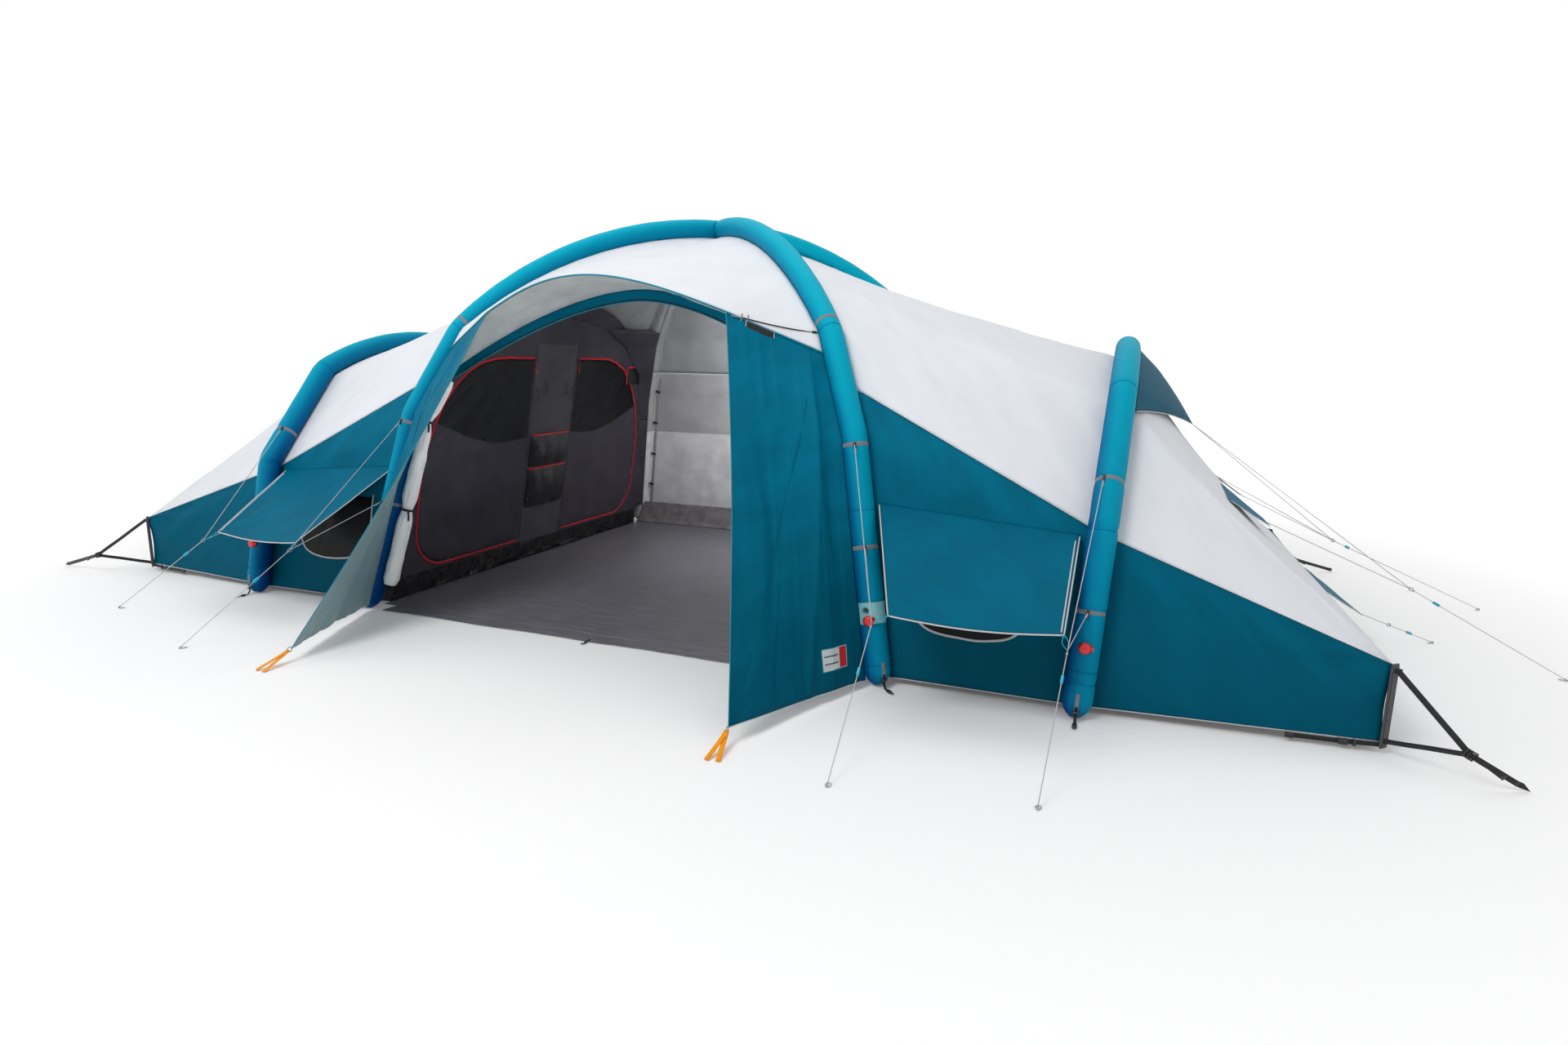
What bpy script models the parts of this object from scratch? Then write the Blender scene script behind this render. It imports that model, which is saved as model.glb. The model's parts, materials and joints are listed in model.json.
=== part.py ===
"""An inflatable family tent: two crossed air tubes carry the living room and one air arch each bedroom wing.

Metres, +Z up. The origin is on the ground under the crossing of the centre tubes, +X runs along the
tent to the right-hand wing seen from the door, and -Y is the door side.
"""

import math

import bmesh
import bpy
import numpy as np
from mathutils import Matrix, Vector
from mathutils.bvhtree import BVHTree

# Air tubes
TUBE_R = 0.0645
TUBE_SIDES = 12
CROSS_H = 2.34
LEG_FOOT_X = 1.584
LEG_FOOT_Y = 1.599
FOOT_H = 0.008
LEG_KNEE_LOW = (1.931, 1.156)
LEG_KNEE_HIGH = (1.642, 1.659)
WING_X = 2.47
WING_LEAN = 0.06
WING_FOOT_Y = 1.631
WING_KNEE_LOW = (1.416, 0.823)
WING_KNEE_HIGH = (0.924, 1.393)
WING_APEX_H = 1.611
FOOT_ROUND = 0.075
CROSS_PINCH = 0.93
MITRE_GAP = 0.0005
LEG_BANDS = (0.634, 1.111)
WING_BANDS = (0.45, 0.987)

# Cloth
CLOTH = 0.003
EDGE_GAP = 0.0018
TOUCH = 0.0006
EDGE_SEAT = 0.0014
TUCKS = (1.0, 0.67, 0.33)
TURN_SLACK = 0.003
ARCH_SLACK = 0.0014
HEM_H = 0.03
LEG_FLANK = 90
CROWN_FLANK = 35

# Heights where the white roof meets the dark sides
SPLIT_LEG_H = 1.38
SPLIT_WING_H = 0.77
HIP_WING_H = 1.30

# Low ends of the wings
END_X = 3.63
END_Y = 1.50
END_TOP = 0.373
END_BOTTOM = 0.045
END_SAG = 0.07
RIDGE_SAG = 0.05
ROOF_SAG = 0.03

# Porch
CANOPY_JOIN_H = 1.55
CANOPY_CORNER = (0.717, -1.459, 1.738)
CANOPY_FRONT = (0.0, -1.60, 1.912)
HEADER_W = 0.066
HEADER_X = 1.165
HEADER_Y = -1.03
HEADER_TOP = 1.885
HEADER_DROP = 0.37
HEADER_LEAN = 0.52
HEADER_END_H = 1.39
DOOR_MIDDLE = (0.0, -1.15, 1.15)
PORCH_TIP = (1.187, -2.446, 0.069)
PORCH_PEG = (1.201, -2.613, 0.0)
PORCH_HEM_H = 0.035
ROLL_R = 0.048
ROLL_SINK = 0.0018
ROLL_TOP_H = 1.36
ROLL_BOTTOM_H = 0.15
ROLL_TIES = (0.60, 1.12)

# Window awnings, hoods and vent flaps
AWNING_IN = (1.50, 0.845)
AWNING_OUT = (2.425, 0.765)
AWNING_LOW_IN = (1.700, -1.954, 0.459)
AWNING_LOW_OUT = (2.407, -1.889, 0.447)
HOOD_TIP = (2.945, 0.0, 1.190)
HOOD_REACH_H = 1.30
VENT_Y = 0.48
VENT_TOP_W = 0.42
VENT_LOW_W = 0.20
VENT_SEAM_X = 3.085
VENT_TIP_X = 3.262
VENT_LIFT = 0.045
LOW_FLAP_W = 0.62
LOW_FLAP_TIP = (3.878, 0.0, 0.193)
LOW_FLAP_TIP_W = 0.06

# Bedrooms
ROOM_X = 1.56
ROOM_LEAN = 0.17
ROOM_Y = 1.449
ROOM_STATION_X = (ROOM_X, 2.42, 3.6264)
DOOR_IN = 0.25
DOOR_OUT = 1.27
DOOR_BOTTOM = 0.175
DOOR_TOP = 1.505
DOOR_GAP = 0.0008
HINGE_GAP = 0.0019

# Ground sheet
SHEET_X = 1.5572
SHEET_FRONT = -1.50
SHEET_BACK = 1.50
SHEET_UPSTAND = 0.20
BACK_TUCK = 0.05
SILL_X = 1.46
SILL_W = 0.115

# Corner posts and straps
POST_W = 0.045
POST_T = 0.012
POST_OVER = 0.02
STRAP_KNEE = (3.843, -1.723, 0.131)
STRAP_PEGS = {
    ("right", "front"): (4.045, -1.671, 0.0),
    ("left", "front"): (-4.284, -1.675, 0.0),
    ("right", "back"): (4.163, 2.021, 0.0),
    ("left", "back"): (-4.163, 2.021, 0.0),
}
STRAP_W = 0.022
STRAP_T = 0.003
PEG_STRAP_W = 0.026

# Guy lines: ring above the ground and ground point, door side
CORD_R = 0.002
CORD_SIDES = 6
CORD_GAP = 0.0003
LEG_RING = (1.651, -2.032, 0.439)
WING_RING = (2.427, -1.969, 0.411)
RING_R = 0.007
LEG_GROUND = {1: (1.663, -2.634, 0.0), -1: (-1.869, -2.541, 0.0)}
WING_GROUND = {1: (2.385, -2.505, 0.0), -1: (-2.893, -2.197, 0.0)}
END_GROUND_FRONT = (4.745, -0.182, 0.0)
END_GROUND_BACK = (4.826, 1.213, 0.0)
END_GROUND_LOW = (4.312, 0.267, 0.0)
END_RING_FRONT = (4.09, 0.0, 0.356)
END_RING_BACK = (3.699, 0.0, 0.589)
END_RING_LOW = (4.04, 0.095, 0.124)
SLIDER = (0.010, 0.014, 0.034)
SLIDER_AT = {"front": 0.32, "wing": 0.20}
SLIDER_HOLE_R = 0.0028

# Valves
VALVE_R = 0.026
VALVE_H = 0.020
LEG_VALVE_H = 0.30
WING_VALVE_H = 0.30

TUBE_BLUE = (0.0, 0.36, 0.55, 1)
CLOTH_WHITE = (0.80, 0.82, 0.84, 1)
CLOTH_TEAL = (0.0, 0.115, 0.225, 1)
CLOTH_GREY = (0.42, 0.42, 0.43, 1)
ROOM_DARK = (0.035, 0.032, 0.042, 1)
FLOOR_GREY = (0.07, 0.07, 0.08, 1)
STRAP_BLACK = (0.01, 0.01, 0.012, 1)
TAPE_GREY = (0.08, 0.08, 0.09, 1)
PEG_ORANGE = (1.0, 0.35, 0.0, 1)
VALVE_RED = (0.75, 0.01, 0.015, 1)
SLIDER_CYAN = (0.01, 0.45, 0.62, 1)
CORD_WHITE = (0.75, 0.75, 0.74, 1)

SIDES = {1: "right", -1: "left"}


def clear_scene():
    for obj in list(bpy.data.objects):
        bpy.data.objects.remove(obj, do_unlink=True)


def new_collection(name):
    group = bpy.data.collections.new(name)
    bpy.context.scene.collection.children.link(group)
    return group


def material(name, colour, roughness=0.7, metallic=0.0):
    found = bpy.data.materials.get(name)
    if found:
        return found
    made = bpy.data.materials.new(name)
    made.use_nodes = True
    shader = made.node_tree.nodes["Principled BSDF"]
    shader.inputs["Base Color"].default_value = colour
    shader.inputs["Roughness"].default_value = roughness
    shader.inputs["Metallic"].default_value = metallic
    made.diffuse_color = colour
    return made


def place(name, mesh, group, finish, smooth=True):
    obj = bpy.data.objects.new(name, mesh)
    group.objects.link(obj)
    mesh.materials.clear()
    mesh.materials.append(finish)
    if smooth:
        mesh.shade_smooth()
        mesh.set_sharp_from_angle(angle=math.radians(40))
    return obj


def set_origin(obj, point):
    """Moves the object's origin to a point and leaves the shape where it is."""
    obj.data.transform(Matrix.Translation(-Vector(point)))
    obj.location = point
    return obj


def mirrored(point, sx=1, sy=1):
    return Vector((point[0] * sx, point[1] * sy, point[2]))


class Line:
    """A polyline that is read by its length fraction or by a height."""

    def __init__(self, points):
        self.points = np.array(points, float)
        steps = np.linalg.norm(np.diff(self.points, axis=0), axis=1)
        self.length = np.concatenate([[0.0], np.cumsum(steps)])

    def at(self, fraction):
        where = fraction * self.length[-1]
        return np.array([np.interp(where, self.length, self.points[:, k]) for k in range(3)])

    def at_height(self, height):
        return np.interp(height, self.points[:, 2], self.length) / self.length[-1]

    def between(self, low, high, count):
        return [self.at(f) for f in np.linspace(low, high, count)]


def arch_profile(foot, knee_low, knee_high, apex_h, arc_steps=12):
    """(distance, height) pairs of one half of an arch: two straight sleeves, then an arc level at the top."""
    out, high = knee_high
    radius = (out * out + (apex_h - high) ** 2) / (2 * (apex_h - high))
    start = math.atan2(out, high - (apex_h - radius))
    arc = [
        (radius * math.sin(a), apex_h - radius + radius * math.cos(a))
        for a in np.linspace(start, 0, arc_steps)
    ]
    return [(foot, FOOT_H), knee_low] + arc


def leg_axis():
    """Centre line of the front right leg, from its foot to the crossing."""
    reach = math.hypot(LEG_FOOT_X, LEG_FOOT_Y)
    east, north = LEG_FOOT_X / reach, -LEG_FOOT_Y / reach
    pairs = arch_profile(reach, LEG_KNEE_LOW, LEG_KNEE_HIGH, CROSS_H)
    return [(s * east, s * north, z) for s, z in pairs]


def wing_axis():
    """Centre line of the front half of the right wing arch, from its foot to its top."""
    pairs = arch_profile(WING_FOOT_Y, WING_KNEE_LOW, WING_KNEE_HIGH, WING_APEX_H)
    return [(WING_X + WING_LEAN * z, -s, z) for s, z in pairs]


def outward_normals(points):
    """Mitred normals of the line in its own vertical plane, away from the tent's inside, and the plane's normal."""
    points = np.array(points, float)
    steps = np.diff(points, axis=0)
    steps /= np.linalg.norm(steps, axis=1)[:, None]
    flat = points[0] - points[-1]
    flat[2] = 0
    across = np.cross(flat / np.linalg.norm(flat), (0, 0, 1))
    square = np.cross(across, steps)
    square /= np.linalg.norm(square, axis=1)[:, None]
    square *= np.sign(square[-1][2])
    before = np.vstack([square[:1], square])
    after = np.vstack([square, square[-1:]])
    normals = before + after
    normals /= np.linalg.norm(normals, axis=1)[:, None]
    normals /= (normals * after).sum(axis=1)[:, None]
    return normals, across


def leg_lines(side):
    """Where cloth meets a centre leg: the flank, side -1 the door's and 1 the wing's, then one line for each tuck.

    The tucks carry the cloth on round the tube's inner side, so that the tube stays out of sight indoors.
    """
    points = np.array(leg_axis())
    normals, across = outward_normals(points)
    if across[0] * side < 0:
        across = -across
    rise = np.clip((points[:, 2] - LEG_KNEE_HIGH[1]) / (CROSS_H - LEG_KNEE_HIGH[1]), 0, 1)
    reach = TUBE_R + CLOTH / 2 + TOUCH + TURN_SLACK * np.sin(np.pi * rise)[:, None]
    wide = LEG_FLANK + (CROWN_FLANK - LEG_FLANK) * rise
    narrow = math.degrees(math.asin(EDGE_GAP / TUBE_R))
    stay = np.clip((1 - rise) * 3, 0, 1)

    def line_for(tuck):
        turn = np.radians(wide + (narrow - wide) * tuck * stay)[:, None]
        return points + reach * (np.sin(turn) * across - np.cos(turn) * normals)

    flank = line_for(0)
    # The flank ends where it meets its mirror image over the crossing, and the tucks end there with it.
    coord = flank[:, 0] if side < 0 else -flank[:, 1]
    last = int(np.argmax(coord <= EDGE_GAP))
    part = (coord[last - 1] - EDGE_GAP) / (coord[last - 1] - coord[last])
    end = flank[last - 1] + part * (flank[last] - flank[last - 1])
    if side > 0:
        end[1] = 0
    else:
        end[0] = 0
    return [Line(list(line_for(tuck)[:last]) + [end]) for tuck in (0,) + TUCKS]


def under_wing_arch():
    """Where the cloth passes under the front half of the right wing arch."""
    points = np.array(wing_axis())
    normals, _ = outward_normals(points)
    return Line(points - (TUBE_R + CLOTH / 2 + ARCH_SLACK) * normals)


def tube_outline(points):
    """Radius factors along an arch, whose foot is rounded."""
    line = Line(points)
    total = line.length[-1]
    foot = ((0.0, 0.35), (0.25, 0.70), (0.6, 0.92), (1.0, 1.0))
    marks = {share * FOOT_ROUND: factor for share, factor in foot}
    marks.update({where: 1.0 for where in line.length if where > FOOT_ROUND})
    return [(line.at(m / total), marks[m]) for m in sorted(marks)]


def tube_mesh(name, stations, sides=TUBE_SIDES, radius=TUBE_R):
    """A round closed tube along (point, radius factor) stations, made from a bevelled curve."""
    data = bpy.data.curves.new(name, "CURVE")
    data.dimensions = "3D"
    data.twist_mode = "Z_UP"
    data.bevel_depth = radius
    data.bevel_resolution = sides // 2 - 2
    data.use_fill_caps = True
    spline = data.splines.new("POLY")
    spline.points.add(len(stations) - 1)
    for point, (where, factor) in zip(spline.points, stations):
        point.co = (*where, 1)
        point.radius = factor
    return curve_to_mesh(name, data)


def curve_to_mesh(name, data):
    helper = bpy.data.objects.new(name + "_curve", data)
    bpy.context.scene.collection.objects.link(helper)
    bpy.context.view_layer.update()
    graph = bpy.context.evaluated_depsgraph_get()
    mesh = bpy.data.meshes.new_from_object(helper.evaluated_get(graph))
    mesh.name = name
    bpy.data.objects.remove(helper, do_unlink=True)
    work = bmesh.new()
    work.from_mesh(mesh)
    bmesh.ops.remove_doubles(work, verts=work.verts, dist=0.00005)
    bmesh.ops.recalc_face_normals(work, faces=work.faces)
    work.to_mesh(mesh)
    work.free()
    return mesh


def mirror_mesh(mesh, name, sx, sy):
    """A copy of the mesh mirrored in X and Y, its faces still pointing out."""
    copy = mesh.copy()
    copy.name = name
    copy.transform(Matrix.Diagonal((sx, sy, 1, 1)))
    if sx * sy < 0:
        copy.flip_normals()
    return copy


def centre_leg_mesh():
    """The front right leg: its top end is cut to a mitre, where four legs meet over the living room."""
    stations = tube_outline(leg_axis())
    stations[-1] = (stations[-1][0], CROSS_PINCH)
    past = stations[-1][0] + 0.9 * TUBE_R * np.array((-LEG_FOOT_X, LEG_FOOT_Y, 0)) / LEG_FOOT_X
    stations.append((past, CROSS_PINCH))
    mesh = tube_mesh("leg", stations)
    work = bmesh.new()
    work.from_mesh(mesh)
    for normal in ((-1, 0, 0), (0, 1, 0)):
        cut = bmesh.ops.bisect_plane(
            work,
            geom=work.verts[:] + work.edges[:] + work.faces[:],
            plane_co=Vector(normal) * -MITRE_GAP,
            plane_no=normal,
            clear_outer=True,
        )
        edges = [e for e in cut["geom_cut"] if isinstance(e, bmesh.types.BMEdge)]
        bmesh.ops.edgeloop_fill(work, edges=edges)
    bmesh.ops.recalc_face_normals(work, faces=work.faces)
    work.to_mesh(mesh)
    work.free()
    return mesh


def wing_arch_mesh():
    front = tube_outline(wing_axis())
    back = [(np.array((p[0], -p[1], p[2])), factor) for p, factor in reversed(front[:-1])]
    return tube_mesh("wing_arch", front + back)


def build_tubes(group):
    blue = material("tube_sleeve", TUBE_BLUE, 0.55)
    leg = centre_leg_mesh()
    for sy, end in ((1, "front"), (-1, "back")):
        for sx, side in SIDES.items():
            name = f"tube_{end}_{side}"
            place(name, mirror_mesh(leg, name, sx, sy), group, blue)
    arch = wing_arch_mesh()
    for sx, side in SIDES.items():
        name = f"tube_wing_{side}"
        place(name, mirror_mesh(arch, name, sx, 1), group, blue)


def grid_mesh(name, rows, loop=False):
    """An open surface through rows of points; rows that share a point are joined there."""
    work = bmesh.new()
    verts = [[work.verts.new(p) for p in row] for row in rows]
    for low, high in zip(verts, verts[1:]):
        span = range(len(low) if loop else len(low) - 1)
        for k in span:
            nxt = (k + 1) % len(low)
            work.faces.new((low[k], low[nxt], high[nxt], high[k]))
    bmesh.ops.remove_doubles(work, verts=work.verts, dist=0.0001)
    bmesh.ops.recalc_face_normals(work, faces=work.faces)
    mesh = bpy.data.meshes.new(name)
    work.to_mesh(mesh)
    work.free()
    return mesh


def cloth(name, rows, group, finish, offset=0.0, thickness=CLOTH):
    obj = place(name, grid_mesh(name, rows), group, finish)
    wall = obj.modifiers.new("cloth", "SOLIDIFY")
    wall.thickness = thickness
    wall.offset = offset
    wall.use_even_offset = True
    return obj


def solid_tree(obj):
    """The finished solid's flat faces, to be struck by a ray: struck from outside they give its outer face."""
    bpy.context.view_layer.update()
    mesh = bpy.data.meshes.new_from_object(obj.evaluated_get(bpy.context.evaluated_depsgraph_get()))
    mesh.transform(obj.matrix_world)
    mesh.calc_loop_triangles()
    tree = BVHTree.FromPolygons([v.co for v in mesh.vertices], [list(t.vertices) for t in mesh.loop_triangles])
    bpy.data.meshes.remove(mesh)
    return tree


def seat_edge(tree, point, off=EDGE_SEAT):
    """The same place of a cloth's edge, drawn in to lie just off a tube's face."""
    hit, normal = tree.find_nearest(Vector(point))[:2]
    return np.array(hit + normal * off)


def blend(a, b, w):
    return np.array(a, float) * (1 - w) + np.array(b, float) * w


def slope_sag(w):
    return 4 * w * (1 - w)


def end_top(fraction, hip):
    """Along the top edge of the low end: it stays at the corner post up to the hip, then runs to the middle."""
    along = max(0.0, (fraction - hip) / (1 - hip))
    return np.array((END_X, -END_Y * (1 - along), END_TOP))


def roof_rows(legs, arch_line, columns=9, bays=5, end_bays=4):
    """The white side roof and wing roof, from the centre legs over the wing arch to the low end."""
    leg_line = legs[0]
    leg_low = leg_line.at_height(SPLIT_LEG_H)
    arch_low = arch_line.at_height(SPLIT_WING_H)
    hip = (arch_line.at_height(HIP_WING_H) - arch_low) / (1 - arch_low)
    rows = [tuck.between(tuck.at_height(SPLIT_LEG_H), 1, columns) for tuck in legs[1:]]
    for w in np.linspace(0, 1, bays + 1):
        row = []
        for f in np.linspace(0, 1, columns):
            near = leg_line.at(leg_low + (1 - leg_low) * f)
            far = arch_line.at(arch_low + (1 - arch_low) * f)
            point = blend(near, far, w)
            point[2] -= RIDGE_SAG * slope_sag(w) * f
            row.append(point)
        rows.append(row)
    for w in np.linspace(0, 1, end_bays + 1)[1:]:
        row = []
        for f in np.linspace(0, 1, columns):
            far = arch_line.at(arch_low + (1 - arch_low) * f)
            point = blend(far, end_top(f, hip), w)
            lift = min(1.0, max(0.0, f - hip) / (1 - hip) * 2.5)
            point[2] -= END_SAG * slope_sag(w) * lift
            row.append(point)
        rows.append(row)
    whole = []
    for row in rows:
        back = [np.array((p[0], -p[1], p[2])) for p in reversed(row[:-1])]
        whole.append(row + back)
    return whole


def leg_column(leg_line, count):
    """Points up a leg's line, from the hem to where the white roof starts."""
    return leg_line.between(leg_line.at_height(HEM_H), leg_line.at_height(SPLIT_LEG_H), count)


def side_wall_point(leg_line, arch_line, w, v):
    """A point of the dark side wall between a centre leg and the wing arch, v from the hem up."""
    leg_top = leg_line.at_height(SPLIT_LEG_H)
    arch_top = arch_line.at_height(SPLIT_WING_H)
    leg_low = leg_line.at_height(HEM_H)
    arch_low = arch_line.at_height(HEM_H)
    near = leg_line.at(leg_low + (leg_top - leg_low) * v)
    far = arch_line.at(arch_low + (arch_top - arch_low) * v)
    return blend(near, far, w)


def skirt_rows(legs, arch_line, steps=5, bays=5, wing_bays=4, end_half=3):
    """The dark lower wall: centre leg, wing arch, front post, low end, and back the same way."""
    levels = np.linspace(0, 1, steps + 1)
    drop = np.array((0, 0, EDGE_GAP))
    front = [
        [p - drop * (v == 1) for p, v in zip(leg_column(tuck, steps + 1), levels)] for tuck in legs[1:]
    ]
    front += [
        [side_wall_point(legs[0], arch_line, w, v) - drop * (v == 1) for v in levels]
        for w in np.linspace(0, 1, bays + 1)
    ]
    post = [np.array((END_X, -END_Y, END_BOTTOM + (END_TOP - END_BOTTOM) * v)) for v in levels]
    for w in np.linspace(0, 1, wing_bays + 1)[1:]:
        arch = [side_wall_point(legs[0], arch_line, 1, v) for v in levels]
        front.append([blend(a, b, w) - drop * (v == 1) for a, b, v in zip(arch, post, levels)])
    for w in np.linspace(0, 1, end_half + 1)[1:]:
        middle = [np.array((END_X, -END_Y * (1 - w), p[2])) for p in post]
        front.append([p - drop * (v == 1) for p, v in zip(middle, levels)])
    back = [[np.array((p[0], -p[1], p[2])) for p in row] for row in reversed(front[:-1])]
    return front + back


def flipped(rows, sx, sy=1):
    return [[np.array((p[0] * sx, p[1] * sy, p[2])) for p in row] for row in rows]


def build_fly(group):
    white = material("fly_white", CLOTH_WHITE, 0.75)
    teal = material("fly_teal", CLOTH_TEAL, 0.7)
    legs = leg_lines(1)
    arch = under_wing_arch()
    roof = roof_rows(legs, arch)
    skirt = skirt_rows(legs, arch)
    for sx, side in SIDES.items():
        cloth(f"roof_{side}", flipped(roof, sx), group, white)
        cloth(f"skirt_{side}", flipped(skirt, sx), group, teal)
    cloth("roof_front", canopy_rows(), group, white)
    cloth("roof_back", back_roof_rows(), group, white)
    cloth("back_wall", back_wall_rows(), group, teal)


def mirror_pair(point):
    return np.array((-point[0], point[1], point[2]))


def canopy_edge(u):
    """The lower edge of the front roof, u from -1 at the left leg over the two canopy corners to 1."""
    flank = leg_lines(-1)[0]
    join = flank.at(flank.at_height(CANOPY_JOIN_H))
    corner = np.array(CANOPY_CORNER)
    side = abs(u)
    if side > 0.6:
        point = blend(corner, join, (side - 0.6) / 0.4)
    else:
        rise = math.cos(side / 0.6 * math.pi / 2)
        point = np.array((
            corner[0] * side / 0.6,
            corner[1] + (CANOPY_FRONT[1] - corner[1]) * rise,
            corner[2] + (CANOPY_FRONT[2] - corner[2]) * rise,
        ))
    return point if u >= 0 else mirror_pair(point)


def canopy_point(u, v):
    """The front roof: v runs from the crossing to the canopy's edge, along the leg where u is 1."""
    flank = leg_lines(-1)[0]
    join = flank.at_height(CANOPY_JOIN_H)
    top = flank.points[-1]
    low = canopy_edge(abs(u))
    seam = flank.at(1 - (1 - join) * v)
    chord = blend(top, flank.at(join), v)
    point = blend(top, low, v) + (seam - chord) * abs(u) ** 1.5
    return point if u >= 0 else mirror_pair(point)


def canopy_rows(across=20, down=8):
    tucks = leg_lines(-1)[1:]
    rows = []
    for v in np.linspace(0, 1, down + 1):
        row = [canopy_point(u, v) for u in np.linspace(-1, 1, across + 1)]
        round_leg = [t.at(1 - (1 - t.at_height(CANOPY_JOIN_H)) * v) for t in tucks]
        rows.append([mirror_pair(p) for p in round_leg] + row + round_leg[::-1])
    return rows


def back_roof_rows(across=10, down=7):
    """The white roof between the back legs, down to the dark back wall."""
    flank, *tucks = leg_lines(-1)
    rows = []
    for v in np.linspace(0, 1, down + 1):
        seam = flank.at(1 - (1 - flank.at_height(SPLIT_LEG_H)) * v)
        row = []
        for u in np.linspace(-1, 1, across + 1):
            sag = ROOF_SAG * math.sin(math.pi * v) * (1 - u * u)
            row.append(np.array((seam[0] * u, seam[1] + sag, seam[2] - sag)))
        round_leg = [t.at(1 - (1 - t.at_height(SPLIT_LEG_H)) * v) for t in tucks]
        rows.append([mirror_pair(p) for p in round_leg] + row + round_leg[::-1])
    return flipped(rows, 1, -1)


def back_wall_rows(across=8, up=6):
    """The dark back wall, its hem drawn in between the feet to meet the ground sheet."""
    lines = leg_lines(-1)
    columns = [leg_column(line, up + 1) for line in lines]
    for column in columns:
        column[-1] = column[-1] - np.array((0, 0, EDGE_GAP))
    rows = []
    for k in range(up + 1):
        seam = columns[0][k]
        tuck = BACK_TUCK * (1 - k / up)
        row = [
            np.array((seam[0] * u, seam[1] + tuck * (1 - u ** 4), seam[2])) for u in np.linspace(-1, 1, across + 1)
        ]
        round_leg = [column[k] for column in columns[1:]]
        rows.append([mirror_pair(p) for p in round_leg] + row + round_leg[::-1])
    return flipped(rows, 1, -1)


def header_arch(x):
    """The top of the door's zip band at a place across the door: an arch that leans back as it rises."""
    height = HEADER_TOP - HEADER_DROP * abs(x) ** 1.8
    return np.array((x, HEADER_Y - HEADER_LEAN * (HEADER_TOP - height), height))


def header_end_column(steps, tube):
    """Down the front right leg from the canopy's edge: the line swings from its door side to its inner side."""
    points = np.array(leg_axis())
    normals, across = outward_normals(points)
    across = across if across[0] < 0 else -across
    column = []
    for k in np.linspace(0, 1, steps + 1):
        turn = math.radians(72 - 27 * k)
        line = Line(points + (TUBE_R + CLOTH / 2 + TOUCH) * (math.sin(turn) * across - math.cos(turn) * normals))
        height = CANOPY_JOIN_H - 2 * CLOTH
        column.append(seat_edge(tube, line.at(line.at_height(height + (HEADER_END_H - height) * k))))
    return column


def header_rows(tube, across=24, steps=3):
    """The porch ceiling, from under the canopy's edge back to the door, then the door's zip band."""
    end = header_end_column(steps, tube)
    middle = np.array(DOOR_MIDDLE)
    columns = []
    for u in np.linspace(-1, 1, across + 1):
        edge = canopy_edge(u)
        inward = np.array((-edge[0], -1.0 - edge[1], 0))
        edge = edge + 0.008 * inward / np.linalg.norm(inward) - np.array((0, 0, 1.5 * CLOTH))
        column = [blend(edge, header_arch(HEADER_X * u), k) for k in np.linspace(0, 1, steps + 1)]
        if abs(u) == 1:
            column = [p if u > 0 else mirror_pair(p) for p in end]
        way = middle - column[-1]
        columns.append(column + [column[-1] + HEADER_W * way / np.linalg.norm(way)])
    return [list(row) for row in zip(*columns)]


def build_door_header(group):
    rows = header_rows(solid_tree(group.objects["tube_front_right"]))
    cloth("door_header", rows, group, material("porch_ceiling_grey", CLOTH_GREY, 0.7))


def porch_fold(u, v):
    """Main folds of a porch wing: they run down it and die out at its edges."""
    return 0.012 * math.sin(u * 4 * math.pi + 1.2 * v) * math.sin(math.pi * u) * math.sin(math.pi * v)


def porch_rows(tube, across=10, up=10):
    """A porch wing: u from the leg to the leading edge, v from the hem to the canopy."""
    flank = leg_lines(-1)[0]
    low = flank.at_height(PORCH_HEM_H)
    join = flank.at_height(CANOPY_JOIN_H)
    corner = np.array(CANOPY_CORNER) - np.array((0, 0, CLOTH + TOUCH))
    tip = np.array(PORCH_TIP)
    rows = []
    for v in np.linspace(0, 1, up + 1):
        leg = flank.at(low + (join - low) * v)
        leg[2] -= (CLOTH + EDGE_GAP) * v
        leg = seat_edge(tube, leg, EDGE_SEAT - CORD_GAP) if v > 0 else leg
        edge = blend(tip, corner, v)
        edge[1] += 0.05 * math.sin(math.pi * v)
        row = []
        for u in np.linspace(0, 1, across + 1):
            point = blend(leg, edge, u)
            normal = np.array((-0.95, 0.3, 0.1))
            row.append(point + normal * porch_fold(u, v))
        rows.append(row)
    return rows


def build_porch(group):
    teal = material("fly_teal_porch", CLOTH_TEAL, 0.7)
    rows = porch_rows(solid_tree(group.objects["tube_front_right"]))
    for sx, side in SIDES.items():
        cloth(f"porch_wing_{side}", flipped(rows, sx), group, teal)
    orange = material("peg_webbing", PEG_ORANGE, 0.8)
    for sx, side in SIDES.items():
        tip = mirrored(PORCH_TIP, sx)
        end = mirrored(PORCH_PEG, sx) + Vector((0, 0, STRAP_T))
        start = tip + (end - tip).normalized() * (STRAP_T / 2 - TOUCH)
        mesh = strip_mesh(f"peg_strap_{side}", start, end, PEG_STRAP_W, STRAP_T)
        place(f"peg_strap_{side}", mesh, group, orange, smooth=False)


def strip_mesh(name, start, end, width, thickness, face=(0, 0, 1)):
    """A flat strip between two points, its wide face turned towards a direction."""
    start, end, face = Vector(start), Vector(end), Vector(face)
    along = (end - start).normalized()
    side = face.cross(along).normalized()
    up = along.cross(side)
    turn = Matrix((along, side, up)).transposed().to_4x4()
    mesh = bpy.data.meshes.new(name)
    work = bmesh.new()
    bmesh.ops.create_cube(work, size=1)
    bmesh.ops.scale(work, vec=((end - start).length, width, thickness), verts=work.verts)
    work.to_mesh(mesh)
    work.free()
    mesh.transform(Matrix.Translation((start + end) / 2) @ turn)
    return mesh


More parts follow.
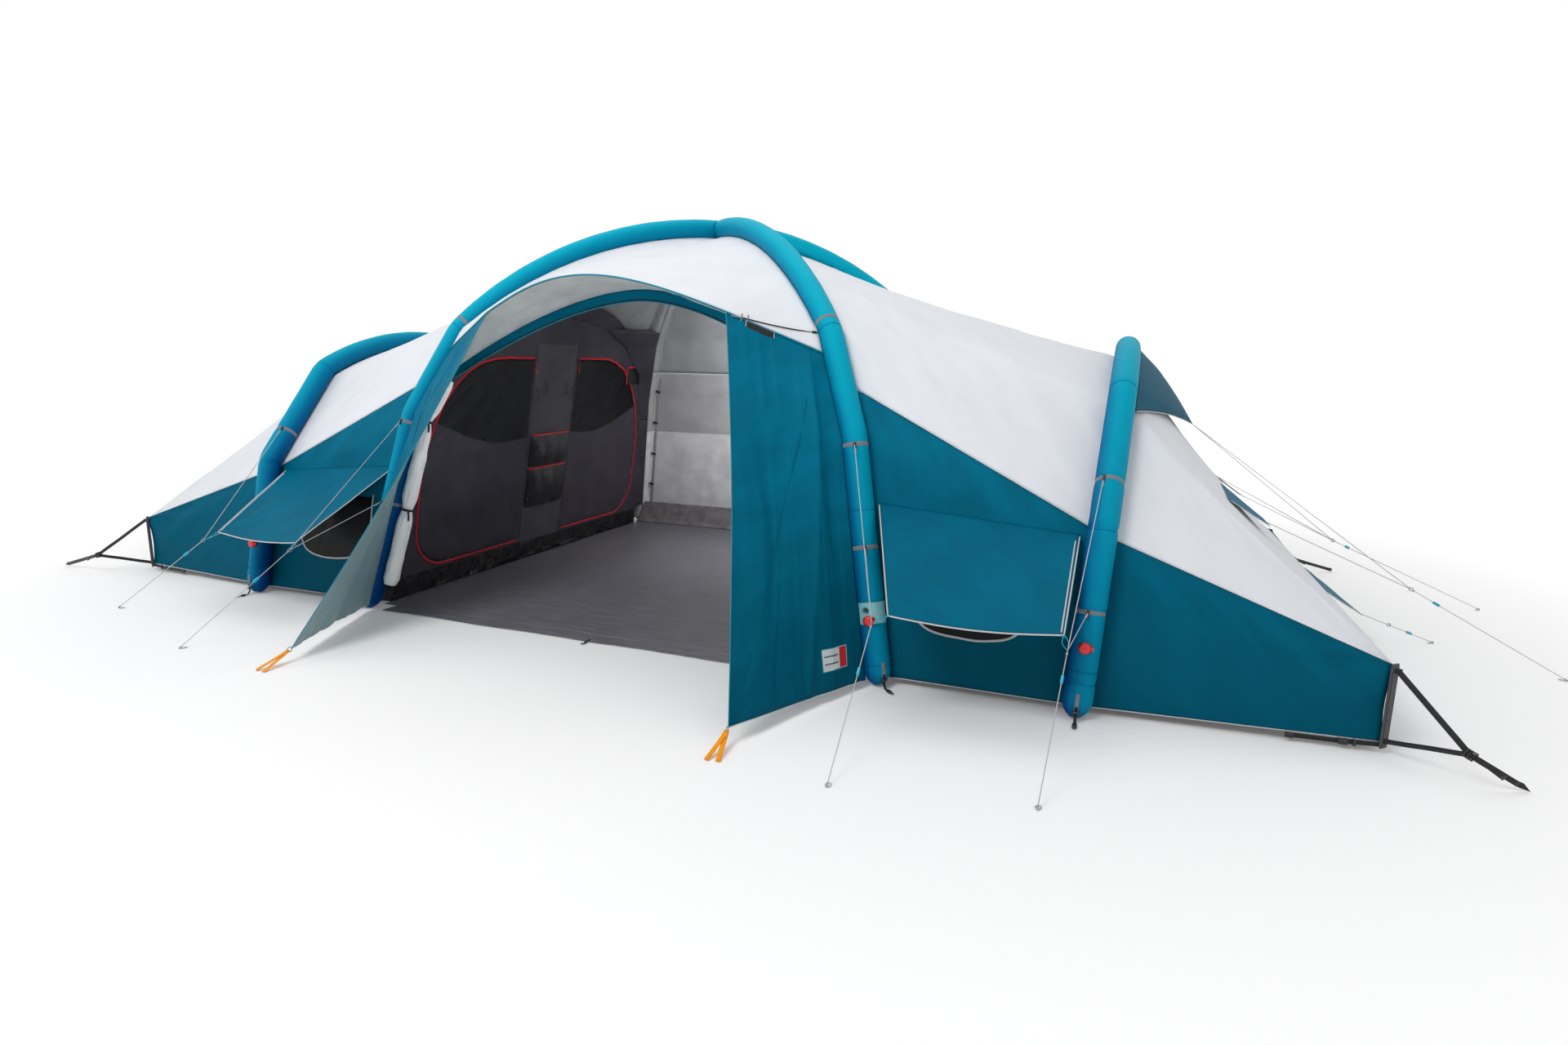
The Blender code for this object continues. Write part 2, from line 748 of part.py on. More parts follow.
def build_door_roll(group):
    """The front door, unzipped and rolled up against the left leg, drawn in by its two ties."""
    points = np.array(leg_axis())
    normals, across = outward_normals(points)
    if across[0] > 0:
        across = -across
    beside = 0.62 * across - 0.785 * normals
    inner = Line(points + (TUBE_R - ROLL_SINK) * beside)
    outer = Line(points + (TUBE_R - ROLL_SINK + ROLL_R) * beside)
    stations = []
    for k in np.linspace(0, 1, 22):
        height = ROLL_BOTTOM_H + (ROLL_TOP_H - ROLL_BOTTOM_H) * k
        near = inner.at(inner.at_height(height))
        far = outer.at(outer.at_height(height))
        factor = 1.0 - 0.25 * k
        where = near + (far - near) * factor
        for tie in ROLL_TIES:
            factor *= 1 - 0.36 * math.exp(-(((height - tie) / 0.045) ** 2))
        if k in (0, 1):
            factor *= 0.8
        stations.append((where * np.array((-1, 1, 1)), factor))
    mesh = tube_mesh("door_roll", stations, 10, ROLL_R)
    place("door_roll", mesh, group, material("door_roll_white", (0.72, 0.74, 0.75, 1), 0.8))


def build_awnings(group):
    """A window awning each side, sewn along its top edge and held out by two guy lines."""
    teal = material("awning_teal", CLOTH_TEAL, 0.65)
    wall = solid_tree(group.objects["skirt_right"])
    seam = []
    for u in np.linspace(0, 1, 33):
        x, z = blend(AWNING_IN, AWNING_OUT, u)
        seam.append(np.array((x, wall.ray_cast(Vector((x, -3, z)), Vector((0, 1, 0)))[0].y, z)))
    # The seam is the awning's hinge, so it is straight and lies just off the wall's proudest place.
    proud = min(p[1] - blend(seam[0], seam[-1], u)[1] for u, p in zip(np.linspace(0, 1, 33), seam))
    off = np.array((0, proud - CLOTH / 2 - CORD_GAP, 0))
    seam = [blend(seam[0], seam[-1], u) + off for u in np.linspace(0, 1, 9)]
    rows = []
    for v in np.linspace(0, 1, 7):
        row = []
        for u, top in zip(np.linspace(0, 1, 9), seam):
            low = blend(AWNING_LOW_IN, AWNING_LOW_OUT, u)
            low[2] -= 0.022 * math.sin(math.pi * u)
            point = blend(top, low, v)
            point[1] += 0.012 * math.sin(math.pi * v) * math.sin(math.pi * u)
            row.append(point)
        rows.append(row)
    for sx, side in SIDES.items():
        obj = cloth(f"awning_{side}", flipped(rows, sx), group, teal)
        set_origin(obj, mirrored(seam[4], sx))


def hood_rows(tube):
    """The rain hood: its base runs over the wing arch's outer flank and its tip is drawn out by a guy line."""
    arch = solid_tree(tube)
    points = np.array(wing_axis())
    normals, _ = outward_normals(points)
    reach = TUBE_R + CLOTH / 2 + TOUCH
    half = points + reach * (0.985 * np.array((1, 0, 0)) - 0.174 * normals)
    base = Line(list(half) + [np.array((p[0], -p[1], p[2])) for p in reversed(half[:-1])])
    low = Line(half).at_height(HOOD_REACH_H) / 2
    rows = []
    for w in np.linspace(0, 1, 6):
        row = []
        for f in np.linspace(low, 1 - low, 13):
            start = seat_edge(arch, base.at(f))
            point = blend(start, HOOD_TIP, w)
            point[2] += 0.03 * slope_sag(w) * math.cos((f - 0.5) * math.pi)
            row.append(point)
        rows.append(row)
    return rows


def vent_rows(roof, sx, middle_y):
    """A vent flap on the low end: sewn to the roof along a straight top edge, drawn off it at its lower edge."""
    def place(x, y, lift):
        hit, normal = roof.ray_cast(Vector((x * sx, y, 3)), Vector((0, 0, -1)))[:2]
        return np.array(hit + normal * lift)

    seat = [place(VENT_SEAM_X, middle_y + VENT_TOP_W / 2 * u, CLOTH / 2 + TOUCH) for u in np.linspace(-1, 1, 33)]
    chord = [blend(seat[0], seat[-1], k) for k in np.linspace(0, 1, 33)]
    proud = max(0.0, max(a[2] - b[2] for a, b in zip(seat, chord)))
    rows = [[p + np.array((0, 0, proud)) for p in chord[::4]]]
    for w in (0.5, 1):
        x, lift = blend((VENT_SEAM_X, CLOTH / 2 + TOUCH), (VENT_TIP_X, VENT_LIFT), w)
        half = blend(VENT_TOP_W / 2, VENT_LOW_W / 2, w)
        rows.append([place(x, middle_y + half * u, lift) for u in np.linspace(-1, 1, 9)])
    return rows


def build_hoods_and_vents(group):
    teal = material("vent_teal", CLOTH_TEAL, 0.65)
    hood = hood_rows(group.objects["tube_wing_right"])
    low_top = [np.array((END_X + CLOTH + CORD_GAP, LOW_FLAP_W / 2 * u, END_TOP - 0.004)) for u in np.linspace(-1, 1, 5)]
    low_tip = [np.array(LOW_FLAP_TIP) + np.array((0, LOW_FLAP_TIP_W / 2 * u, 0)) for u in np.linspace(-1, 1, 5)]
    low_mid = [blend(a, b, 0.5) for a, b in zip(low_top, low_tip)]
    for sx, side in SIDES.items():
        cloth(f"hood_{side}", flipped(hood, sx), group, teal)
        roof = solid_tree(group.objects[f"roof_{side}"])
        for sy, end in ((-1, "front"), (1, "back")):
            vent = vent_rows(roof, sx, VENT_Y * sy)
            obj = cloth(f"vent_flap_{end}_{side}", vent, group, teal)
            set_origin(obj, vent[0][4])
        low = cloth(f"low_flap_{side}", flipped([low_top, low_mid, low_tip], sx), group, teal)
        set_origin(low, mirrored(low_top[2], sx))


def room_loops():
    """Cross-sections of a bedroom, each a closed loop from the floor over its ceiling."""
    front = ((1.449, 0.0), (1.385, 0.55), (1.30, 1.00), (1.17, 1.34), (0.92, 1.59), (0.52, 1.75), (0.0, 1.81))
    under_arch = ((1.449, 0.0), (1.40, 0.35), (1.27, 0.75), (1.05, 1.03), (0.80, 1.23), (0.45, 1.38), (0.0, 1.44))
    low_end = ((1.40, 0.0), (1.40, 0.09), (1.38, 0.19), (1.30, 0.255), (1.00, 0.27), (0.60, 0.277), (0.0, 0.28))
    loops = []
    for x, half, lean in zip(ROOM_STATION_X, (front, under_arch, low_end), (ROOM_LEAN, 0, 0)):
        floor = CLOTH / 2
        ring = [(x - lean * z, -y, max(z, floor)) for y, z in half]
        ring += [(x - lean * z, y, max(z, floor)) for y, z in reversed(half[:-1])]
        loops.append([np.array(p) for p in ring])
    between = [[blend(a, b, 0.5) for a, b in zip(p, q)] for p, q in zip(loops, loops[1:])]
    return [loops[0], between[0], loops[1], between[1], loops[2]]


def door_outline(grow=0.0, hinge_grow=None):
    """The D of a bedroom door in the plane of its wall: (across, up) pairs from the hinge's foot round."""
    hinge = DOOR_IN - (grow if hinge_grow is None else hinge_grow)
    reach = DOOR_OUT + grow
    low = DOOR_BOTTOM - grow
    high = DOOR_TOP + grow
    turn = 0.26
    side = 0.62
    points = [(hinge, low), (reach - turn, low)]
    points += [
        (reach - turn + turn * math.sin(a), low + turn - turn * math.cos(a))
        for a in np.linspace(0, math.pi / 2, 5)[1:]
    ]
    top_half = high - side
    points += [
        (hinge + 0.30 + (reach - hinge - 0.30) * math.cos(a) ** 0.8, side + top_half * math.sin(a))
        for a in np.linspace(0, math.pi / 2, 8)[1:]
    ]
    points.append((hinge, high))
    return points


def plate_from_outline(name, pairs, half_thickness):
    data = bpy.data.curves.new(name, "CURVE")
    data.dimensions = "2D"
    data.fill_mode = "BOTH"
    data.extrude = half_thickness
    spline = data.splines.new("POLY")
    spline.points.add(len(pairs) - 1)
    for point, (a, b) in zip(spline.points, pairs):
        point.co = (a, b, 0, 1)
    spline.use_cyclic_u = True
    return curve_to_mesh(name, data)


def room_wall_matrix(sx):
    """Takes (across, up the wall, out of the wall) to the leaning front wall of a bedroom."""
    lean = math.atan(ROOM_LEAN)
    up = Vector((-math.sin(lean) * sx, 0, math.cos(lean)))
    across = Vector((0, 1, 0))
    out = across.cross(up)
    turn = Matrix((across, up, out)).transposed().to_4x4()
    return Matrix.Translation((ROOM_X * sx, 0, 0)) @ turn


def build_rooms(group, cutters):
    """A bedroom tent in each wing, its front wall cut by two D-shaped doors."""
    dark = material("room_dark", ROOM_DARK, 0.8)
    door_dark = material("room_door", ROOM_DARK, 0.75)
    for sx, side in SIDES.items():
        name = f"bedroom_{side}"
        work = bmesh.new()
        loops = flipped(room_loops(), sx)
        rings = [[work.verts.new(p) for p in loop] for loop in loops]
        for a, b in zip(rings, rings[1:]):
            for k in range(len(a)):
                nxt = (k + 1) % len(a)
                work.faces.new((a[k], a[nxt], b[nxt], b[k]))
        work.faces.new(rings[0])
        work.faces.new(list(reversed(rings[-1])))
        bmesh.ops.recalc_face_normals(work, faces=work.faces)
        mesh = bpy.data.meshes.new(name)
        work.to_mesh(mesh)
        work.free()
        room = place(name, mesh, group, dark)
        wall = room.modifiers.new("cloth", "SOLIDIFY")
        wall.thickness = CLOTH
        wall.offset = 0
        wall.use_even_offset = True
        lift = room_wall_matrix(sx)
        for sy, end in ((-1, "front"), (1, "back")):
            hole = plate_from_outline("hole", door_outline(), 0.05)
            flip = Matrix.Diagonal((sy, 1, 1, 1))
            hole.transform(lift @ flip)
            if sy < 0:
                hole.flip_normals()
            cutter = bpy.data.objects.new(f"{name}_{end}_door_hole", hole)
            cutters.objects.link(cutter)
            cutter.hide_render = True
            cutter.display_type = "WIRE"
            cut = room.modifiers.new(f"{end} door", "BOOLEAN")
            cut.operation = "DIFFERENCE"
            cut.object = cutter
            leaf = plate_from_outline(f"room_door_{end}_{side}", door_outline(-DOOR_GAP, -HINGE_GAP), CLOTH / 2)
            leaf.transform(lift @ flip)
            if sy < 0:
                leaf.flip_normals()
            door = place(f"room_door_{end}_{side}", leaf, group, door_dark, smooth=False)
            set_origin(door, lift @ Vector((sy * (DOOR_IN + HINGE_GAP), DOOR_BOTTOM, 0)))


def build_ground(group):
    grey = material("groundsheet", FLOOR_GREY, 0.5)
    level = CLOTH / 2
    rows = [[np.array((x, y, level)) for x in np.linspace(-SHEET_X, SHEET_X, 5)] for y in (SHEET_FRONT, 0, SHEET_BACK)]
    rows.append([p + np.array((0, 0.012, 0.012)) for p in rows[-1]])
    rows.append([np.array((p[0] * 0.945, SHEET_BACK + 0.012, SHEET_UPSTAND)) for p in rows[2]])
    cloth("groundsheet", rows, group, grey)
    front = SHEET_FRONT - TOUCH
    sill = [
        [np.array((x, y, level)) for x in np.linspace(-SILL_X, SILL_X, 5)]
        for y in (front, front - SILL_W / 2, front - SILL_W)
    ]
    obj = cloth("front_sill", sill, group, grey)
    set_origin(obj, (0, front + TOUCH / 2, CLOTH))


def build_corners(group):
    """Each low corner: a taped post on the cloth's corner and a V of webbing to its peg."""
    tape = material("corner_tape", TAPE_GREY, 0.8)
    black = material("corner_webbing", STRAP_BLACK, 0.7)
    facing = Vector((1, -1, 0)).normalized()
    hold = CLOTH * 0.75 + POST_T / 2 + TOUCH
    foot = Vector((END_X, -END_Y, END_BOTTOM - POST_OVER)) + facing * hold
    head = Vector((END_X, -END_Y, END_TOP + 0.004)) + facing * hold
    for sx, side in SIDES.items():
        for sy, end in ((1, "front"), (-1, "back")):
            turn = Matrix.Diagonal((sx, sy, 1, 1))
            post = strip_mesh(f"corner_post_{end}_{side}", foot, head, POST_W, POST_T, facing)
            post.transform(turn)
            if sx * sy < 0:
                post.flip_normals()
            place(f"corner_post_{end}_{side}", post, group, tape, smooth=False)
            peg = Vector(STRAP_PEGS[side, end])
            strap = corner_strap_mesh(foot, head, facing, Vector((peg.x * sx, peg.y * sy, 0)))
            strap.transform(turn)
            if sx * sy < 0:
                strap.flip_normals()
            strap.name = f"corner_strap_{end}_{side}"
            place(strap.name, strap, group, black, smooth=False)


def corner_strap_mesh(foot, head, facing, peg):
    """The V of webbing: two strips from the post to the knee, and a tail down to the peg."""
    knee = Vector(STRAP_KNEE)
    tail = peg + Vector((0, 0, STRAP_W / 2))
    face = Vector((0, -1, 0))
    pieces = []
    for anchor in (head - Vector((0, 0, 0.02)), foot + Vector((0, 0, 0.03))):
        along = (knee - anchor).normalized()
        side = face.cross(along).normalized()
        corner = abs(side.dot(facing)) * STRAP_W / 2 + abs(along.cross(side).dot(facing)) * STRAP_T / 2
        start = anchor + facing * (POST_T / 2 + TOUCH + corner)
        pieces.append(strip_mesh("strip", start, knee + along * 0.012, STRAP_W, STRAP_T, face))
    start = knee - (tail - knee).normalized() * 0.012
    pieces.append(strip_mesh("strip", start, tail, STRAP_W, STRAP_T, face))
    return union(pieces)


def union(meshes):
    """One closed body from overlapping meshes."""
    first = bpy.data.objects.new("union", meshes[0])
    bpy.context.scene.collection.objects.link(first)
    helpers = []
    for mesh in meshes[1:]:
        other = bpy.data.objects.new("joined", mesh)
        bpy.context.scene.collection.objects.link(other)
        helpers.append(other)
        join = first.modifiers.new("join", "BOOLEAN")
        join.operation = "UNION"
        join.object = other
    bpy.context.view_layer.update()
    graph = bpy.context.evaluated_depsgraph_get()
    result = bpy.data.meshes.new_from_object(first.evaluated_get(graph))
    for obj in [first] + helpers:
        bpy.data.objects.remove(obj, do_unlink=True)
    return result


def cord_mesh(points, radius=CORD_R):
    return tube_mesh("cord", [(np.array(p, float), 1.0) for p in points], CORD_SIDES, radius)


def bead_mesh(point, radius=RING_R):
    mesh = bpy.data.meshes.new("bead")
    work = bmesh.new()
    bmesh.ops.create_icosphere(work, subdivisions=1, radius=radius, matrix=Matrix.Translation(point))
    work.to_mesh(mesh)
    work.free()
    return mesh


def seat_cord(tree, origin, way, toward):
    """Where a cord leaves a face struck by a ray: its end lies just clear of the face as it heads for a point."""
    hit, normal = tree.ray_cast(origin, way)[:2]
    if normal.dot(Vector(toward) - hit) < 0:
        normal = -normal
    slant = (Vector(toward) - hit).normalized().cross(normal).length
    return hit + normal * (CORD_R * slant + 1.6 * CORD_GAP)


def leave_band(tube, points, height, sx, toward):
    """Where a guy line leaves a tube's webbing band at a height, on the side turned to a point."""
    line = Line(points)
    centre = mirrored(line.at(line.at_height(height)), sx)
    way = Vector(toward) - centre
    along = mirrored(line.at(line.at_height(height + 0.05)), sx) - centre
    along.normalize()
    way -= along * way.dot(along)
    way.normalize()
    return seat_cord(solid_tree(tube), centre + way * 0.2, -way, toward)


def leave_edge(edge, toward):
    """Where a guy line leaves a cloth's edge."""
    edge = Vector(edge)
    return edge + (Vector(toward) - edge).normalized() * (CORD_R + CORD_GAP / 4)


def ground_end(point):
    return Vector((point[0], point[1], CORD_R))


def guy_mesh(starts, ring, ground):
    """Branches from several starts to one ring, and one line from the ring to the ground."""
    ring = Vector(ring)
    end = ground_end(ground)
    pieces = [bead_mesh(ring)]
    pieces += [cord_mesh([start, ring]) for start in starts]
    pieces.append(cord_mesh([ring, blend(ring, end, 0.5), end]))
    return union(pieces)


def slider_object(name, ring, ground, share, group, cutters):
    """A small toggle threaded on a guy line, a share of the way to the ground."""
    ring, end = Vector(ring), ground_end(ground)
    along = (end - ring).normalized()
    centre = ring.lerp(end, share)
    turn = along.to_track_quat("Z", "Y").to_matrix().to_4x4()
    mesh = bpy.data.meshes.new(name)
    work = bmesh.new()
    bmesh.ops.create_cube(work, size=1)
    bmesh.ops.scale(work, vec=SLIDER, verts=work.verts)
    work.to_mesh(mesh)
    work.free()
    obj = place(name, mesh, group, material("slider", SLIDER_CYAN, 0.4), smooth=False)
    bore = bpy.data.meshes.new(name + "_bore")
    work = bmesh.new()
    bmesh.ops.create_cone(
        work, cap_ends=True, segments=8, radius1=SLIDER_HOLE_R, radius2=SLIDER_HOLE_R, depth=SLIDER[2] * 1.5
    )
    work.to_mesh(bore)
    work.free()
    cutter = bpy.data.objects.new(name + "_bore", bore)
    cutters.objects.link(cutter)
    cutter.hide_render = True
    cutter.display_type = "WIRE"
    cut = obj.modifiers.new("bore", "BOOLEAN")
    cut.operation = "DIFFERENCE"
    cut.object = cutter
    for each in (obj, cutter):
        each.matrix_world = Matrix.Translation(centre) @ turn


def build_guys(group, cutters):
    """The door side's four guy lines, then the three of the right-hand low end."""
    white = material("guy_cord", CORD_WHITE, 0.6)
    leg, arch = leg_axis(), wing_axis()
    for sx, side in SIDES.items():
        for kind, axis, bands, ring, ground in (
            ("front", leg, LEG_BANDS, LEG_RING, LEG_GROUND[sx]),
            ("wing", arch, WING_BANDS, WING_RING, WING_GROUND[sx]),
        ):
            ring = mirrored(ring, sx)
            tube = group.objects[f"tube_{kind}_{side}"]
            starts = [leave_band(tube, axis, height, sx, ring) for height in bands]
            mesh = guy_mesh(starts, ring, ground)
            mesh.name = f"guy_{kind}_{side}"
            place(mesh.name, mesh, group, white)
            slider_object(f"slider_{kind}_{side}", ring, ground, SLIDER_AT[kind], group, cutters)
    roof = solid_tree(group.objects["roof_right"])
    far_flap = Vector(vent_rows(roof, 1, VENT_Y)[-1][4])
    near_flap = Vector(vent_rows(roof, 1, -VENT_Y)[-1][4])
    slope = seat_cord(roof, Vector((VENT_SEAM_X, 0, 3)), Vector((0, 0, -1)), END_RING_BACK)
    tip = Vector(HOOD_TIP)
    beside = Vector((0, 0.01, 0))
    ends = {
        "guy_end_front": ([tip - beside, near_flap], END_RING_FRONT, END_GROUND_FRONT),
        "guy_end_back": ([tip + beside, far_flap], END_RING_BACK, END_GROUND_BACK),
        "guy_end_low": ([LOW_FLAP_TIP], END_RING_LOW, END_GROUND_LOW),
    }
    for name, (edges, ring, ground) in ends.items():
        starts = [leave_edge(edge, ring) for edge in edges]
        if name == "guy_end_back":
            starts.append(slope)
        mesh = guy_mesh(starts, ring, ground)
        mesh.name = name
        place(name, mesh, group, white)


def proudest(tube, centre, turn):
    """How far the tube's face stands from its centre line at its proudest place under a valve cap."""
    reach = []
    for a in np.linspace(0, 2 * math.pi, 32, endpoint=False):
        for r in np.linspace(0, VALVE_R + 0.001, 8):
            start = centre + turn @ Vector((r * math.cos(a), r * math.sin(a), 0.2))
            hit = tube.ray_cast(start, turn @ Vector((0, 0, -1)))[0]
            reach.append((hit - centre).dot(turn @ Vector((0, 0, 1))))
    return max(reach)


def build_valves(group):
    """A round valve cap near the foot of each front leg, on the sleeve's outer face."""
    red = material("valve_cap", VALVE_RED, 0.35)
    for sx, side in SIDES.items():
        for kind, axis, height in (("front", leg_axis(), LEG_VALVE_H), ("wing", wing_axis(), WING_VALVE_H)):
            line = Line(axis)
            centre = mirrored(line.at(line.at_height(height)), sx)
            out = Vector((0, -1, 0.26 if kind == "wing" else 0.197)).normalized()
            tube = group.objects[f"tube_{kind}_{side}"]
            turn = out.to_track_quat("Z", "Y").to_matrix()
            seat = centre + out * (proudest(solid_tree(tube), centre, turn) + 1.5 * CORD_GAP)
            name = f"valve_cap_{kind}_{side}"
            mesh = bpy.data.meshes.new(name)
            work = bmesh.new()
            where = Matrix.Translation(seat + out * VALVE_H / 2) @ turn.to_4x4()
            bmesh.ops.create_cone(
                work, cap_ends=True, segments=16, radius1=VALVE_R, radius2=VALVE_R * 0.86, depth=VALVE_H, matrix=where
            )
            tab = bmesh.ops.create_cube(work, size=1)["verts"]
            bmesh.ops.scale(work, vec=(0.012, 0.016, 0.007), verts=tab)
            bmesh.ops.transform(work, matrix=where @ Matrix.Translation((VALVE_R + 0.004, 0, 0)), verts=tab)
            work.to_mesh(mesh)
            work.free()
            parts = split_islands(mesh)
            cap = union(parts)
            cap.name = name
            obj = place(name, cap, group, red)
            set_origin(obj, seat)


def split_islands(mesh):
    """The separate closed shells of a mesh, each as its own mesh."""
    work = bmesh.new()
    work.from_mesh(mesh)
    work.verts.ensure_lookup_table()
    seen, found = set(), []
    for start in work.verts:
        if start.index in seen:
            continue
        island, queue = {start}, [start]
        while queue:
            for edge in queue.pop().link_edges:
                for vert in edge.verts:
                    if vert not in island:
                        island.add(vert)
                        queue.append(vert)
        seen |= {v.index for v in island}
        found.append({v.index for v in island})
    meshes = []
    for keep in found:
        part = work.copy()
        part.verts.ensure_lookup_table()
        bmesh.ops.delete(part, geom=[v for v in part.verts if v.index not in keep], context="VERTS")
        piece = bpy.data.meshes.new("shell")
        part.to_mesh(piece)
        part.free()
        meshes.append(piece)
    work.free()
    return meshes


def main():
    clear_scene()
    tent = new_collection("inflatable_tent")
    cutters = new_collection("cutters")
    build_tubes(tent)
    build_fly(tent)
    build_door_header(tent)
    build_porch(tent)
    build_door_roll(tent)
    build_awnings(tent)
    build_hoods_and_vents(tent)
    build_rooms(tent, cutters)
    build_ground(tent)
    build_corners(tent)
    build_guys(tent, cutters)
    build_valves(tent)


main()
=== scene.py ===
"""The looks of the inflatable family tent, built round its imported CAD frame."""

import json
import math

import bmesh
import bpy
import numpy as np
from mathutils import Matrix, Vector
from mathutils.bvhtree import BVHTree
from mathutils.geometry import delaunay_2d_cdt

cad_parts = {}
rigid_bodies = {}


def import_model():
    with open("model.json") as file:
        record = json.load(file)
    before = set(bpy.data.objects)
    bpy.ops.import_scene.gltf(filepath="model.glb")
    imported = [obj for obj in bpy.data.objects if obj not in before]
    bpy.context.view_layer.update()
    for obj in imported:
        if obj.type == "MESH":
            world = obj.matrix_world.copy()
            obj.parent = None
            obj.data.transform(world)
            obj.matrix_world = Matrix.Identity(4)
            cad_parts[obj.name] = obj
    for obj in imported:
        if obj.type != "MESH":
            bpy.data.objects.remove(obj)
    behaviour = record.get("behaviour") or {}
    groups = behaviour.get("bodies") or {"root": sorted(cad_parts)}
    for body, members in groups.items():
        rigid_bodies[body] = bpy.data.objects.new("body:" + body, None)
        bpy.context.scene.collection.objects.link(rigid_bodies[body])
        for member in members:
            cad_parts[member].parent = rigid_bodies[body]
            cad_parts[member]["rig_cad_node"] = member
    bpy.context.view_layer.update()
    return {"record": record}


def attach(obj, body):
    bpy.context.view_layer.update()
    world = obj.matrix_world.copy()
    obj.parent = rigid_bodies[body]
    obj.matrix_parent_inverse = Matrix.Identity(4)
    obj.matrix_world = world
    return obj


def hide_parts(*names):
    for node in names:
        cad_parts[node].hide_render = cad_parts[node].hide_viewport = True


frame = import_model()
BEHAVIOUR = frame["record"]["behaviour"]
BODY_OF = {node: body for body, nodes in BEHAVIOUR["bodies"].items() for node in nodes}
JOINT_AT = {joint["child"]: joint for joint in BEHAVIOUR["joints"]}
SIDES = (("right", 1), ("left", -1))

# Sizes shared with the part's source, in metres
TUBE_R, CROSS_H, FOOT_H = 0.0645, 2.34, 0.008
LEG_FOOT, LEG_KNEE_LOW, LEG_KNEE_HIGH = (1.584, -1.599), (1.931, 1.156), (1.642, 1.659)
WING_X, WING_LEAN, WING_FOOT_Y, WING_APEX_H = 2.47, 0.06, 1.631, 1.611
WING_KNEE_LOW, WING_KNEE_HIGH = (1.416, 0.823), (0.924, 1.393)
LEG_BANDS, GUY_BANDS, WING_BANDS = (0.634, 1.111, 1.69), (0.634, 1.111), (0.45, 0.987)
CLOTH, EDGE_GAP, TOUCH = 0.003, 0.0018, 0.0006
HEM_H, SPLIT_LEG_H, SPLIT_WING_H, HIP_WING_H = 0.03, 1.38, 0.77, 1.30
END_X, END_Y, END_TOP, END_BOTTOM = 3.63, 1.50, 0.373, 0.045
END_SAG, RIDGE_SAG, ROOF_SAG = 0.07, 0.05, 0.03
CANOPY_JOIN_H, CANOPY_CORNER, CANOPY_FRONT = 1.55, (0.717, -1.459, 1.738), (0.0, -1.60, 1.912)
HEADER_X, HEADER_Y, HEADER_TOP, HEADER_DROP, HEADER_LEAN = 1.165, -1.03, 1.885, 0.37, 0.52
HEADER_W, HEADER_END_H, DOOR_MIDDLE = 0.066, 1.39, (0.0, -1.15, 1.15)
PORCH_TIP, PORCH_PEG, PORCH_HEM_H = (1.187, -2.446, 0.069), (1.201, -2.613, 0.0), 0.035
ROLL_R, ROLL_TOP_H, ROLL_BOTTOM_H, ROLL_TIES = 0.048, 1.36, 0.15, (0.60, 1.12)
AWNING_IN, AWNING_OUT = (1.50, 0.845), (2.425, 0.765)
AWNING_LOW_IN, AWNING_LOW_OUT = (1.700, -1.954, 0.459), (2.407, -1.889, 0.447)
HOOD_TIP, HOOD_REACH_H = (2.945, 0.0, 1.190), 1.30
VENT_Y, VENT_TOP_W, VENT_LOW_W, VENT_SEAM_X, VENT_TIP_X, VENT_LIFT = 0.48, 0.42, 0.20, 3.085, 3.262, 0.045
LOW_FLAP_W, LOW_FLAP_TIP, LOW_FLAP_TIP_W = 0.62, (3.878, 0.0, 0.193), 0.06
ROOM_X, ROOM_MIDDLE_X, ROOM_END_X, ROOM_LEAN = 1.56, 2.42, 3.594, 0.17
DOOR_IN, DOOR_OUT, DOOR_BOTTOM, DOOR_TOP = 0.25, 1.27, 0.175, 1.505
SHEET_X, SHEET_Y, SHEET_UPSTAND, SILL_X, SILL_W = 1.5572, 1.50, 0.20, 1.46, 0.115
POST_W, POST_T, POST_OVER = 0.045, 0.012, 0.02
STRAP_KNEE, STRAP_W = (3.843, -1.723, 0.131), 0.022
STRAP_PEGS = {(1, 1): (4.045, -1.671), (-1, 1): (-4.284, -1.675), (1, -1): (4.163, 2.021),
              (-1, -1): (-4.163, 2.021)}
CORD_D = 0.004
LEG_RING, WING_RING = (1.651, -2.032, 0.439), (2.427, -1.969, 0.411)
LEG_GROUND = {1: (1.663, -2.634), -1: (-1.869, -2.541)}
WING_GROUND = {1: (2.385, -2.505), -1: (-2.893, -2.197)}
END_GUYS = {
    "front": ((4.09, 0.0, 0.356), (4.745, -0.182)),
    "back": ((3.699, 0.0, 0.589), (4.826, 1.213)),
    "low": ((4.04, 0.095, 0.124), (4.312, 0.267)),
}


# Node trees

class Value:
    """An output socket to reckon with: each sign makes one Math node."""

    def __init__(self, tree, socket):
        self.tree, self.socket = tree, socket

    def reckon(self, operation, *others, first=None):
        node = self.tree.nodes.new("ShaderNodeMath")
        node.operation = operation
        for socket, value in zip(node.inputs, (self, *others) if first is None else (first, self)):
            put(self.tree, socket, value)
        return Value(self.tree, node.outputs[0])

    def __add__(self, other):
        return self.reckon("ADD", other)

    def __sub__(self, other):
        return self.reckon("SUBTRACT", other)

    def __rsub__(self, other):
        return self.reckon("SUBTRACT", first=other)

    def __mul__(self, other):
        return self.reckon("MULTIPLY", other)

    def __truediv__(self, other):
        return self.reckon("DIVIDE", other)


class Node:
    """A node whose outputs are read by name or number."""

    def __init__(self, tree, node):
        self.tree, self.node = tree, node

    def __getitem__(self, key):
        return Value(self.tree, self.node.outputs[key])


def put(tree, socket, value):
    if isinstance(value, Value):
        tree.links.new(value.socket, socket)
    else:
        socket.default_value = value


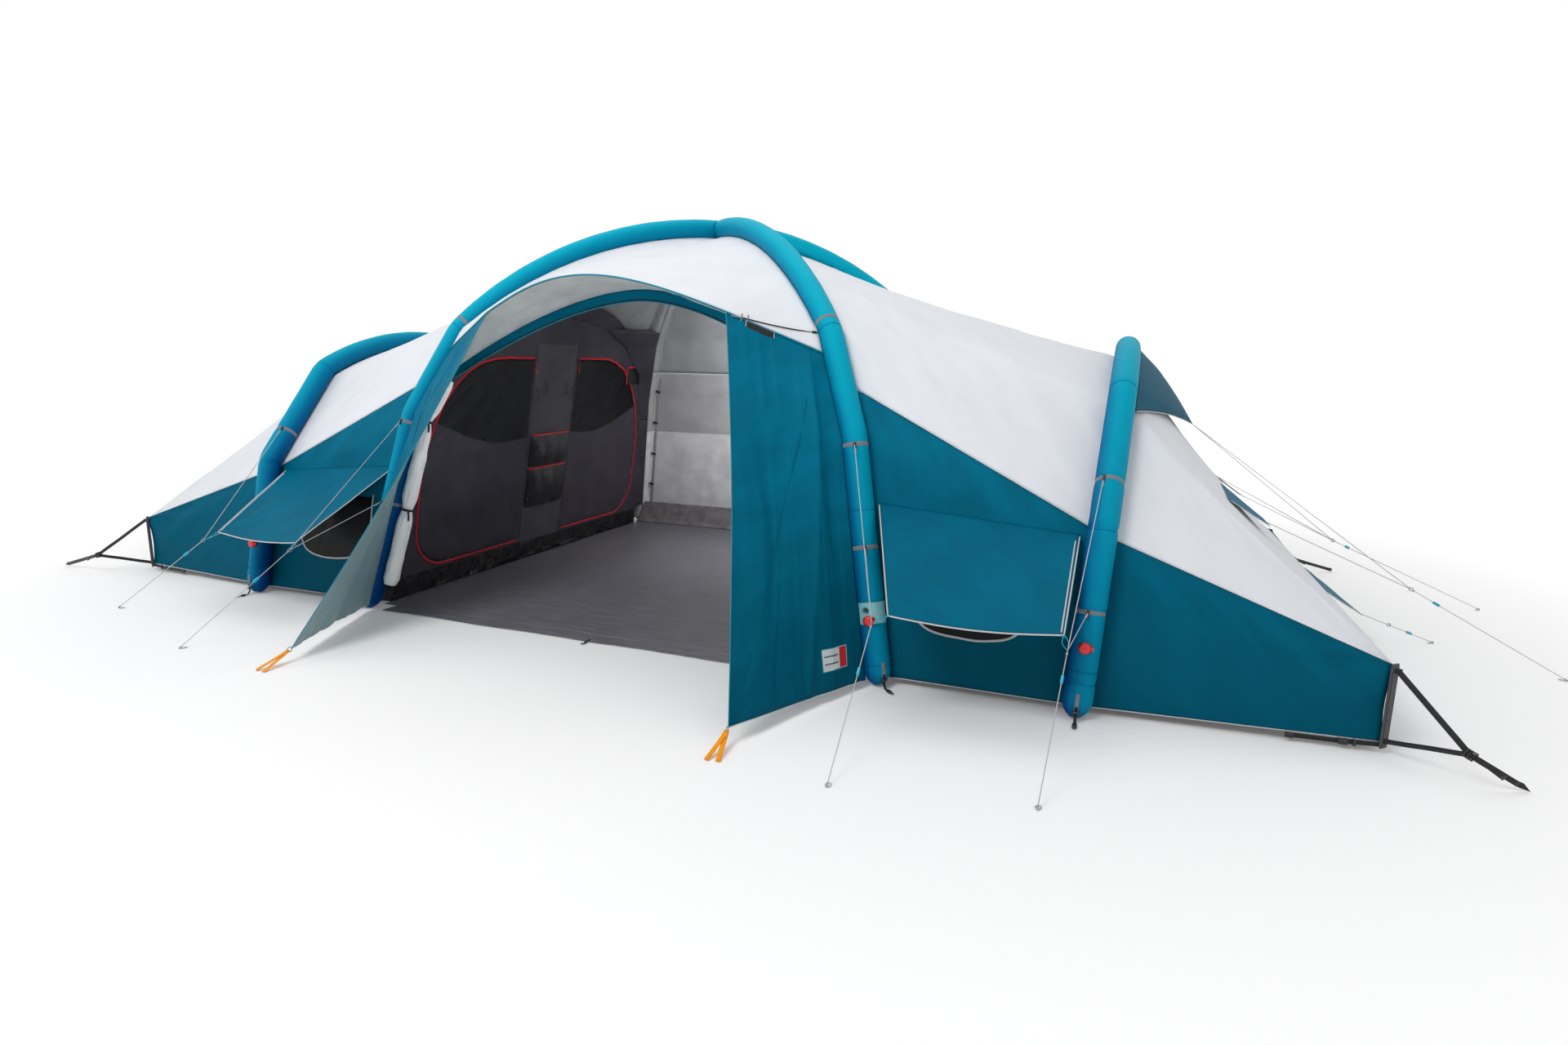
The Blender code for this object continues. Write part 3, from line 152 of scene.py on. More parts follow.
def add(tree, kind, inputs=None, **settings):
    node = tree.nodes.new(kind)
    for key, value in settings.items():
        setattr(node, key, value)
    for key, value in (inputs or {}).items():
        put(tree, node.inputs[key], value)
    return Node(tree, node)


def mixed(tree, factor, a, b):
    return add(tree, "ShaderNodeMix", {0: factor, 6: a, 7: b}, data_type="RGBA")[2]


def ramp(value, low, high, low_value=0.0, high_value=1.0):
    """The low value up to low, the high one from high, smooth in between."""
    range_map = {"Value": value, "From Min": low, "From Max": high, "To Min": low_value, "To Max": high_value}
    return add(value.tree, "ShaderNodeMapRange", range_map, interpolation_type="SMOOTHSTEP")["Result"]


# Stage, light and camera

LAMPS = (
    ("key", (-0.6, -6.2, 6.2), (0.2, 0, 0.7), 3.0, 215),
    ("fill", (-8.0, -4.5, 4.5), (-1.5, 0, 0.6), 5.0, 60),
    ("right_fill", (8.5, -4.0, 5.5), (1.5, 0, 0.6), 5.0, 24),
    ("top", (0.0, 1.0, 8.5), (0, 0, 0), 7.0, 160),
    ("through_back_wall", (0.30, 0.35, 1.55), (0.15, 1.6, 0.85), 0.7, 24),
    ("through_porch_roof", (-0.1, -1.2, 0.35), (0.0, -1.3, 1.9), 1.0, 6),
    ("through_room_wall", (0.1, -0.5, 1.5), (-1.5, 0, 0.8), 0.9, 5),
)
CAMERA_AT, CAMERA_TURN, CAMERA_LENS = (2.5152, -5.3595, 1.5173), (-0.362232, -0.189137, 0.0166557), 19.644
FLOOR_REACH, FLOOR_H, FLOOR_GLOW = 60, -0.001, (2.5, 9.0, 0.06, 0.62)


def make_stage():
    """A pale floor with a painted glow, faint near the tent and stronger far off, a white background for the
    camera and reflections, and soft lamps.
    """
    mesh = bpy.data.meshes.new("floor")
    corners = [(x * FLOOR_REACH, y * FLOOR_REACH, FLOOR_H) for x, y in ((-1, -1), (1, -1), (1, 1), (-1, 1))]
    mesh.from_pydata(corners, [], [(0, 1, 2, 3)])
    floor = bpy.data.objects.new("floor", mesh)
    scene = bpy.context.scene
    scene.collection.objects.link(floor)
    pale, tree, shader = start_material("pale_floor", 0.9, specular=0.1)
    shader.inputs["Base Color"].default_value = (0.90, 0.90, 0.90, 1)
    shader.inputs["Emission Color"].default_value = (1, 1, 1, 1)
    far = add(tree, "ShaderNodeVectorMath", {0: add(tree, "ShaderNodeTexCoord")["Object"]},
              operation="LENGTH")["Value"]
    # Painted light: the floor glows, faintly near the tent and more with distance.
    put(tree, shader.inputs["Emission Strength"], ramp(far, *FLOOR_GLOW))
    mesh.materials.append(pale)
    scene.world = bpy.data.worlds.new("studio")
    scene.world.use_nodes = True
    tree = scene.world.node_tree
    path = add(tree, "ShaderNodeLightPath")
    seen = path["Is Camera Ray"].reckon("MAXIMUM", path["Is Glossy Ray"])
    back = tree.nodes["Background"].inputs
    put(tree, back["Strength"], add(tree, "ShaderNodeMix", {0: seen, 2: 0.50, 3: 1.0}, data_type="FLOAT")[0])
    back["Color"].default_value = (1, 1, 1, 1)
    scene.view_settings.view_transform = "Standard"
    for name, place, target, size, power in LAMPS:
        data = bpy.data.lights.new(name, "AREA")
        data.shape, data.size, data.energy = "DISK", size, power
        lamp = bpy.data.objects.new(name, data)
        lamp.location, lamp.visible_camera = place, False
        lamp.rotation_euler = (Vector(target) - Vector(place)).to_track_quat("-Z", "Y").to_euler()
        scene.collection.objects.link(lamp)


def make_camera():
    """The photograph's view."""
    yaw, pitch, roll = CAMERA_TURN
    ahead = Vector((math.sin(yaw) * math.cos(pitch), math.cos(yaw) * math.cos(pitch), math.sin(pitch)))
    right = Vector((math.cos(yaw), -math.sin(yaw), 0))
    up = right.cross(ahead)
    side = math.cos(roll) * right + math.sin(roll) * up
    top = -math.sin(roll) * right + math.cos(roll) * up
    data = bpy.data.cameras.new("camera")
    data.sensor_width, data.lens = 36, CAMERA_LENS
    camera = bpy.data.objects.new("camera", data)
    camera.matrix_world = Matrix.Translation(CAMERA_AT) @ Matrix((side, top, -ahead)).transposed().to_4x4()
    bpy.context.scene.collection.objects.link(camera)
    bpy.context.scene.camera = camera


# Materials

def start_material(name, roughness, sheen=0.0, coat=0.0, specular=0.5):
    made = bpy.data.materials.new(name)
    made.use_nodes = True
    shader = made.node_tree.nodes["Principled BSDF"]
    for socket, value in (("Roughness", roughness), ("Sheen Weight", sheen), ("Sheen Roughness", 0.4),
                          ("Coat Weight", coat),
                          ("Coat Roughness", 0.25), ("Specular IOR Level", specular)):
        shader.inputs[socket].default_value = value
    return made, made.node_tree, shader


def new_group(name, inputs, outputs):
    group = bpy.data.node_groups.new(name, "ShaderNodeTree")
    for label, kind, value in inputs:
        socket = group.interface.new_socket(label, in_out="INPUT", socket_type=kind)
        if value is not None:
            socket.default_value = value
    for label in outputs:
        group.interface.new_socket(label, in_out="OUTPUT", socket_type="NodeSocketFloat")
    return group, add(group, "NodeGroupInput"), group.nodes.new("NodeGroupOutput").inputs


def make_weave():
    """Plain weave: two crossed sets of threads."""
    group, given, out = new_group(
        "weave", [("Vector", "NodeSocketVector", None), ("Threads", "NodeSocketFloat", 900.0)], ["Height"])
    xyz = add(group, "ShaderNodeSeparateXYZ", {0: given["Vector"]})
    warp, weft = ((xyz[k] * given["Threads"] * 6.283).reckon("SINE") for k in (0, 1))
    put(group, out["Height"], warp * weft)
    return group


def make_crumple():
    """Small creases of coated cloth: sharp lines between soft facets, and a broad shade."""
    group, given, out = new_group(
        "crumple", [("Vector", "NodeSocketVector", None), ("Scale", "NodeSocketFloat", 5.0),
         ("Stretch", "NodeSocketFloat", 1.0)],
        ["Height", "Shade"])
    xyz = add(group, "ShaderNodeSeparateXYZ", {0: given["Vector"]})
    where = add(group, "ShaderNodeCombineXYZ", {0: xyz[0], 1: xyz[1] * given["Stretch"], 2: xyz[2]})[0]
    broad = add(group, "ShaderNodeTexNoise", {"Vector": where, "Scale": given["Scale"], "Detail": 3.0})[0]
    fine = {"Vector": where, "Scale": given["Scale"] * 4.0, "Detail": 2.0, "Distortion": 0.6}
    lines = add(group, "ShaderNodeTexNoise", fine)[0]
    put(group, out["Height"], broad - (lines - 0.5).reckon("ABSOLUTE") * 0.7)
    put(group, out["Shade"], broad)
    return group


def make_seam():
    """A seam along a sheet's edge: a raised tape, puckers beside it, and two rows of stitches."""
    group, given, out = new_group(
        "seam", [("Edge", "NodeSocketFloat", 1.0), ("Vector", "NodeSocketVector", None),
                 ("Tape", "NodeSocketFloat", 0.014)],
        ["Height", "Stitch"])
    tape = 1.0 - ramp(given["Edge"] / given["Tape"], 0.9, 1.1)
    near = 1.0 - ramp(given["Edge"], 0.0, 0.11)
    waves = add(group, "ShaderNodeTexNoise", {"Vector": given["Vector"], "Scale": 38.0, "Detail": 1.0})[0]
    put(group, out["Height"], tape * 0.45 + (waves - 0.5) * near * 2.4)
    xyz = add(group, "ShaderNodeSeparateXYZ", {0: given["Vector"]})
    dash = ramp(((xyz[0] + xyz[1]) * 1500.0).reckon("SINE"), -0.2, 0.2)
    rows = [1.0 - ramp((given["Edge"] / given["Tape"] - place).reckon("ABSOLUTE"), 0.035, 0.07)
            for place in (0.30, 0.75)]
    put(group, out["Stitch"], rows[0].reckon("MAXIMUM", rows[1]) * dash)
    return group


WEAVE, CRUMPLE, SEAM = make_weave(), make_crumple(), make_seam()


def use(tree, group, **inputs):
    made = add(tree, "ShaderNodeGroup", node_tree=group)
    for key, value in inputs.items():
        put(tree, made.node.inputs[key], value)
    return made


def own_map(tree):
    return add(tree, "ShaderNodeUVMap", uv_map="cloth")[0]


def bumped(tree, shader, height, strength, distance=0.001):
    bump = add(tree, "ShaderNodeBump", {"Strength": strength, "Distance": distance, "Height": height})
    put(tree, shader.inputs["Normal"], bump["Normal"])


def tint(colour, by):
    return tuple(min(1.0, c * by) for c in colour[:3]) + (1.0,)


def fabric(name, colour, roughness=0.55, sheen=0.12, crumple=0.5, scale=5.0, stretch=1.0, shade=0.07,
           weave=0.10, stitch=0.6, specular=0.35, deepen=None):
    """Coated woven cloth, read in metres from the piece's own UV map; its last argument darkens it low down,
    a painted shade.
    """
    made, tree, shader = start_material(name, roughness, sheen, specular=specular)
    uv = own_map(tree)
    edge = add(tree, "ShaderNodeAttribute", attribute_name="edge")["Fac"]
    creased = use(tree, CRUMPLE, Vector=uv, Scale=scale, Stretch=stretch)
    sewn = use(tree, SEAM, Edge=edge, Vector=uv)
    base = mixed(tree, ramp(creased["Shade"], 0.3, 0.7), tint(colour, 1 - shade), tint(colour, 1 + shade))
    # Painted shade: the colour darkens towards the bottom of the piece.
    if deepen:
        z = add(tree, "ShaderNodeSeparateXYZ", {0: add(tree, "ShaderNodeTexCoord")["Object"]})[2]
        base = mixed(tree, ramp(creased["Shade"].reckon("MULTIPLY_ADD", 0.7, z), 0.25, 1.75),
                     tint(colour, deepen), base)
    put(tree, shader.inputs["Base Color"], mixed(tree, sewn["Stitch"] * stitch, base, tint(colour, 0.45)))
    put(tree, shader.inputs["Roughness"], creased["Shade"] * 0.16 + (roughness - 0.08))
    threads = use(tree, WEAVE, Vector=uv)
    bumped(tree, shader, creased["Height"] * (crumple * 4.0) + sewn["Height"] + threads["Height"] * weave,
           0.8)
    return made


def sleeve(name, high, low):
    """The air tubes' sleeve cloth with its light and shade painted in: turquoise above and where it faces up,
    outwards and forwards, and deeper blue low down, underneath and on its inner sides.
    """
    made, tree, shader = start_material(name, 0.5, specular=0.05)
    uv, where = own_map(tree), add(tree, "ShaderNodeTexCoord")
    place = add(tree, "ShaderNodeSeparateXYZ", {0: where["Object"]})
    ways = add(tree, "ShaderNodeSeparateXYZ", {0: where["Normal"]})
    # Painted light: the cloth is lighter where it faces up, outwards and forwards, and higher up.
    outward = place[0].reckon("SIGN") * ways[0] * 0.68
    facing_up = ways[2].reckon("MULTIPLY_ADD", 0.62, ways[1] * -0.22)
    turned = ramp(outward + facing_up, -0.70, 0.80)
    raised = ramp(place[2], 0.2, 2.3)
    creased = use(tree, CRUMPLE, Vector=uv, Scale=9.0, Stretch=0.35)
    threads = use(tree, WEAVE, Vector=uv, Threads=700.0)
    base = mixed(tree, turned.reckon("MULTIPLY_ADD", 0.55, raised * 0.48), low, high)
    put(tree, shader.inputs["Base Color"], mixed(tree, creased["Shade"] * 0.14, base, tint(low, 0.6)))
    bumped(tree, shader, creased["Height"] * 0.9 + threads["Height"] * 0.16, 0.6)
    return made


def webbing(name, colour, ribs=500.0, roughness=0.75):
    """Woven tape with ribs across it."""
    made, tree, shader = start_material(name, roughness, 0.2, specular=0.3)
    uv = own_map(tree)
    threads = use(tree, WEAVE, Vector=uv, Threads=ribs)["Height"]
    put(tree, shader.inputs["Base Color"],
        mixed(tree, ramp(threads, -1.0, 1.0), tint(colour, 0.75), tint(colour, 1.15)))
    bumped(tree, shader, threads + use(tree, CRUMPLE, Vector=uv, Scale=30.0)["Height"], 0.5, 0.0004)
    return made


def plastic(name, colour, roughness=0.35, coat=0.2):
    """Moulded plastic with a faint grain and small marks."""
    made, tree, shader = start_material(name, roughness, coat=coat)
    where = add(tree, "ShaderNodeTexCoord")["Object"]
    grain = add(tree, "ShaderNodeTexNoise", {"Vector": where, "Scale": 900.0, "Detail": 2.0})[0]
    marks = add(tree, "ShaderNodeTexNoise", {"Vector": where, "Scale": 60.0, "Detail": 4.0})[0]
    put(tree, shader.inputs["Base Color"], mixed(tree, ramp(marks, 0.35, 0.7), tint(colour, 0.85), colour))
    put(tree, shader.inputs["Roughness"], marks.reckon("MULTIPLY_ADD", 0.25, roughness - 0.1))
    bumped(tree, shader, grain, 0.25, 0.0002)
    return made


def braid(name, colour):
    """Braided cord: crossed strands that follow the cord's own UV map."""
    made, tree, shader = start_material(name, 0.7, 0.2, specular=0.3)
    turn = add(tree, "ShaderNodeMapping", {"Vector": own_map(tree), "Rotation": (0, 0, 0.7)})[0]
    strands = use(tree, WEAVE, Vector=turn, Threads=420.0)["Height"]
    put(tree, shader.inputs["Base Color"], mixed(tree, ramp(strands, -1.0, 1.0), tint(colour, 0.7), colour))
    bumped(tree, shader, strands, 0.8, 0.0004)
    return made


def netting(name, colour):
    """Fine dark mosquito mesh: tiny holes in a grid, over darkness behind."""
    made, tree, shader = start_material(name, 0.40, specular=0.28)
    uv = own_map(tree)
    holes = use(tree, WEAVE, Vector=uv, Threads=450.0)["Height"]
    creased = use(tree, CRUMPLE, Vector=uv, Scale=4.0, Stretch=0.5)
    dark = mixed(tree, ramp(creased["Shade"], 0.35, 0.65), tint(colour, 0.6), tint(colour, 1.5))
    put(tree, shader.inputs["Base Color"], mixed(tree, ramp(holes, 0.0, 0.6), dark, tint(colour, 0.3)))
    bumped(tree, shader, creased["Height"] * 2.5 + holes * 0.3, 0.7)
    return made


def pierced(name, colour, dot):
    """A pale wrap pierced by rows of round holes."""
    made, tree, shader = start_material(name, 0.5, 0.1)
    grid = add(tree, "ShaderNodeTexVoronoi", {"Vector": own_map(tree), "Scale": 150.0, "Randomness": 0.0})
    hole = 1.0 - ramp(grid["Distance"], 0.22, 0.30)
    put(tree, shader.inputs["Base Color"], mixed(tree, hole, colour, dot))
    bumped(tree, shader, 1.0 - hole, 0.5, 0.0005)
    return made


def see_through_wall(name, colour):
    """The back wall's shiny inner face: its upper part is darker, and the light that comes through one end of
    it is painted in there.
    """
    made = fabric(name, colour, roughness=0.42, crumple=1.0, scale=6.0, shade=0.1, specular=0.6)
    tree = made.node_tree
    shader = tree.nodes["Principled BSDF"]
    base = Value(tree, shader.inputs["Base Color"].links[0].from_socket)
    place = add(tree, "ShaderNodeTexCoord")["Object"]
    xyz = add(tree, "ShaderNodeSeparateXYZ", {0: place})
    wander = add(tree, "ShaderNodeTexNoise", {"Vector": place, "Scale": 3.0, "Detail": 2.0})[0]
    upper = ramp(xyz[2], 0.853, 0.857)
    # Painted light: towards one end the upper part is darkened less.
    side = ramp(xyz[0] + wander * 0.12, -0.12, 0.02)
    put(tree, shader.inputs["Base Color"],
        mixed(tree, upper * (0.62 - side * 0.42), base, tint(colour, 0.30)))
    return made


def matt_teal(name, by, roughness=0.5, **more):
    return fabric(name, tint(TEAL, by), roughness, 0.0, stitch=0.5, specular=0.04, **more)


TEAL, WHITE = (0.0, 0.140, 0.235, 1), (0.74, 0.76, 0.80, 1)
MAT = {
    "white": fabric("roof_white", WHITE, 0.55, 0.05, crumple=0.5, scale=3.0, stretch=1.4, shade=0.025,
                    stitch=0.25),
    "grey_inside": fabric("inside_grey", (0.30, 0.31, 0.32, 1), 0.5, 0.05, crumple=0.7, stitch=0.3),
    # The wall teal carries painted shade that darkens it low down.
    "teal": matt_teal("wall_teal", 1, roughness=0.52, crumple=1.6, scale=3.0, stretch=1.8, shade=0.10,
                      deepen=0.62),
    "flap": matt_teal("flap_teal", 0.88, crumple=1.2, scale=4.0, shade=0.09),
    "hood": matt_teal("hood_teal", 0.60, crumple=1.0, shade=0.08),
    "back_inside": see_through_wall("back_wall_inside", (0.70, 0.70, 0.71, 1)),
    "porch_grey": fabric("porch_inside_grey", (0.20, 0.34, 0.37, 1), 0.45, 0.15, crumple=0.6, scale=3.0,
                         stretch=0.4, specular=0.5),
    "ceiling": fabric("porch_ceiling_grey", (0.50, 0.53, 0.54, 1), 0.5, 0.05, crumple=0.8, shade=0.10),
    "roll": fabric("door_roll_white", (0.98, 0.99, 1.0, 1), 0.6, 0.1, crumple=1.4, scale=9.0, shade=0.06),
    "room": fabric("room_dark", (0.044, 0.040, 0.054, 1), 0.6, 0.05, crumple=0.8, shade=0.15, specular=0.3),
    "room_strip": fabric("room_strip", (0.060, 0.056, 0.068, 1), 0.6, crumple=0.6, scale=6.0, shade=0.12),
    "room_black": fabric("room_skirting_black", (0.008, 0.008, 0.009, 1), 0.28, 0.0, crumple=2.4, scale=16.0,
                         shade=0.3, specular=0.6),
    "net": netting("mosquito_mesh", (0.004, 0.005, 0.008, 1)),
    "pocket": fabric("pocket_black", (0.006, 0.006, 0.008, 1), 0.3, 0.0, crumple=1.6, scale=9.0, shade=0.2,
                     specular=0.6),
    "floor": fabric("ground_sheet_grey", (0.178, 0.172, 0.196, 1), 0.33, 0.0, crumple=2.6, stretch=6.0,
                    shade=0.17, weave=0.05, specular=0.6, stitch=0.0),
    "upstand": fabric("ground_sheet_edge", (0.22, 0.205, 0.215, 1), 0.4, 0.0, crumple=2.2, scale=12.0,
                      shade=0.2, specular=0.6),
    "window": fabric("window_dark", (0.003, 0.004, 0.005, 1), 0.35, 0.0, crumple=0.4, scale=4.0, stitch=0.0,
                     weave=0.0, specular=0.15),
    # The tube colours are painted light: a lit turquoise, then a shaded deep blue.
    "tube": sleeve("tube_sleeve", (0.0, 0.43, 0.58, 1), (0.0, 0.050, 0.22, 1)),
    "tube_foot": sleeve("tube_foot", (0.0, 0.20, 0.42, 1), (0.0, 0.10, 0.30, 1)),
    "band": webbing("band_grey", (0.21, 0.21, 0.24, 1)),
    "tape_light": webbing("inner_strip_grey", (0.30, 0.30, 0.32, 1), 350.0),
    "tape": webbing("corner_tape", (0.072, 0.072, 0.082, 1), 350.0),
    "strap": webbing("black_webbing", (0.010, 0.011, 0.012, 1), 420.0, 0.6),
    "orange": webbing("orange_webbing", (1.0, 0.33, 0.0, 1), 420.0),
    "piping": webbing("edge_piping", (0.60, 0.60, 0.61, 1), 700.0),
    "teal_piping": webbing("teal_piping", (0.0, 0.26, 0.36, 1), 700.0),
    "zip": webbing("red_zip", (0.80, 0.008, 0.020, 1), 600.0, 0.5),
    "black": plastic("black_plastic", (0.012, 0.012, 0.013, 1)),
    "red": plastic("red_plastic", (0.78, 0.010, 0.018, 1), 0.3, 0.4),
    "cyan": plastic("cyan_plastic", (0.0, 0.42, 0.62, 1), 0.35),
    "grey_plastic": plastic("grey_plastic", (0.25, 0.25, 0.26, 1)),
    "cord": braid("guy_cord", (0.62, 0.62, 0.61, 1)),
    "cyan_cord": braid("cyan_cord", (0.0, 0.45, 0.62, 1)),
    "black_cord": braid("black_cord", (0.010, 0.010, 0.011, 1)),
    "patch": pierced("pierced_wrap", (0.27, 0.60, 0.63, 1), (0.02, 0.20, 0.30, 1)),
    "badge": plastic("badge_dark", (0.01, 0.06, 0.09, 1)),
    "thread": plastic("thread_grey", (0.42, 0.42, 0.43, 1), 0.75, 0.0),
    "dark_thread": plastic("thread_teal", (0.0, 0.05, 0.09, 1), 0.75, 0.0),
    "tooth": plastic("zip_tooth_red", (0.62, 0.006, 0.016, 1), 0.4, 0.1),
    "red_cloth": fabric("patch_red", (0.55, 0.012, 0.020, 1), 0.5, crumple=0.2, scale=20.0),
    "roll_patch": fabric("patch_pale", (0.62, 0.68, 0.70, 1), 0.5, crumple=0.2, scale=20.0),
}
make_stage()
make_camera()


# Lines and rows of points

class Line:
    """A polyline that is read by its length fraction or by a height."""

    def __init__(self, points):
        self.points = np.array(points, float)
        steps = np.linalg.norm(np.diff(self.points, axis=0), axis=1)
        self.length = np.concatenate([[0.0], np.cumsum(steps)])

    def at(self, fraction):
        where = np.asarray(fraction) * self.length[-1]
        return np.stack([np.interp(where, self.length, self.points[:, k]) for k in range(3)], axis=-1)

    def at_height(self, height):
        return np.interp(height, self.points[:, 2], self.length) / self.length[-1]

    def from_height(self, height, k):
        """Points from a height, k = 0, up to the line's end, k = 1."""
        low = self.at_height(height)
        return self.at(low + (1 - low) * k)

    def between_heights(self, low, high, k):
        low = self.at_height(low)
        return self.at(low + (self.at_height(high) - low) * k)

    def down_to(self, height, k):
        """Points from the line's end, k = 0, down to a height, k = 1."""
        return self.at(1 - (1 - self.at_height(height)) * k)


def mirrored(points, sx=1, sy=1):
    return np.array(points, float) * np.array((sx, sy, 1))


def both_halves(points):
    """A line and its mirror image over y, joined at the line's end."""
    points = list(np.array(points, float))
    return points + [p * (1, -1, 1) for p in points[-2::-1]]


def blend(a, b, w):
    return np.array(a, float) * (1 - w) + np.array(b, float) * w


def unit(way):
    """A direction, or rows of directions, one long."""
    way = np.array(way, float)
    return way / np.linalg.norm(way, axis=-1, keepdims=True)


def arch_profile(foot, knee_low, knee_high, apex_h, arc_steps=12):
    out, high = knee_high
    radius = (out * out + (apex_h - high) ** 2) / (2 * (apex_h - high))
    start = math.atan2(out, high - (apex_h - radius))
    arc = [(radius * math.sin(a), apex_h - radius + radius * math.cos(a))
           for a in np.linspace(start, 0, arc_steps)]
    return [(foot, FOOT_H), knee_low] + arc


def leg_axis():
    reach = math.hypot(*LEG_FOOT)
    east, north = LEG_FOOT[0] / reach, LEG_FOOT[1] / reach
    profile = arch_profile(reach, LEG_KNEE_LOW, LEG_KNEE_HIGH, CROSS_H)
    return [(s * east, s * north, z) for s, z in profile]


def wing_axis(arc_steps=12):
    pairs = arch_profile(WING_FOOT_Y, WING_KNEE_LOW, WING_KNEE_HIGH, WING_APEX_H, arc_steps)
    return [(WING_X + WING_LEAN * z, -s, z) for s, z in pairs]


def outward_normals(points):
    """Mitred normals of a line in its upright plane, away from the inside, and the plane's normal."""
    points = np.array(points, float)
    flat = (points[0] - points[-1]) * (1, 1, 0)
    across = np.cross(flat / np.linalg.norm(flat), (0, 0, 1))
    square = unit(np.cross(across, unit(np.diff(points, axis=0))))
    square *= np.sign(square[-1][2])
    after = np.vstack([square, square[-1:]])
    normals = unit(np.vstack([square[:1], square]) + after)
    return normals / (normals * after).sum(axis=1)[:, None], across


def leg_lines(side):
    """Where cloth meets a centre leg: the flank, then three tucks round the tube's inner side."""
    points = np.array(leg_axis())
    normals, across = outward_normals(points)
    if across[0] * side < 0:
        across = -across
    rise = np.clip((points[:, 2] - LEG_KNEE_HIGH[1]) / (CROSS_H - LEG_KNEE_HIGH[1]), 0, 1)
    reach = TUBE_R + CLOTH / 2 + TOUCH + 0.003 * np.sin(np.pi * rise)[:, None]
    wide = 90 - 55 * rise
    narrow = math.degrees(math.asin(EDGE_GAP / TUBE_R))
    stay = np.clip((1 - rise) * 3, 0, 1)

    def line_for(tuck):
        turn = np.radians(wide + (narrow - wide) * tuck * stay)[:, None]
        return points + (reach + 0.003 * min(1, tuck * 3)) * (np.sin(turn) * across - np.cos(turn) * normals)

    flank = line_for(0)
    coord = flank[:, 0] if side < 0 else -flank[:, 1]
    last = int(np.argmax(coord <= EDGE_GAP))
    part = (coord[last - 1] - EDGE_GAP) / (coord[last - 1] - coord[last])
    end = flank[last - 1] + part * (flank[last] - flank[last - 1])
    end[1 if side > 0 else 0] = 0
    return [Line(list(line_for(tuck)[:last]) + [end]) for tuck in (0, 1.0, 0.67, 0.33)]


def under_wing_arch():
    points = np.array(wing_axis())
    return Line(points - (TUBE_R + CLOTH / 2 + 0.0014) * outward_normals(points)[0])


LEGS, DOOR_LEGS, ARCH = leg_lines(1), leg_lines(-1), under_wing_arch()
FLANK, *TUCKS = DOOR_LEGS


def clear_of_tubes(points, gap):
    """Points that lie in a centre tube, or nearer to it than the gap, moved straight out of it."""
    points = np.array(points, float)
    flat = points.reshape(-1, 3)
    turn = np.where(flat < 0, -1.0, 1.0) * (1, -1, 1)
    turn[:, 2] = 1
    own = flat * turn
    nearest, foot = np.full(len(own), np.inf), np.zeros_like(own)
    axis = np.array(leg_axis())
    for a, b in zip(axis[:-1], axis[1:]):
        along = b - a
        on = a + np.clip((own - a) @ along / (along @ along), 0, 1)[:, None] * along
        far = np.linalg.norm(own - on, axis=1)
        closer = far < nearest
        nearest[closer], foot[closer] = far[closer], on[closer]
    inside = (nearest < TUBE_R + gap) & (nearest > TUBE_R / 3)
    own[inside] = foot[inside] + (own[inside] - foot[inside]) / nearest[inside][:, None] * (TUBE_R + gap)
    flat[:] = own * turn
    return points


def spans(start, end, count, sag=0.0):
    """Rows from one row to another, the first left out, that hang between them."""
    out = []
    for w in np.linspace(0, 1, count + 1)[1:]:
        row = blend(start, end, w)
        row[:, 2] -= sag * (4 * w * (1 - w))
        out.append(row)
    return out


def roof_rows(columns, bays, end_bays):
    """The white side roof and wing roof, from the centre legs over the wing arch to the low end."""
    arch_low = ARCH.at_height(SPLIT_WING_H)
    hip = (ARCH.at_height(HIP_WING_H) - arch_low) / (1 - arch_low)
    f = np.linspace(0, 1, columns)
    near, far = LEGS[0].from_height(SPLIT_LEG_H, f), ARCH.from_height(SPLIT_WING_H, f)
    along = np.clip((f - hip) / (1 - hip), 0, None)
    low = np.stack([np.full(columns, END_X), -END_Y * (1 - along), np.full(columns, END_TOP)], axis=1)
    lift = np.clip(along * 2.5, 0, 1)
    rows = [tuck.at(np.linspace(tuck.at_height(SPLIT_LEG_H), 1, columns)) for tuck in LEGS[1:]] + [near]
    rows += spans(near, far, bays, RIDGE_SAG * f) + spans(far, low, end_bays, END_SAG * lift)
    rows = np.array(rows)
    return np.concatenate([rows, mirrored(rows[:, :-1][:, ::-1], 1, -1)], axis=1)


def skirt_rows(steps, bays, wing_bays, end_half):
    """The dark lower wall: centre leg, wing arch, front post, low end, and back the same way."""
    v = np.linspace(0, 1, steps + 1)
    leg = LEGS[0].between_heights(HEM_H, SPLIT_LEG_H, v)
    arch = ARCH.between_heights(HEM_H, SPLIT_WING_H, v)
    post = np.stack([np.full(steps + 1, END_X), np.full(steps + 1, -END_Y),
                     END_BOTTOM + (END_TOP - END_BOTTOM) * v], 1)
    front = [tuck.between_heights(HEM_H, SPLIT_LEG_H, v) for tuck in LEGS[1:]] + [leg]
    front += spans(leg, arch, bays) + spans(arch, post, wing_bays) + spans(post, post * (1, 0, 1), end_half)
    front = np.array(front)
    front[:, -1, 2] -= EDGE_GAP
    return np.concatenate([front, mirrored(front[:-1][::-1], 1, -1)])


def canopy_edge(u):
    """The lower edge of the front roof, u from -1 at the left leg over the two canopy corners to 1."""
    corner, side = np.array(CANOPY_CORNER), abs(u)
    if side > 0.6:
        point = blend(corner, FLANK.at(FLANK.at_height(CANOPY_JOIN_H)), (side - 0.6) / 0.4)
    else:
        point = corner + (np.array(CANOPY_FRONT) - corner) * math.cos(side / 0.6 * math.pi / 2)
        point[0] = corner[0] * side / 0.6
    return mirrored(point, 1 if u >= 0 else -1)


def wrapped(row, tucks):
    """A row with the tucks round both centre legs at its ends."""
    return [mirrored(p, -1) for p in tucks] + list(row) + tucks[::-1]


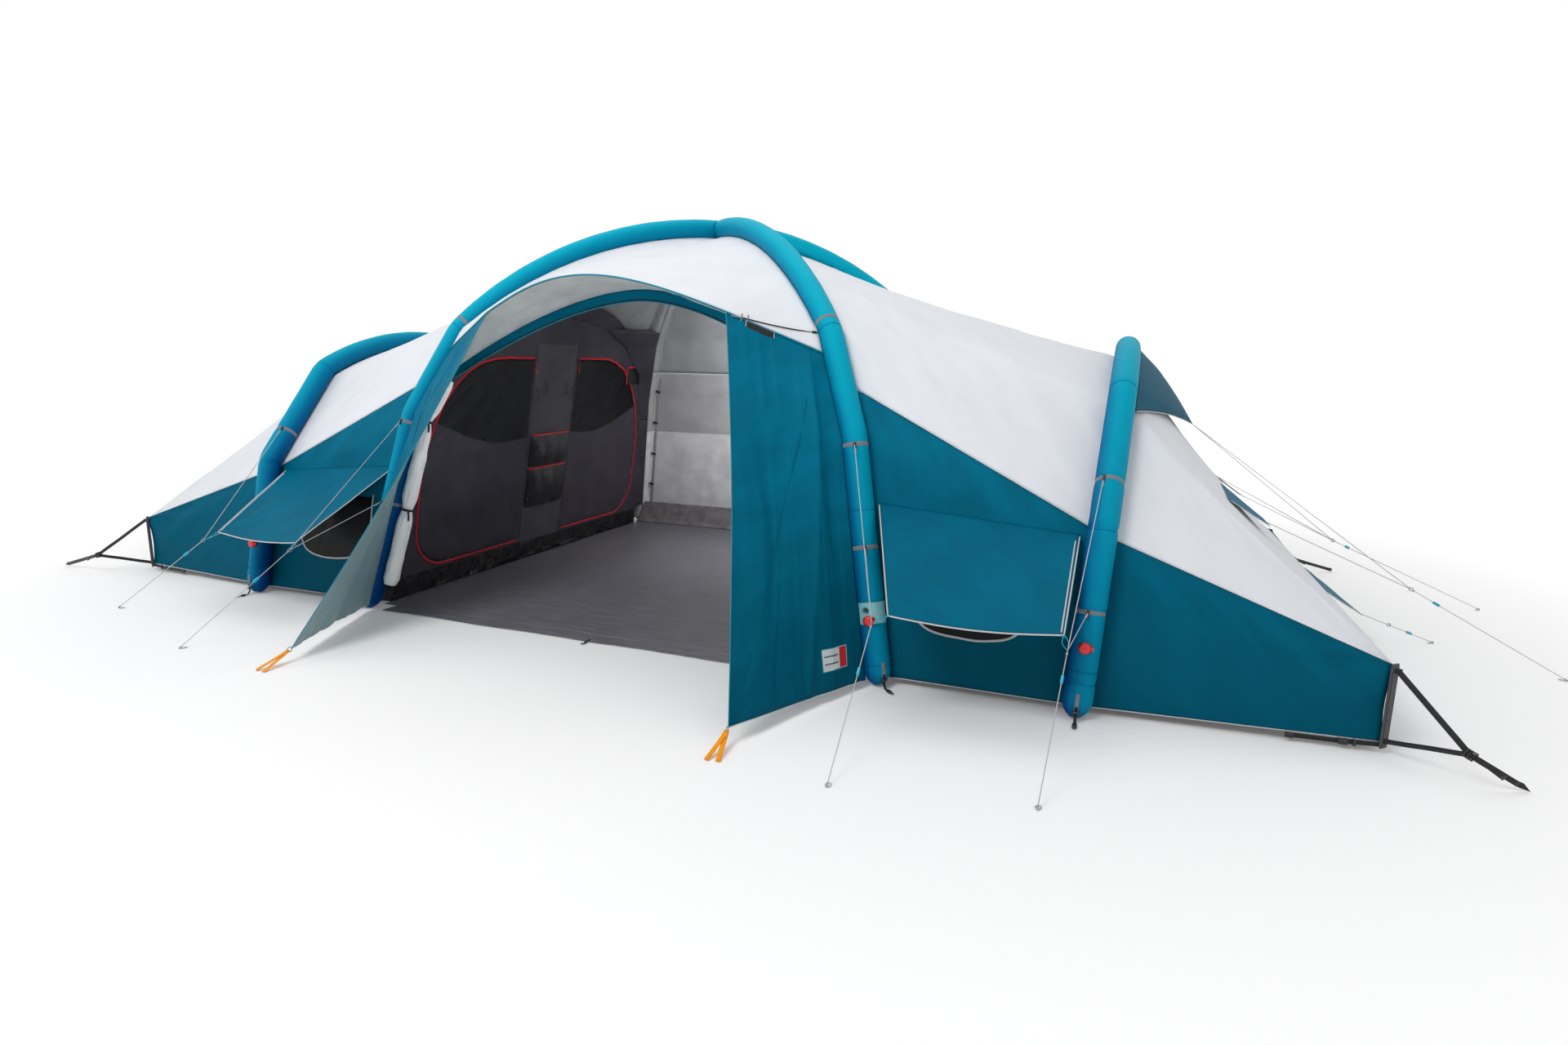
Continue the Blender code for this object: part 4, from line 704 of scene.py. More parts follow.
def canopy_rows(across, down):
    """The front roof, from the crossing down to the canopy's edge."""
    join, top = FLANK.at(FLANK.at_height(CANOPY_JOIN_H)), FLANK.points[-1]
    us = np.linspace(-1, 1, across + 1)
    edge = [canopy_edge(abs(u)) for u in us]
    rows = []
    for v in np.linspace(0, 1, down + 1):
        round_out = FLANK.down_to(CANOPY_JOIN_H, v) - blend(top, join, v)
        row = [mirrored(blend(top, e, v) + round_out * abs(u) ** 1.5, 1 if u >= 0 else -1)
               for u, e in zip(us, edge)]
        rows.append(wrapped(row, [tuck.down_to(CANOPY_JOIN_H, v) for tuck in TUCKS]))
    return np.array(rows)


def back_roof_rows(across, down):
    u, rows = np.linspace(-1, 1, across + 1), []
    for v in np.linspace(0, 1, down + 1):
        seam = FLANK.down_to(SPLIT_LEG_H, v)
        drop = ROOF_SAG * math.sin(math.pi * v) * (1 - u * u)
        row = np.stack([seam[0] * u, seam[1] + drop, seam[2] - drop], 1)
        rows.append(wrapped(row, [tuck.down_to(SPLIT_LEG_H, v) for tuck in TUCKS]))
    return mirrored(rows, 1, -1)


def back_wall_rows(across, up):
    u, rows = np.linspace(-1, 1, across + 1), []
    for k in np.linspace(0, 1, up + 1):
        seam, *tucks = (line.between_heights(HEM_H, SPLIT_LEG_H, k) - (0, 0, EDGE_GAP * (k == 1))
                        for line in DOOR_LEGS)
        ys = seam[1] + 0.05 * (1 - k) * (1 - u ** 4)
        row = np.stack([seam[0] * u, ys, np.full(across + 1, seam[2])], 1)
        rows.append(wrapped(row, tucks))
    return mirrored(rows, 1, -1)


def header_arch(x):
    height = HEADER_TOP - HEADER_DROP * abs(x) ** 1.8
    return np.array((x, HEADER_Y - HEADER_LEAN * (HEADER_TOP - height), height))


def header_columns(across, steps):
    """The porch ceiling's columns, from the canopy's edge to the zip band, and the band's way down."""
    points = np.array(leg_axis())
    normals, side = outward_normals(points)
    side = side if side[0] < 0 else -side
    end, height = [], CANOPY_JOIN_H - 2 * CLOTH
    for k in np.linspace(0, 1, steps + 1):
        turn = math.radians(72 - 27 * k)
        line = Line(points + (TUBE_R + 0.0015) * (math.sin(turn) * side - math.cos(turn) * normals))
        end.append(line.at(line.at_height(height + (HEADER_END_H - height) * k)))
    columns, ways = [], []
    for u in np.linspace(-1, 1, across + 1):
        edge = canopy_edge(u)
        edge = edge + 0.008 * unit((-edge[0], -1.0 - edge[1], 0)) - (0, 0, 1.5 * CLOTH)
        column = np.array([blend(edge, header_arch(HEADER_X * u), k) for k in np.linspace(0, 1, steps + 1)])
        near = max(0.0, abs(u) - 0.9) / 0.1
        if near:
            column = blend(column, mirrored(end, 1 if u > 0 else -1), near ** 1.5)
        columns.append(column)
        ways.append(unit(np.array(DOOR_MIDDLE) - column[-1]))
    return np.array(columns), np.array(ways)


def porch_rows(across, up):
    """A porch wing: from the leg to the leading edge, and from the hem to the canopy."""
    corner = np.array(CANOPY_CORNER) - (0, 0, CLOTH + TOUCH)
    us, rows = np.linspace(0, 1, across + 1)[:, None], []
    for v in np.linspace(0, 1, up + 1):
        leg = FLANK.between_heights(PORCH_HEM_H, CANOPY_JOIN_H, v)
        leg[2] -= (CLOTH + EDGE_GAP) * v
        edge = blend(PORCH_TIP, corner, v)
        edge[1] += 0.05 * math.sin(math.pi * v)
        fold = 0.012 * np.sin(us * 4 * math.pi + 1.2 * v) * np.sin(math.pi * us) * math.sin(math.pi * v)
        rows.append(blend(leg, edge, us) + np.array((-0.95, 0.3, 0.1)) * fold)
    return np.array(rows)


# Repeatable noise and folds

def noise(a, b, seed=0):
    """Smooth repeatable noise from -1 to 1 over a plane, about one bump a unit."""
    a, b = np.asarray(a, float), np.asarray(b, float)
    ia, ib = np.floor(a), np.floor(b)
    fa, fb = a - ia, b - ib
    fa, fb = fa * fa * (3 - 2 * fa), fb * fb * (3 - 2 * fb)

    def corner(i, j):
        h = np.sin(i * 127.1 + j * 311.7 + seed * 74.7) * 43758.5453
        return 2 * (h - np.floor(h)) - 1

    low = corner(ia, ib) * (1 - fa) + corner(ia + 1, ib) * fa
    high = corner(ia, ib + 1) * (1 - fa) + corner(ia + 1, ib + 1) * fa
    return low * (1 - fb) + high * fb


def folds(along, across, length, width, seed=0):
    """Long soft folds: ridges a width apart that run on for a length."""
    bend = 0.35 * width * noise(along / length * 1.7, across / width * 0.4, seed + 5)
    a, b = along / length, (across + bend) / width
    soft = noise(a, b, seed) + 0.5 * noise(a * 2, b * 2.1, seed + 1)
    crease = 1 - 2 * np.abs(noise(a * 1.3 + 7, b * 1.4, seed + 2))
    return 0.65 * soft + 0.35 * crease ** 3


def fade(distance, width):
    t = np.clip(distance / width, 0, 1)
    return t * t * (3 - 2 * t)


# Builders

SHEET_T = 0.0012
TUBE_STEP, TUBE_SIDES = 0.012, 48
SHEETS, ZIP_LINES = {}, {}


def square_to(way, along):
    """A direction less its share along another one, one long."""
    return unit(np.array(way, float) - along * np.dot(way, along))


def make_object(name, verts, faces, uvs, materials, marks=None, edge=None):
    """An object at the origin; uvs are one pair per vertex, and marks say each face's material."""
    mesh = bpy.data.meshes.new(name)
    mesh.from_pydata([tuple(v) for v in np.asarray(verts, float)], [],
                     [tuple(int(i) for i in f) for f in faces])
    loops = np.empty(len(mesh.loops), np.int32)
    mesh.loops.foreach_get("vertex_index", loops)
    mesh.uv_layers.new(name="cloth").data.foreach_set("uv", np.asarray(uvs, np.float32)[loops].ravel())
    if edge is not None:
        mesh.attributes.new("edge", "FLOAT", "POINT").data.foreach_set("value", np.asarray(edge, np.float32))
    for material in materials:
        mesh.materials.append(MAT[material])
    if marks is not None:
        mesh.polygons.foreach_set("material_index", np.asarray(marks, np.int32))
    mesh.polygons.foreach_set("use_smooth", np.ones(len(mesh.polygons), bool))
    mesh.update()
    obj = bpy.data.objects.new(name, mesh)
    bpy.context.scene.collection.objects.link(obj)
    return obj


def ring_faces(count, around, closed=False, caps=True):
    """Quads that join rings of points end to end, with a lid on each open end."""
    index = np.arange(count * around).reshape(count, around)
    here, ahead = (index, np.roll(index, -1, 0)) if closed else (index[:-1], index[1:])
    faces = np.stack([here, np.roll(here, -1, 1), np.roll(ahead, -1, 1), ahead], -1).reshape(-1, 4).tolist()
    return faces + ([index[0][::-1].tolist(), index[-1].tolist()] if caps and not closed else [])


def sheet_faces(rows, flip=False):
    index = np.arange(rows.shape[0] * rows.shape[1]).reshape(rows.shape[:2])
    faces = np.stack([index[:-1, :-1], index[:-1, 1:], index[1:, 1:], index[1:, :-1]], -1).reshape(-1, 4)
    return (faces[:, ::-1] if flip else faces).tolist()


def grid_normals(rows):
    normals = np.cross(np.gradient(rows, axis=1), np.gradient(rows, axis=0))
    return normals / np.maximum(np.linalg.norm(normals, axis=2, keepdims=True), 1e-12)


def arc_lengths(rows):
    """Cloth coordinates in metres: along each row, and down each column."""
    across = np.cumsum(np.linalg.norm(np.diff(rows, axis=1), axis=2), axis=1)
    down = np.cumsum(np.linalg.norm(np.diff(rows, axis=0), axis=2), axis=0)
    return np.pad(across, ((0, 0), (1, 0))), np.pad(down, ((1, 0), (0, 0)))


class Grid:
    """A sheet's rows of points, with cloth coordinates: u along each row, v down each column."""

    def __init__(self, rows, sx=1):
        self.rows = mirrored(rows, sx)
        self.u, self.v = arc_lengths(self.rows)
        self.middle = self.u - self.u[:, self.u.shape[1] // 2][:, None]
        self.centred = self.u - self.u.mean(axis=1)[:, None]

    def far(self, k, column=False):
        """How far each point lies from a row, or from a column."""
        return np.abs(self.u - self.u[:, [k]] if column else self.v - self.v[[k]])

    def free(self, rows=(0, -1), columns=(), reach=0.12):
        """0 on the rows and columns where the cloth is sewn or held, and 1 away from them."""
        free = np.ones(self.u.shape)
        for gap in [self.far(k) for k in rows] + [self.far(k, True) for k in columns]:
            free *= fade(gap, reach)
        return free

    def pulled(self, point, count, reach, seed=0):
        """Creases that spread from a point where the cloth is drawn, and die out with distance."""
        gap = np.linalg.norm(self.rows - np.array(point), axis=2)
        i, j = np.unravel_index(np.argmin(gap), gap.shape)
        turn = np.arctan2(self.v - self.v[i, j], self.u - self.u[i, j])
        wave = np.sin(turn * count + 2 * noise(turn * 2, gap * 3, seed))
        wave = wave + 0.5 * noise(turn * count / 2, gap * 2, seed + 4)
        return wave * np.exp(-gap / reach) * np.clip(gap / 0.05, 0, 1)


def finish(obj, node=None, body="tent"):
    """Hides the CAD node that the piece shows, and parents the piece to the body it moves with."""
    if node:
        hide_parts(node)
    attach(obj, BODY_OF[node] if node else body)
    return obj


def shown_sheet(obj, node, slot, held, size, **shell):
    """Gives a sheet its thickness, half to each side, hides the CAD node it shows and parents the sheet to
    its body.
    """
    area = sum(p.area for p in obj.data.polygons)
    wall = obj.modifiers.new("thickness", "SOLIDIFY")
    wall.thickness, wall.offset = SHEET_T, 0
    for key, value in shell.items():
        setattr(wall, key, value)
    finish(obj, node)
    wide, deep = size
    if area > wide * deep:
        wide = area / deep * 1.001


def cloth(name, grid, looks, away_from, node, slot, relief=None, held="stretched", merge=0.0, side=1,
          flat=None):
    """One sheet from a grid, with its folds as real relief; looks are its outer and inner material."""
    rows, u, v = grid.rows, grid.u, grid.v
    normals = grid_normals(rows)
    if ((rows - np.array(away_from)) * normals).sum() * side <= 0:
        normals = -normals
    if relief is not None:
        rows = rows + normals * np.asarray(relief)[:, :, None]
    if name.startswith("fly_"):
        rows = clear_of_tubes(rows, 0.0048)
    SHEETS[name] = rows
    turned = (np.cross(np.gradient(rows, axis=1), np.gradient(rows, axis=0)) * normals).sum() < 0
    edge = np.minimum(np.minimum(v, v[-1:] - v), np.minimum(u, u[:, -1:] - u)).ravel()
    uvs = np.stack([u, v], -1).reshape(-1, 2)
    obj = make_object(name, rows.reshape(-1, 3), sheet_faces(rows, turned), uvs, looks, edge=edge)
    if merge:
        work = bmesh.new()
        work.from_mesh(obj.data)
        bmesh.ops.remove_doubles(work, verts=work.verts, dist=merge)
        bmesh.ops.dissolve_degenerate(work, edges=work.edges, dist=merge / 2)
        work.to_mesh(obj.data)
        work.free()
    size = flat or (max(float(u[:, -1].max()), 0.01), max(float(v[-1].max()), 0.01))
    shown_sheet(obj, node, slot, held, size, material_offset=1, material_offset_rim=1, use_even_offset=False)


def frames_along(points, up=None, closed=False):
    """At each point a tangent and two square directions, without sudden twists."""
    points = np.array(points, float)
    tangents = np.gradient(points, axis=0)
    if closed:
        tangents = np.roll(points, -1, axis=0) - np.roll(points, 1, axis=0)
    tangents /= np.maximum(np.linalg.norm(tangents, axis=1)[:, None], 1e-12)
    guess = np.array((0, 0, 1.0) if abs(tangents[0][2]) < 0.9 else (1.0, 0, 0))
    guesses = None if up is None else np.broadcast_to(np.array(up, float), points.shape)
    firsts = []
    for k, tangent in enumerate(tangents):
        guess = guess if up is None else guesses[k]
        first = guess - tangent * np.dot(guess, tangent)
        size = np.linalg.norm(first)
        guess = first / size if size > 1e-9 else np.array((1.0, 0, 0))
        firsts.append(guess)
    firsts = np.array(firsts)
    return tangents, firsts, np.cross(tangents, firsts)


def sweep(points, outline, up=None, closed=False, scale=1.0):
    """A swept shape: the outline's first axis lies along up, its second square to it."""
    points, outline = np.array(points, float), np.array(outline, float)
    _, firsts, seconds = frames_along(points, up, closed)
    n, m = len(points), len(outline)
    k = np.broadcast_to(np.asarray(scale, float), n)[:, None, None]
    x, y = outline[None, :, 0, None], outline[None, :, 1, None]
    rings = points[:, None] + k * (x * firsts[:, None] + y * seconds[:, None])
    uvs = np.stack([np.repeat(Line(points).length, m), np.tile(Line(outline).length, n)], axis=1)
    return rings.reshape(-1, 3), ring_faces(n, m, closed), uvs


def circle(radius, sides=8):
    angles = np.linspace(0, 2 * math.pi, sides, endpoint=False)
    return np.stack([radius * np.cos(angles), radius * np.sin(angles)], axis=1)


def strip(width, thickness):
    """A flat webbing's outline, its width along the second axis, with softened corners."""
    w, t = width / 2, thickness / 2
    c = t * 0.6
    return np.array([(t, -w + c), (t, w - c), (t - c, w), (-t + c, w), (-t, w - c), (-t, -w + c),
                     (-t + c, -w), (t - c, -w)])


def smooth_path(points, count, closed=False):
    """A Catmull-Rom curve through points, at even steps."""
    points = np.array(points, float)
    ends = (2 * points[:1] - points[1:2], 2 * points[-1:] - points[-2:-1])
    if closed:
        ends = (points[-1:], points[:2])
    padded = np.vstack([ends[0], points, ends[1]])
    out = []
    for k in range(len(points) - (not closed)):
        p0, p1, p2, p3 = padded[k:k + 4]
        for t in np.linspace(0, 1, 12, endpoint=False):
            out.append(0.5 * (2 * p1 + (p2 - p0) * t + (2 * p0 - 5 * p1 + 4 * p2 - p3) * t ** 2
                              + (3 * p1 - p0 - 3 * p2 + p3) * t ** 3))
    values = Line(out + [points[0] if closed else points[-1]]).at(np.linspace(0, 1, count + closed))
    return values[:-1] if closed else values


def ring_of(centre, normal, radius, sides):
    """A round ring's points."""
    first = unit(np.cross(unit(normal), (0.3, 0.5, 0.8)))
    second = np.cross(unit(normal), first)
    return [np.array(centre) + radius * (math.cos(a) * first + math.sin(a) * second)
            for a in np.linspace(0, 2 * math.pi, sides, endpoint=False)]


def lathe(profile, centre, axis, sides=24, first=(0.31, 0.52, 0.8)):
    """A turned shape: profile of (radius, height) along an axis."""
    axis = unit(axis)
    first = square_to(first, axis)
    second = np.cross(axis, first)
    verts, uvs = [], []
    for r, h in profile:
        for a in np.linspace(0, 2 * math.pi, sides, endpoint=False):
            verts.append(np.array(centre) + r * (math.cos(a) * first + math.sin(a) * second) + h * axis)
            uvs.append((a * max(r, 0.001), h))
    return np.array(verts), ring_faces(len(profile), sides), np.array(uvs)


def boxy(centre, ways, size, rounding=0.2):
    """A small moulded block with chamfered edges on every side."""
    ways = [unit(w) for w in ways]
    hx, hy, hz = (s / 2 for s in size)
    c = min(size) * rounding
    outline = []
    for quarter, (sx, sy) in enumerate(((1, 1), (-1, 1), (-1, -1), (1, -1))):
        for a in np.radians(90 * quarter + np.array((0, 30, 60, 90))):
            outline.append((sx * (hx - c) + c * math.cos(a), sy * (hy - c) + c * math.sin(a)))
    verts, uvs = [], []
    for z, shrink in ((-hz, c), (-hz + c, 0), (hz - c, 0), (hz, c)):
        for x, y in outline:
            corner = np.array(centre, float) + ways[0] * x * (1 - shrink / hx)
            verts.append(corner + ways[1] * y * (1 - shrink / hy) + ways[2] * z)
            uvs.append((x, y + z))
    faces = ring_faces(4, len(outline))
    if np.dot(np.cross(ways[0], ways[1]), ways[2]) < 0:
        faces = [f[::-1] for f in faces]
    return np.array(verts), faces, np.array(uvs)


class Trim:
    """Many small parts of one piece, gathered with their materials; turn mirrors all that is added."""

    def __init__(self, turn=(1, 1, 1)):
        self.turn = np.array(turn)
        self.verts, self.faces, self.uvs, self.marks, self.looks = [], [], [], [], []
        self.count = 0

    def add(self, look, verts, faces, uvs):
        if look not in self.looks:
            self.looks.append(look)
        way = -1 if self.turn.prod() < 0 else 1
        self.verts.append(np.asarray(verts, float) * self.turn)
        self.uvs.append(np.asarray(uvs, float))
        self.faces += [[i + self.count for i in face[::way]] for face in faces]
        self.marks += [self.looks.index(look)] * len(faces)
        self.count += len(verts)

    def tape(self, look, points, width, thick, up, **how):
        self.add(look, *sweep(points, strip(width, thick), up, **how))

    def rod(self, look, points, radius, sides=8, **how):
        self.add(look, *sweep(points, circle(radius, sides), **how))

    def ring(self, look, centre, way, radius, wire, steps=14, sides=6):
        self.rod(look, ring_of(centre, way, radius, steps), wire, sides, closed=True)

    def block(self, look, centre, ways, size, rounding=0.2):
        self.add(look, *boxy(centre, ways, size, rounding))

    def sheet(self, look, grid, flip=False):
        self.add(look, grid.reshape(-1, 3), sheet_faces(grid, flip),
                 np.stack(arc_lengths(grid), -1).reshape(-1, 2))

    def finish(self, name, node=None, body="tent", slot=None):
        verts, uvs = np.concatenate(self.verts), np.concatenate(self.uvs)
        return finish(make_object(name, verts, self.faces, uvs, self.looks, self.marks), node, body)


# Air tubes

def eased(line, fractions):
    """Points of an arch with its knees rounded over a hand's breadth."""
    hand, total = 0.04, line.length[-1]
    room = np.minimum(np.minimum(fractions, 1 - fractions) * total, hand) / hand
    return sum(weight * line.at(np.clip(fractions + shift * room / total, 0, 1))
               for shift, weight in ((-hand, 0.25), (0, 0.5), (hand, 0.25)))


def air_tube(name, axis, seams, bands, seed, clamp=None, both=False):
    """A tube under air: drawn in at its seams and bands, puckered on the inside of its bends."""
    line = Line(axis)
    total = line.length[-1]
    fractions = np.linspace(0, 1, max(8, int(total / TUBE_STEP)) + 1)
    points, place = eased(line, fractions), fractions * total
    flat = np.array(axis[0], float) - (np.array(axis[-1], float) if both else 0)
    flat[2] = 0
    across = np.cross(unit(flat), (0, 0, 1))
    tangents = unit(np.gradient(points, axis=0))
    square = unit(np.cross(tangents, across))
    middle = len(points) // 2
    if square[middle if both else -1][2] < 0:
        square = -square
    known = slice(middle if both else None)
    radius, near = np.full(len(points), TUBE_R), np.zeros(len(points))
    for end in (place, total - place) if both else (place,):
        radius *= np.interp(np.clip(end / 0.075, 0, 1), (0, 0.25, 0.6, 0.8, 1), (0.35, 0.70, 0.92, 0.98, 1))
        for height, depth, width in seams + [(h, 0.0022, 0.012) for h in bands]:
            at = np.interp(height, points[known, 2], end[known])
            radius -= depth * np.exp(-((end - at) / width) ** 2)
            near = np.maximum(near, np.exp(-((end - at) / 0.05) ** 2))
    if not both:
        radius *= 1 - 0.055 * np.clip((place - (total - 0.10)) / 0.10, 0, 1) ** 2
    angles = np.linspace(0, 2 * math.pi, TUBE_SIDES, endpoint=False)
    cos, sin = np.cos(angles), np.sin(angles)
    turning = np.linalg.norm(np.gradient(tangents, place, axis=0), axis=1)
    bend = np.clip((turning - 0.25) / 1.4, 0, 1)[:, None]
    along, from_foot = place[:, None], np.minimum(place, total - place) if both else place
    ground = np.clip((0.16 - from_foot) / 0.1, 0, 1)
    swell = noise(along / 0.026, angles[None] / 0.9, seed)
    swell = swell * np.clip(-cos, 0, 1) ** 0.7 * (0.0016 + 0.0030 * bend)
    swell += noise(along / 0.09, angles[None] / 0.7 + 20, seed + 3) * 0.0010
    swell += np.sin(angles * 17) * near[:, None] * noise(along / 0.05, angles[None] * 2, seed + 9) * 0.0014
    swell += np.sin(angles * 12) * ground[:, None] * 0.0018
    reach = (radius[:, None] + np.minimum(swell, 0.0004))[:, :, None]
    rings = points[:, None] + reach * (cos[None, :, None] * square[:, None] + sin[None, :, None] * across)
    if clamp:
        clamp(rings)
    faces, ring = ring_faces(len(points), TUBE_SIDES), rings[middle]
    if np.dot(np.cross(ring[1] - ring[0], rings[middle + 1][0] - ring[0]), ring[0] - points[middle]) < 0:
        faces = [f[::-1] for f in faces]
    uvs = np.stack([np.repeat(place, TUBE_SIDES), np.tile(angles * TUBE_R, len(points))], axis=1)
    tube = make_object(f"air_tube_{name}", rings.reshape(-1, 3), faces, uvs, ["tube"])
    finish(tube, f"tube_{name}")


def keep_quarter(sx, sy):
    """Holds a centre leg's top inside its own quarter of the crossing."""
    def clamp(rings):
        rings[:, :, 0] = np.maximum(rings[:, :, 0] * sx, TOUCH) * sx
        rings[:, :, 1] = np.maximum(rings[:, :, 1] * sy, TOUCH) * sy
    return clamp


# Seams across the tubes: height, how deep they draw it in, and over what length
LEG_SEAMS = [(1.655, 0.0016, 0.007), (0.805, 0.0030, 0.008), (0.095, 0.0030, 0.008)]
WING_SEAMS = [(1.39, 0.0016, 0.007), (0.80, 0.0030, 0.008), (0.20, 0.0018, 0.006), (0.15, 0.0030, 0.008)]
for end_name, sy in (("front", -1), ("back", 1)):
    for side_name, sx in SIDES:
        air_tube(f"{end_name}_{side_name}", mirrored(leg_axis(), sx, -sy), LEG_SEAMS, LEG_BANDS,
                 11 * sx + 5 * sy + 40,
                 keep_quarter(sx, sy))
for side_name, sx in SIDES:
    axis = mirrored(both_halves(wing_axis(24)), sx)
    air_tube(f"wing_{side_name}", axis, WING_SEAMS, WING_BANDS, 90 + sx, both=True)


# Cloth of the tent

def tree_of(obj):
    """The flat faces of an object, to seat pieces on."""
    mesh = obj.data
    mesh.calc_loop_triangles()
    return BVHTree.FromPolygons([v.co for v in mesh.vertices],
                                [list(t.vertices) for t in mesh.loop_triangles])


def shown_tree(name):
    return tree_of(bpy.data.objects[name])


def node_tree(node):
    return tree_of(next(o for o in bpy.data.objects if o.get("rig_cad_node") == node))


def cast(tree, start, way):
    hit, normal = tree.ray_cast(Vector(start), Vector(way))[:2]
    if hit is None:
        hit, normal = tree.find_nearest(Vector(start))[:2]
    return np.array(hit), np.array(normal)


def between(first, last, count):
    """Points, or rows of points, at even shares from one to another."""
    return np.array([blend(first, last, w) for w in np.linspace(0, 1, count)])


def roof_relief(grid, seed):
    ridge = np.exp(-(grid.middle / 0.55) ** 2)
    relief = (0.0045 + 0.0110 * ridge) * folds(grid.v, grid.middle, 1.1, 0.20, seed)
    relief += 0.0032 * folds(grid.middle, grid.v, 0.9, 0.13, seed + 30)
    x, y = np.abs(grid.rows[:, :, 0]), np.abs(grid.rows[:, :, 1])
    from_vent = np.hypot(np.clip(np.abs(x - 3.17) - 0.10, 0, None),
                         np.clip(np.abs(y - VENT_Y) - VENT_TOP_W / 2, 0, None))
    at_ends = np.exp(-grid.far(0, True) / 0.05) + np.exp(-grid.far(-1, True) / 0.05)
    tuck = np.abs(0.0025 * np.sin(grid.u * 60 + grid.v * 30)) * at_ends
    relief = grid.free((3, 67, -1), (0, -1), 0.16) * relief * fade(from_vent, 0.12)
    return relief - tuck * 0.3 * grid.free((3,), reach=0.1)


def skirt_relief(grid, sx):
    free = grid.free((0, 3, 59, 103, -60, -60, -104, -1), (0, -1), 0.10)
    out = np.abs(grid.rows[:, :, 0])
    relief = 0.0055 * folds(grid.u, grid.v, 0.5, 0.17, 21 + sx)
    relief += 0.0042 * folds(grid.v, grid.u, 0.6, 0.15, 27 + sx)
    across = grid.rows[:, :, 2] + 0.55 * (out - 2.5)
    relief += 0.016 * np.clip((out - 2.55) / 0.5, 0, 1) * folds(out * 1.1, across, 0.9, 0.16, 33)
    drawn = sum(grid.pulled((END_X * sx, END_Y * sy, END_TOP), 17, 0.75, 5) for sy in (-1, 1))
    return relief * free + 0.0100 * drawn * grid.free((), (-1, 0), 0.03)


def make_fly():
    for side_name, sx in SIDES:
        within = (2.2 * sx, 0, 0.5)
        grid = Grid(roof_rows(80, 64, 52), sx)
        cloth(f"fly_roof_{side_name}", grid, ("white", "grey_inside"), within, f"roof_{side_name}",
              "fly_white", roof_relief(grid, 3 + sx))
        grid = Grid(skirt_rows(44, 56, 44, 36), sx)
        cloth(f"fly_wall_{side_name}", grid, ("teal", "grey_inside"), within, f"skirt_{side_name}",
              "fly_teal", skirt_relief(grid, sx))

    within = (0, 0, 0.8)
    grid = Grid(canopy_rows(84, 56))
    u, v, middle = grid.u, grid.v, grid.middle
    relief = grid.free(columns=(3, -4), reach=0.10) * (
        0.0035 * folds(v, middle, 0.6, 0.14, 51) + 0.0025 * folds(middle, v, 0.7, 0.12, 53))
    for sx in (1, -1):
        relief += 0.003 * grid.pulled(mirrored(CANOPY_CORNER, sx), 11, 0.25, 7) * grid.free((-1,), reach=0.03)
    cloth("fly_roof_front", grid, ("white", "porch_grey"), within, "roof_front", "fly_white", relief,
          merge=0.0004)

    grid = Grid(back_roof_rows(84, 56))
    u, v = grid.u, grid.v
    relief = grid.free(columns=(3, -4), reach=0.14) * (
        0.004 * folds(v, u, 0.8, 0.16, 61) + 0.003 * folds(u, v, 0.8, 0.15, 63))
    cloth("fly_roof_back", grid, ("white", "grey_inside"), within, "roof_back", "fly_white", relief,
          merge=0.0004)

    grid = Grid(back_wall_rows(96, 60))
    u, v = grid.u, grid.v
    relief = grid.free(columns=(3, -4), reach=0.12) * (
        0.006 * folds(v, u, 0.5, 0.16, 71) + 0.004 * folds(u, v, 0.6, 0.12, 73))
    for k in (3, -4):
        relief += 0.004 * grid.pulled(grid.rows[0, k], 15, 0.4, 9) * grid.free((0,), reach=0.04)
    cloth("fly_back_wall", grid, ("teal", "back_inside"), within, "back_wall", "fly_teal", relief)


def make_header():
    """The porch ceiling, hung from the canopy's edge back to the door, and the door's zip band."""
    columns, ways = header_columns(96, 30)
    grid = Grid(np.transpose(columns, (1, 0, 2)))
    relief = np.abs(grid.free(columns=(0, -1), reach=0.09) * (
        0.006 * folds(grid.u, grid.v, 0.4, 0.12, 81) + 0.005 * folds(grid.v, grid.u, 0.3, 0.14, 83)))
    cloth("porch_ceiling", grid, ("ceiling", "grey_inside"), (0, -0.9, 3.0), "door_header", "porch_ceiling",
          relief * 0.9)
    grid = Grid([columns[:, -1] + ways * HEADER_W * k for k in np.linspace(0, 1, 9)])
    cloth("door_zip_band", grid, ("teal", "grey_inside"), (0, 0.3, 1.4), "door_header", "porch_ceiling",
          0.0012 * noise(grid.u * 9, grid.v * 20, 3))


def make_porch_wing(side_name, sx):
    grid = Grid(porch_rows(64, 84), sx)
    u, v = grid.u, grid.v
    share = np.linspace(0, 1, u.shape[1])[None, :] * np.ones(u.shape)
    free = grid.free((-1,), (0,)) * (1 - 0.7 * (1 - fade(grid.far(-1, True), 0.06)))
    relief = 0.016 * folds(v, share * 0.8, 1.2, 0.17, 91 + sx) + 0.0045 * folds(v, u, 0.5, 0.07, 95 + sx)
    relief += 0.004 * grid.pulled(mirrored(PORCH_TIP, sx), 11, 0.35, 3)
    crease = (share - 0.44 + 0.34 * v / v.max()) * u[:, -1:]
    relief += 0.016 * np.exp(-np.abs(crease) / 0.035)
    cloth(f"porch_wing_cloth_{side_name}", grid, ("teal", "porch_grey"), (0, -1.8, 0.5),
          f"porch_wing_{side_name}",
          "fly_teal", relief * free, "hung")


# Window awnings, hoods over the wing tubes, and the small flaps of the low ends

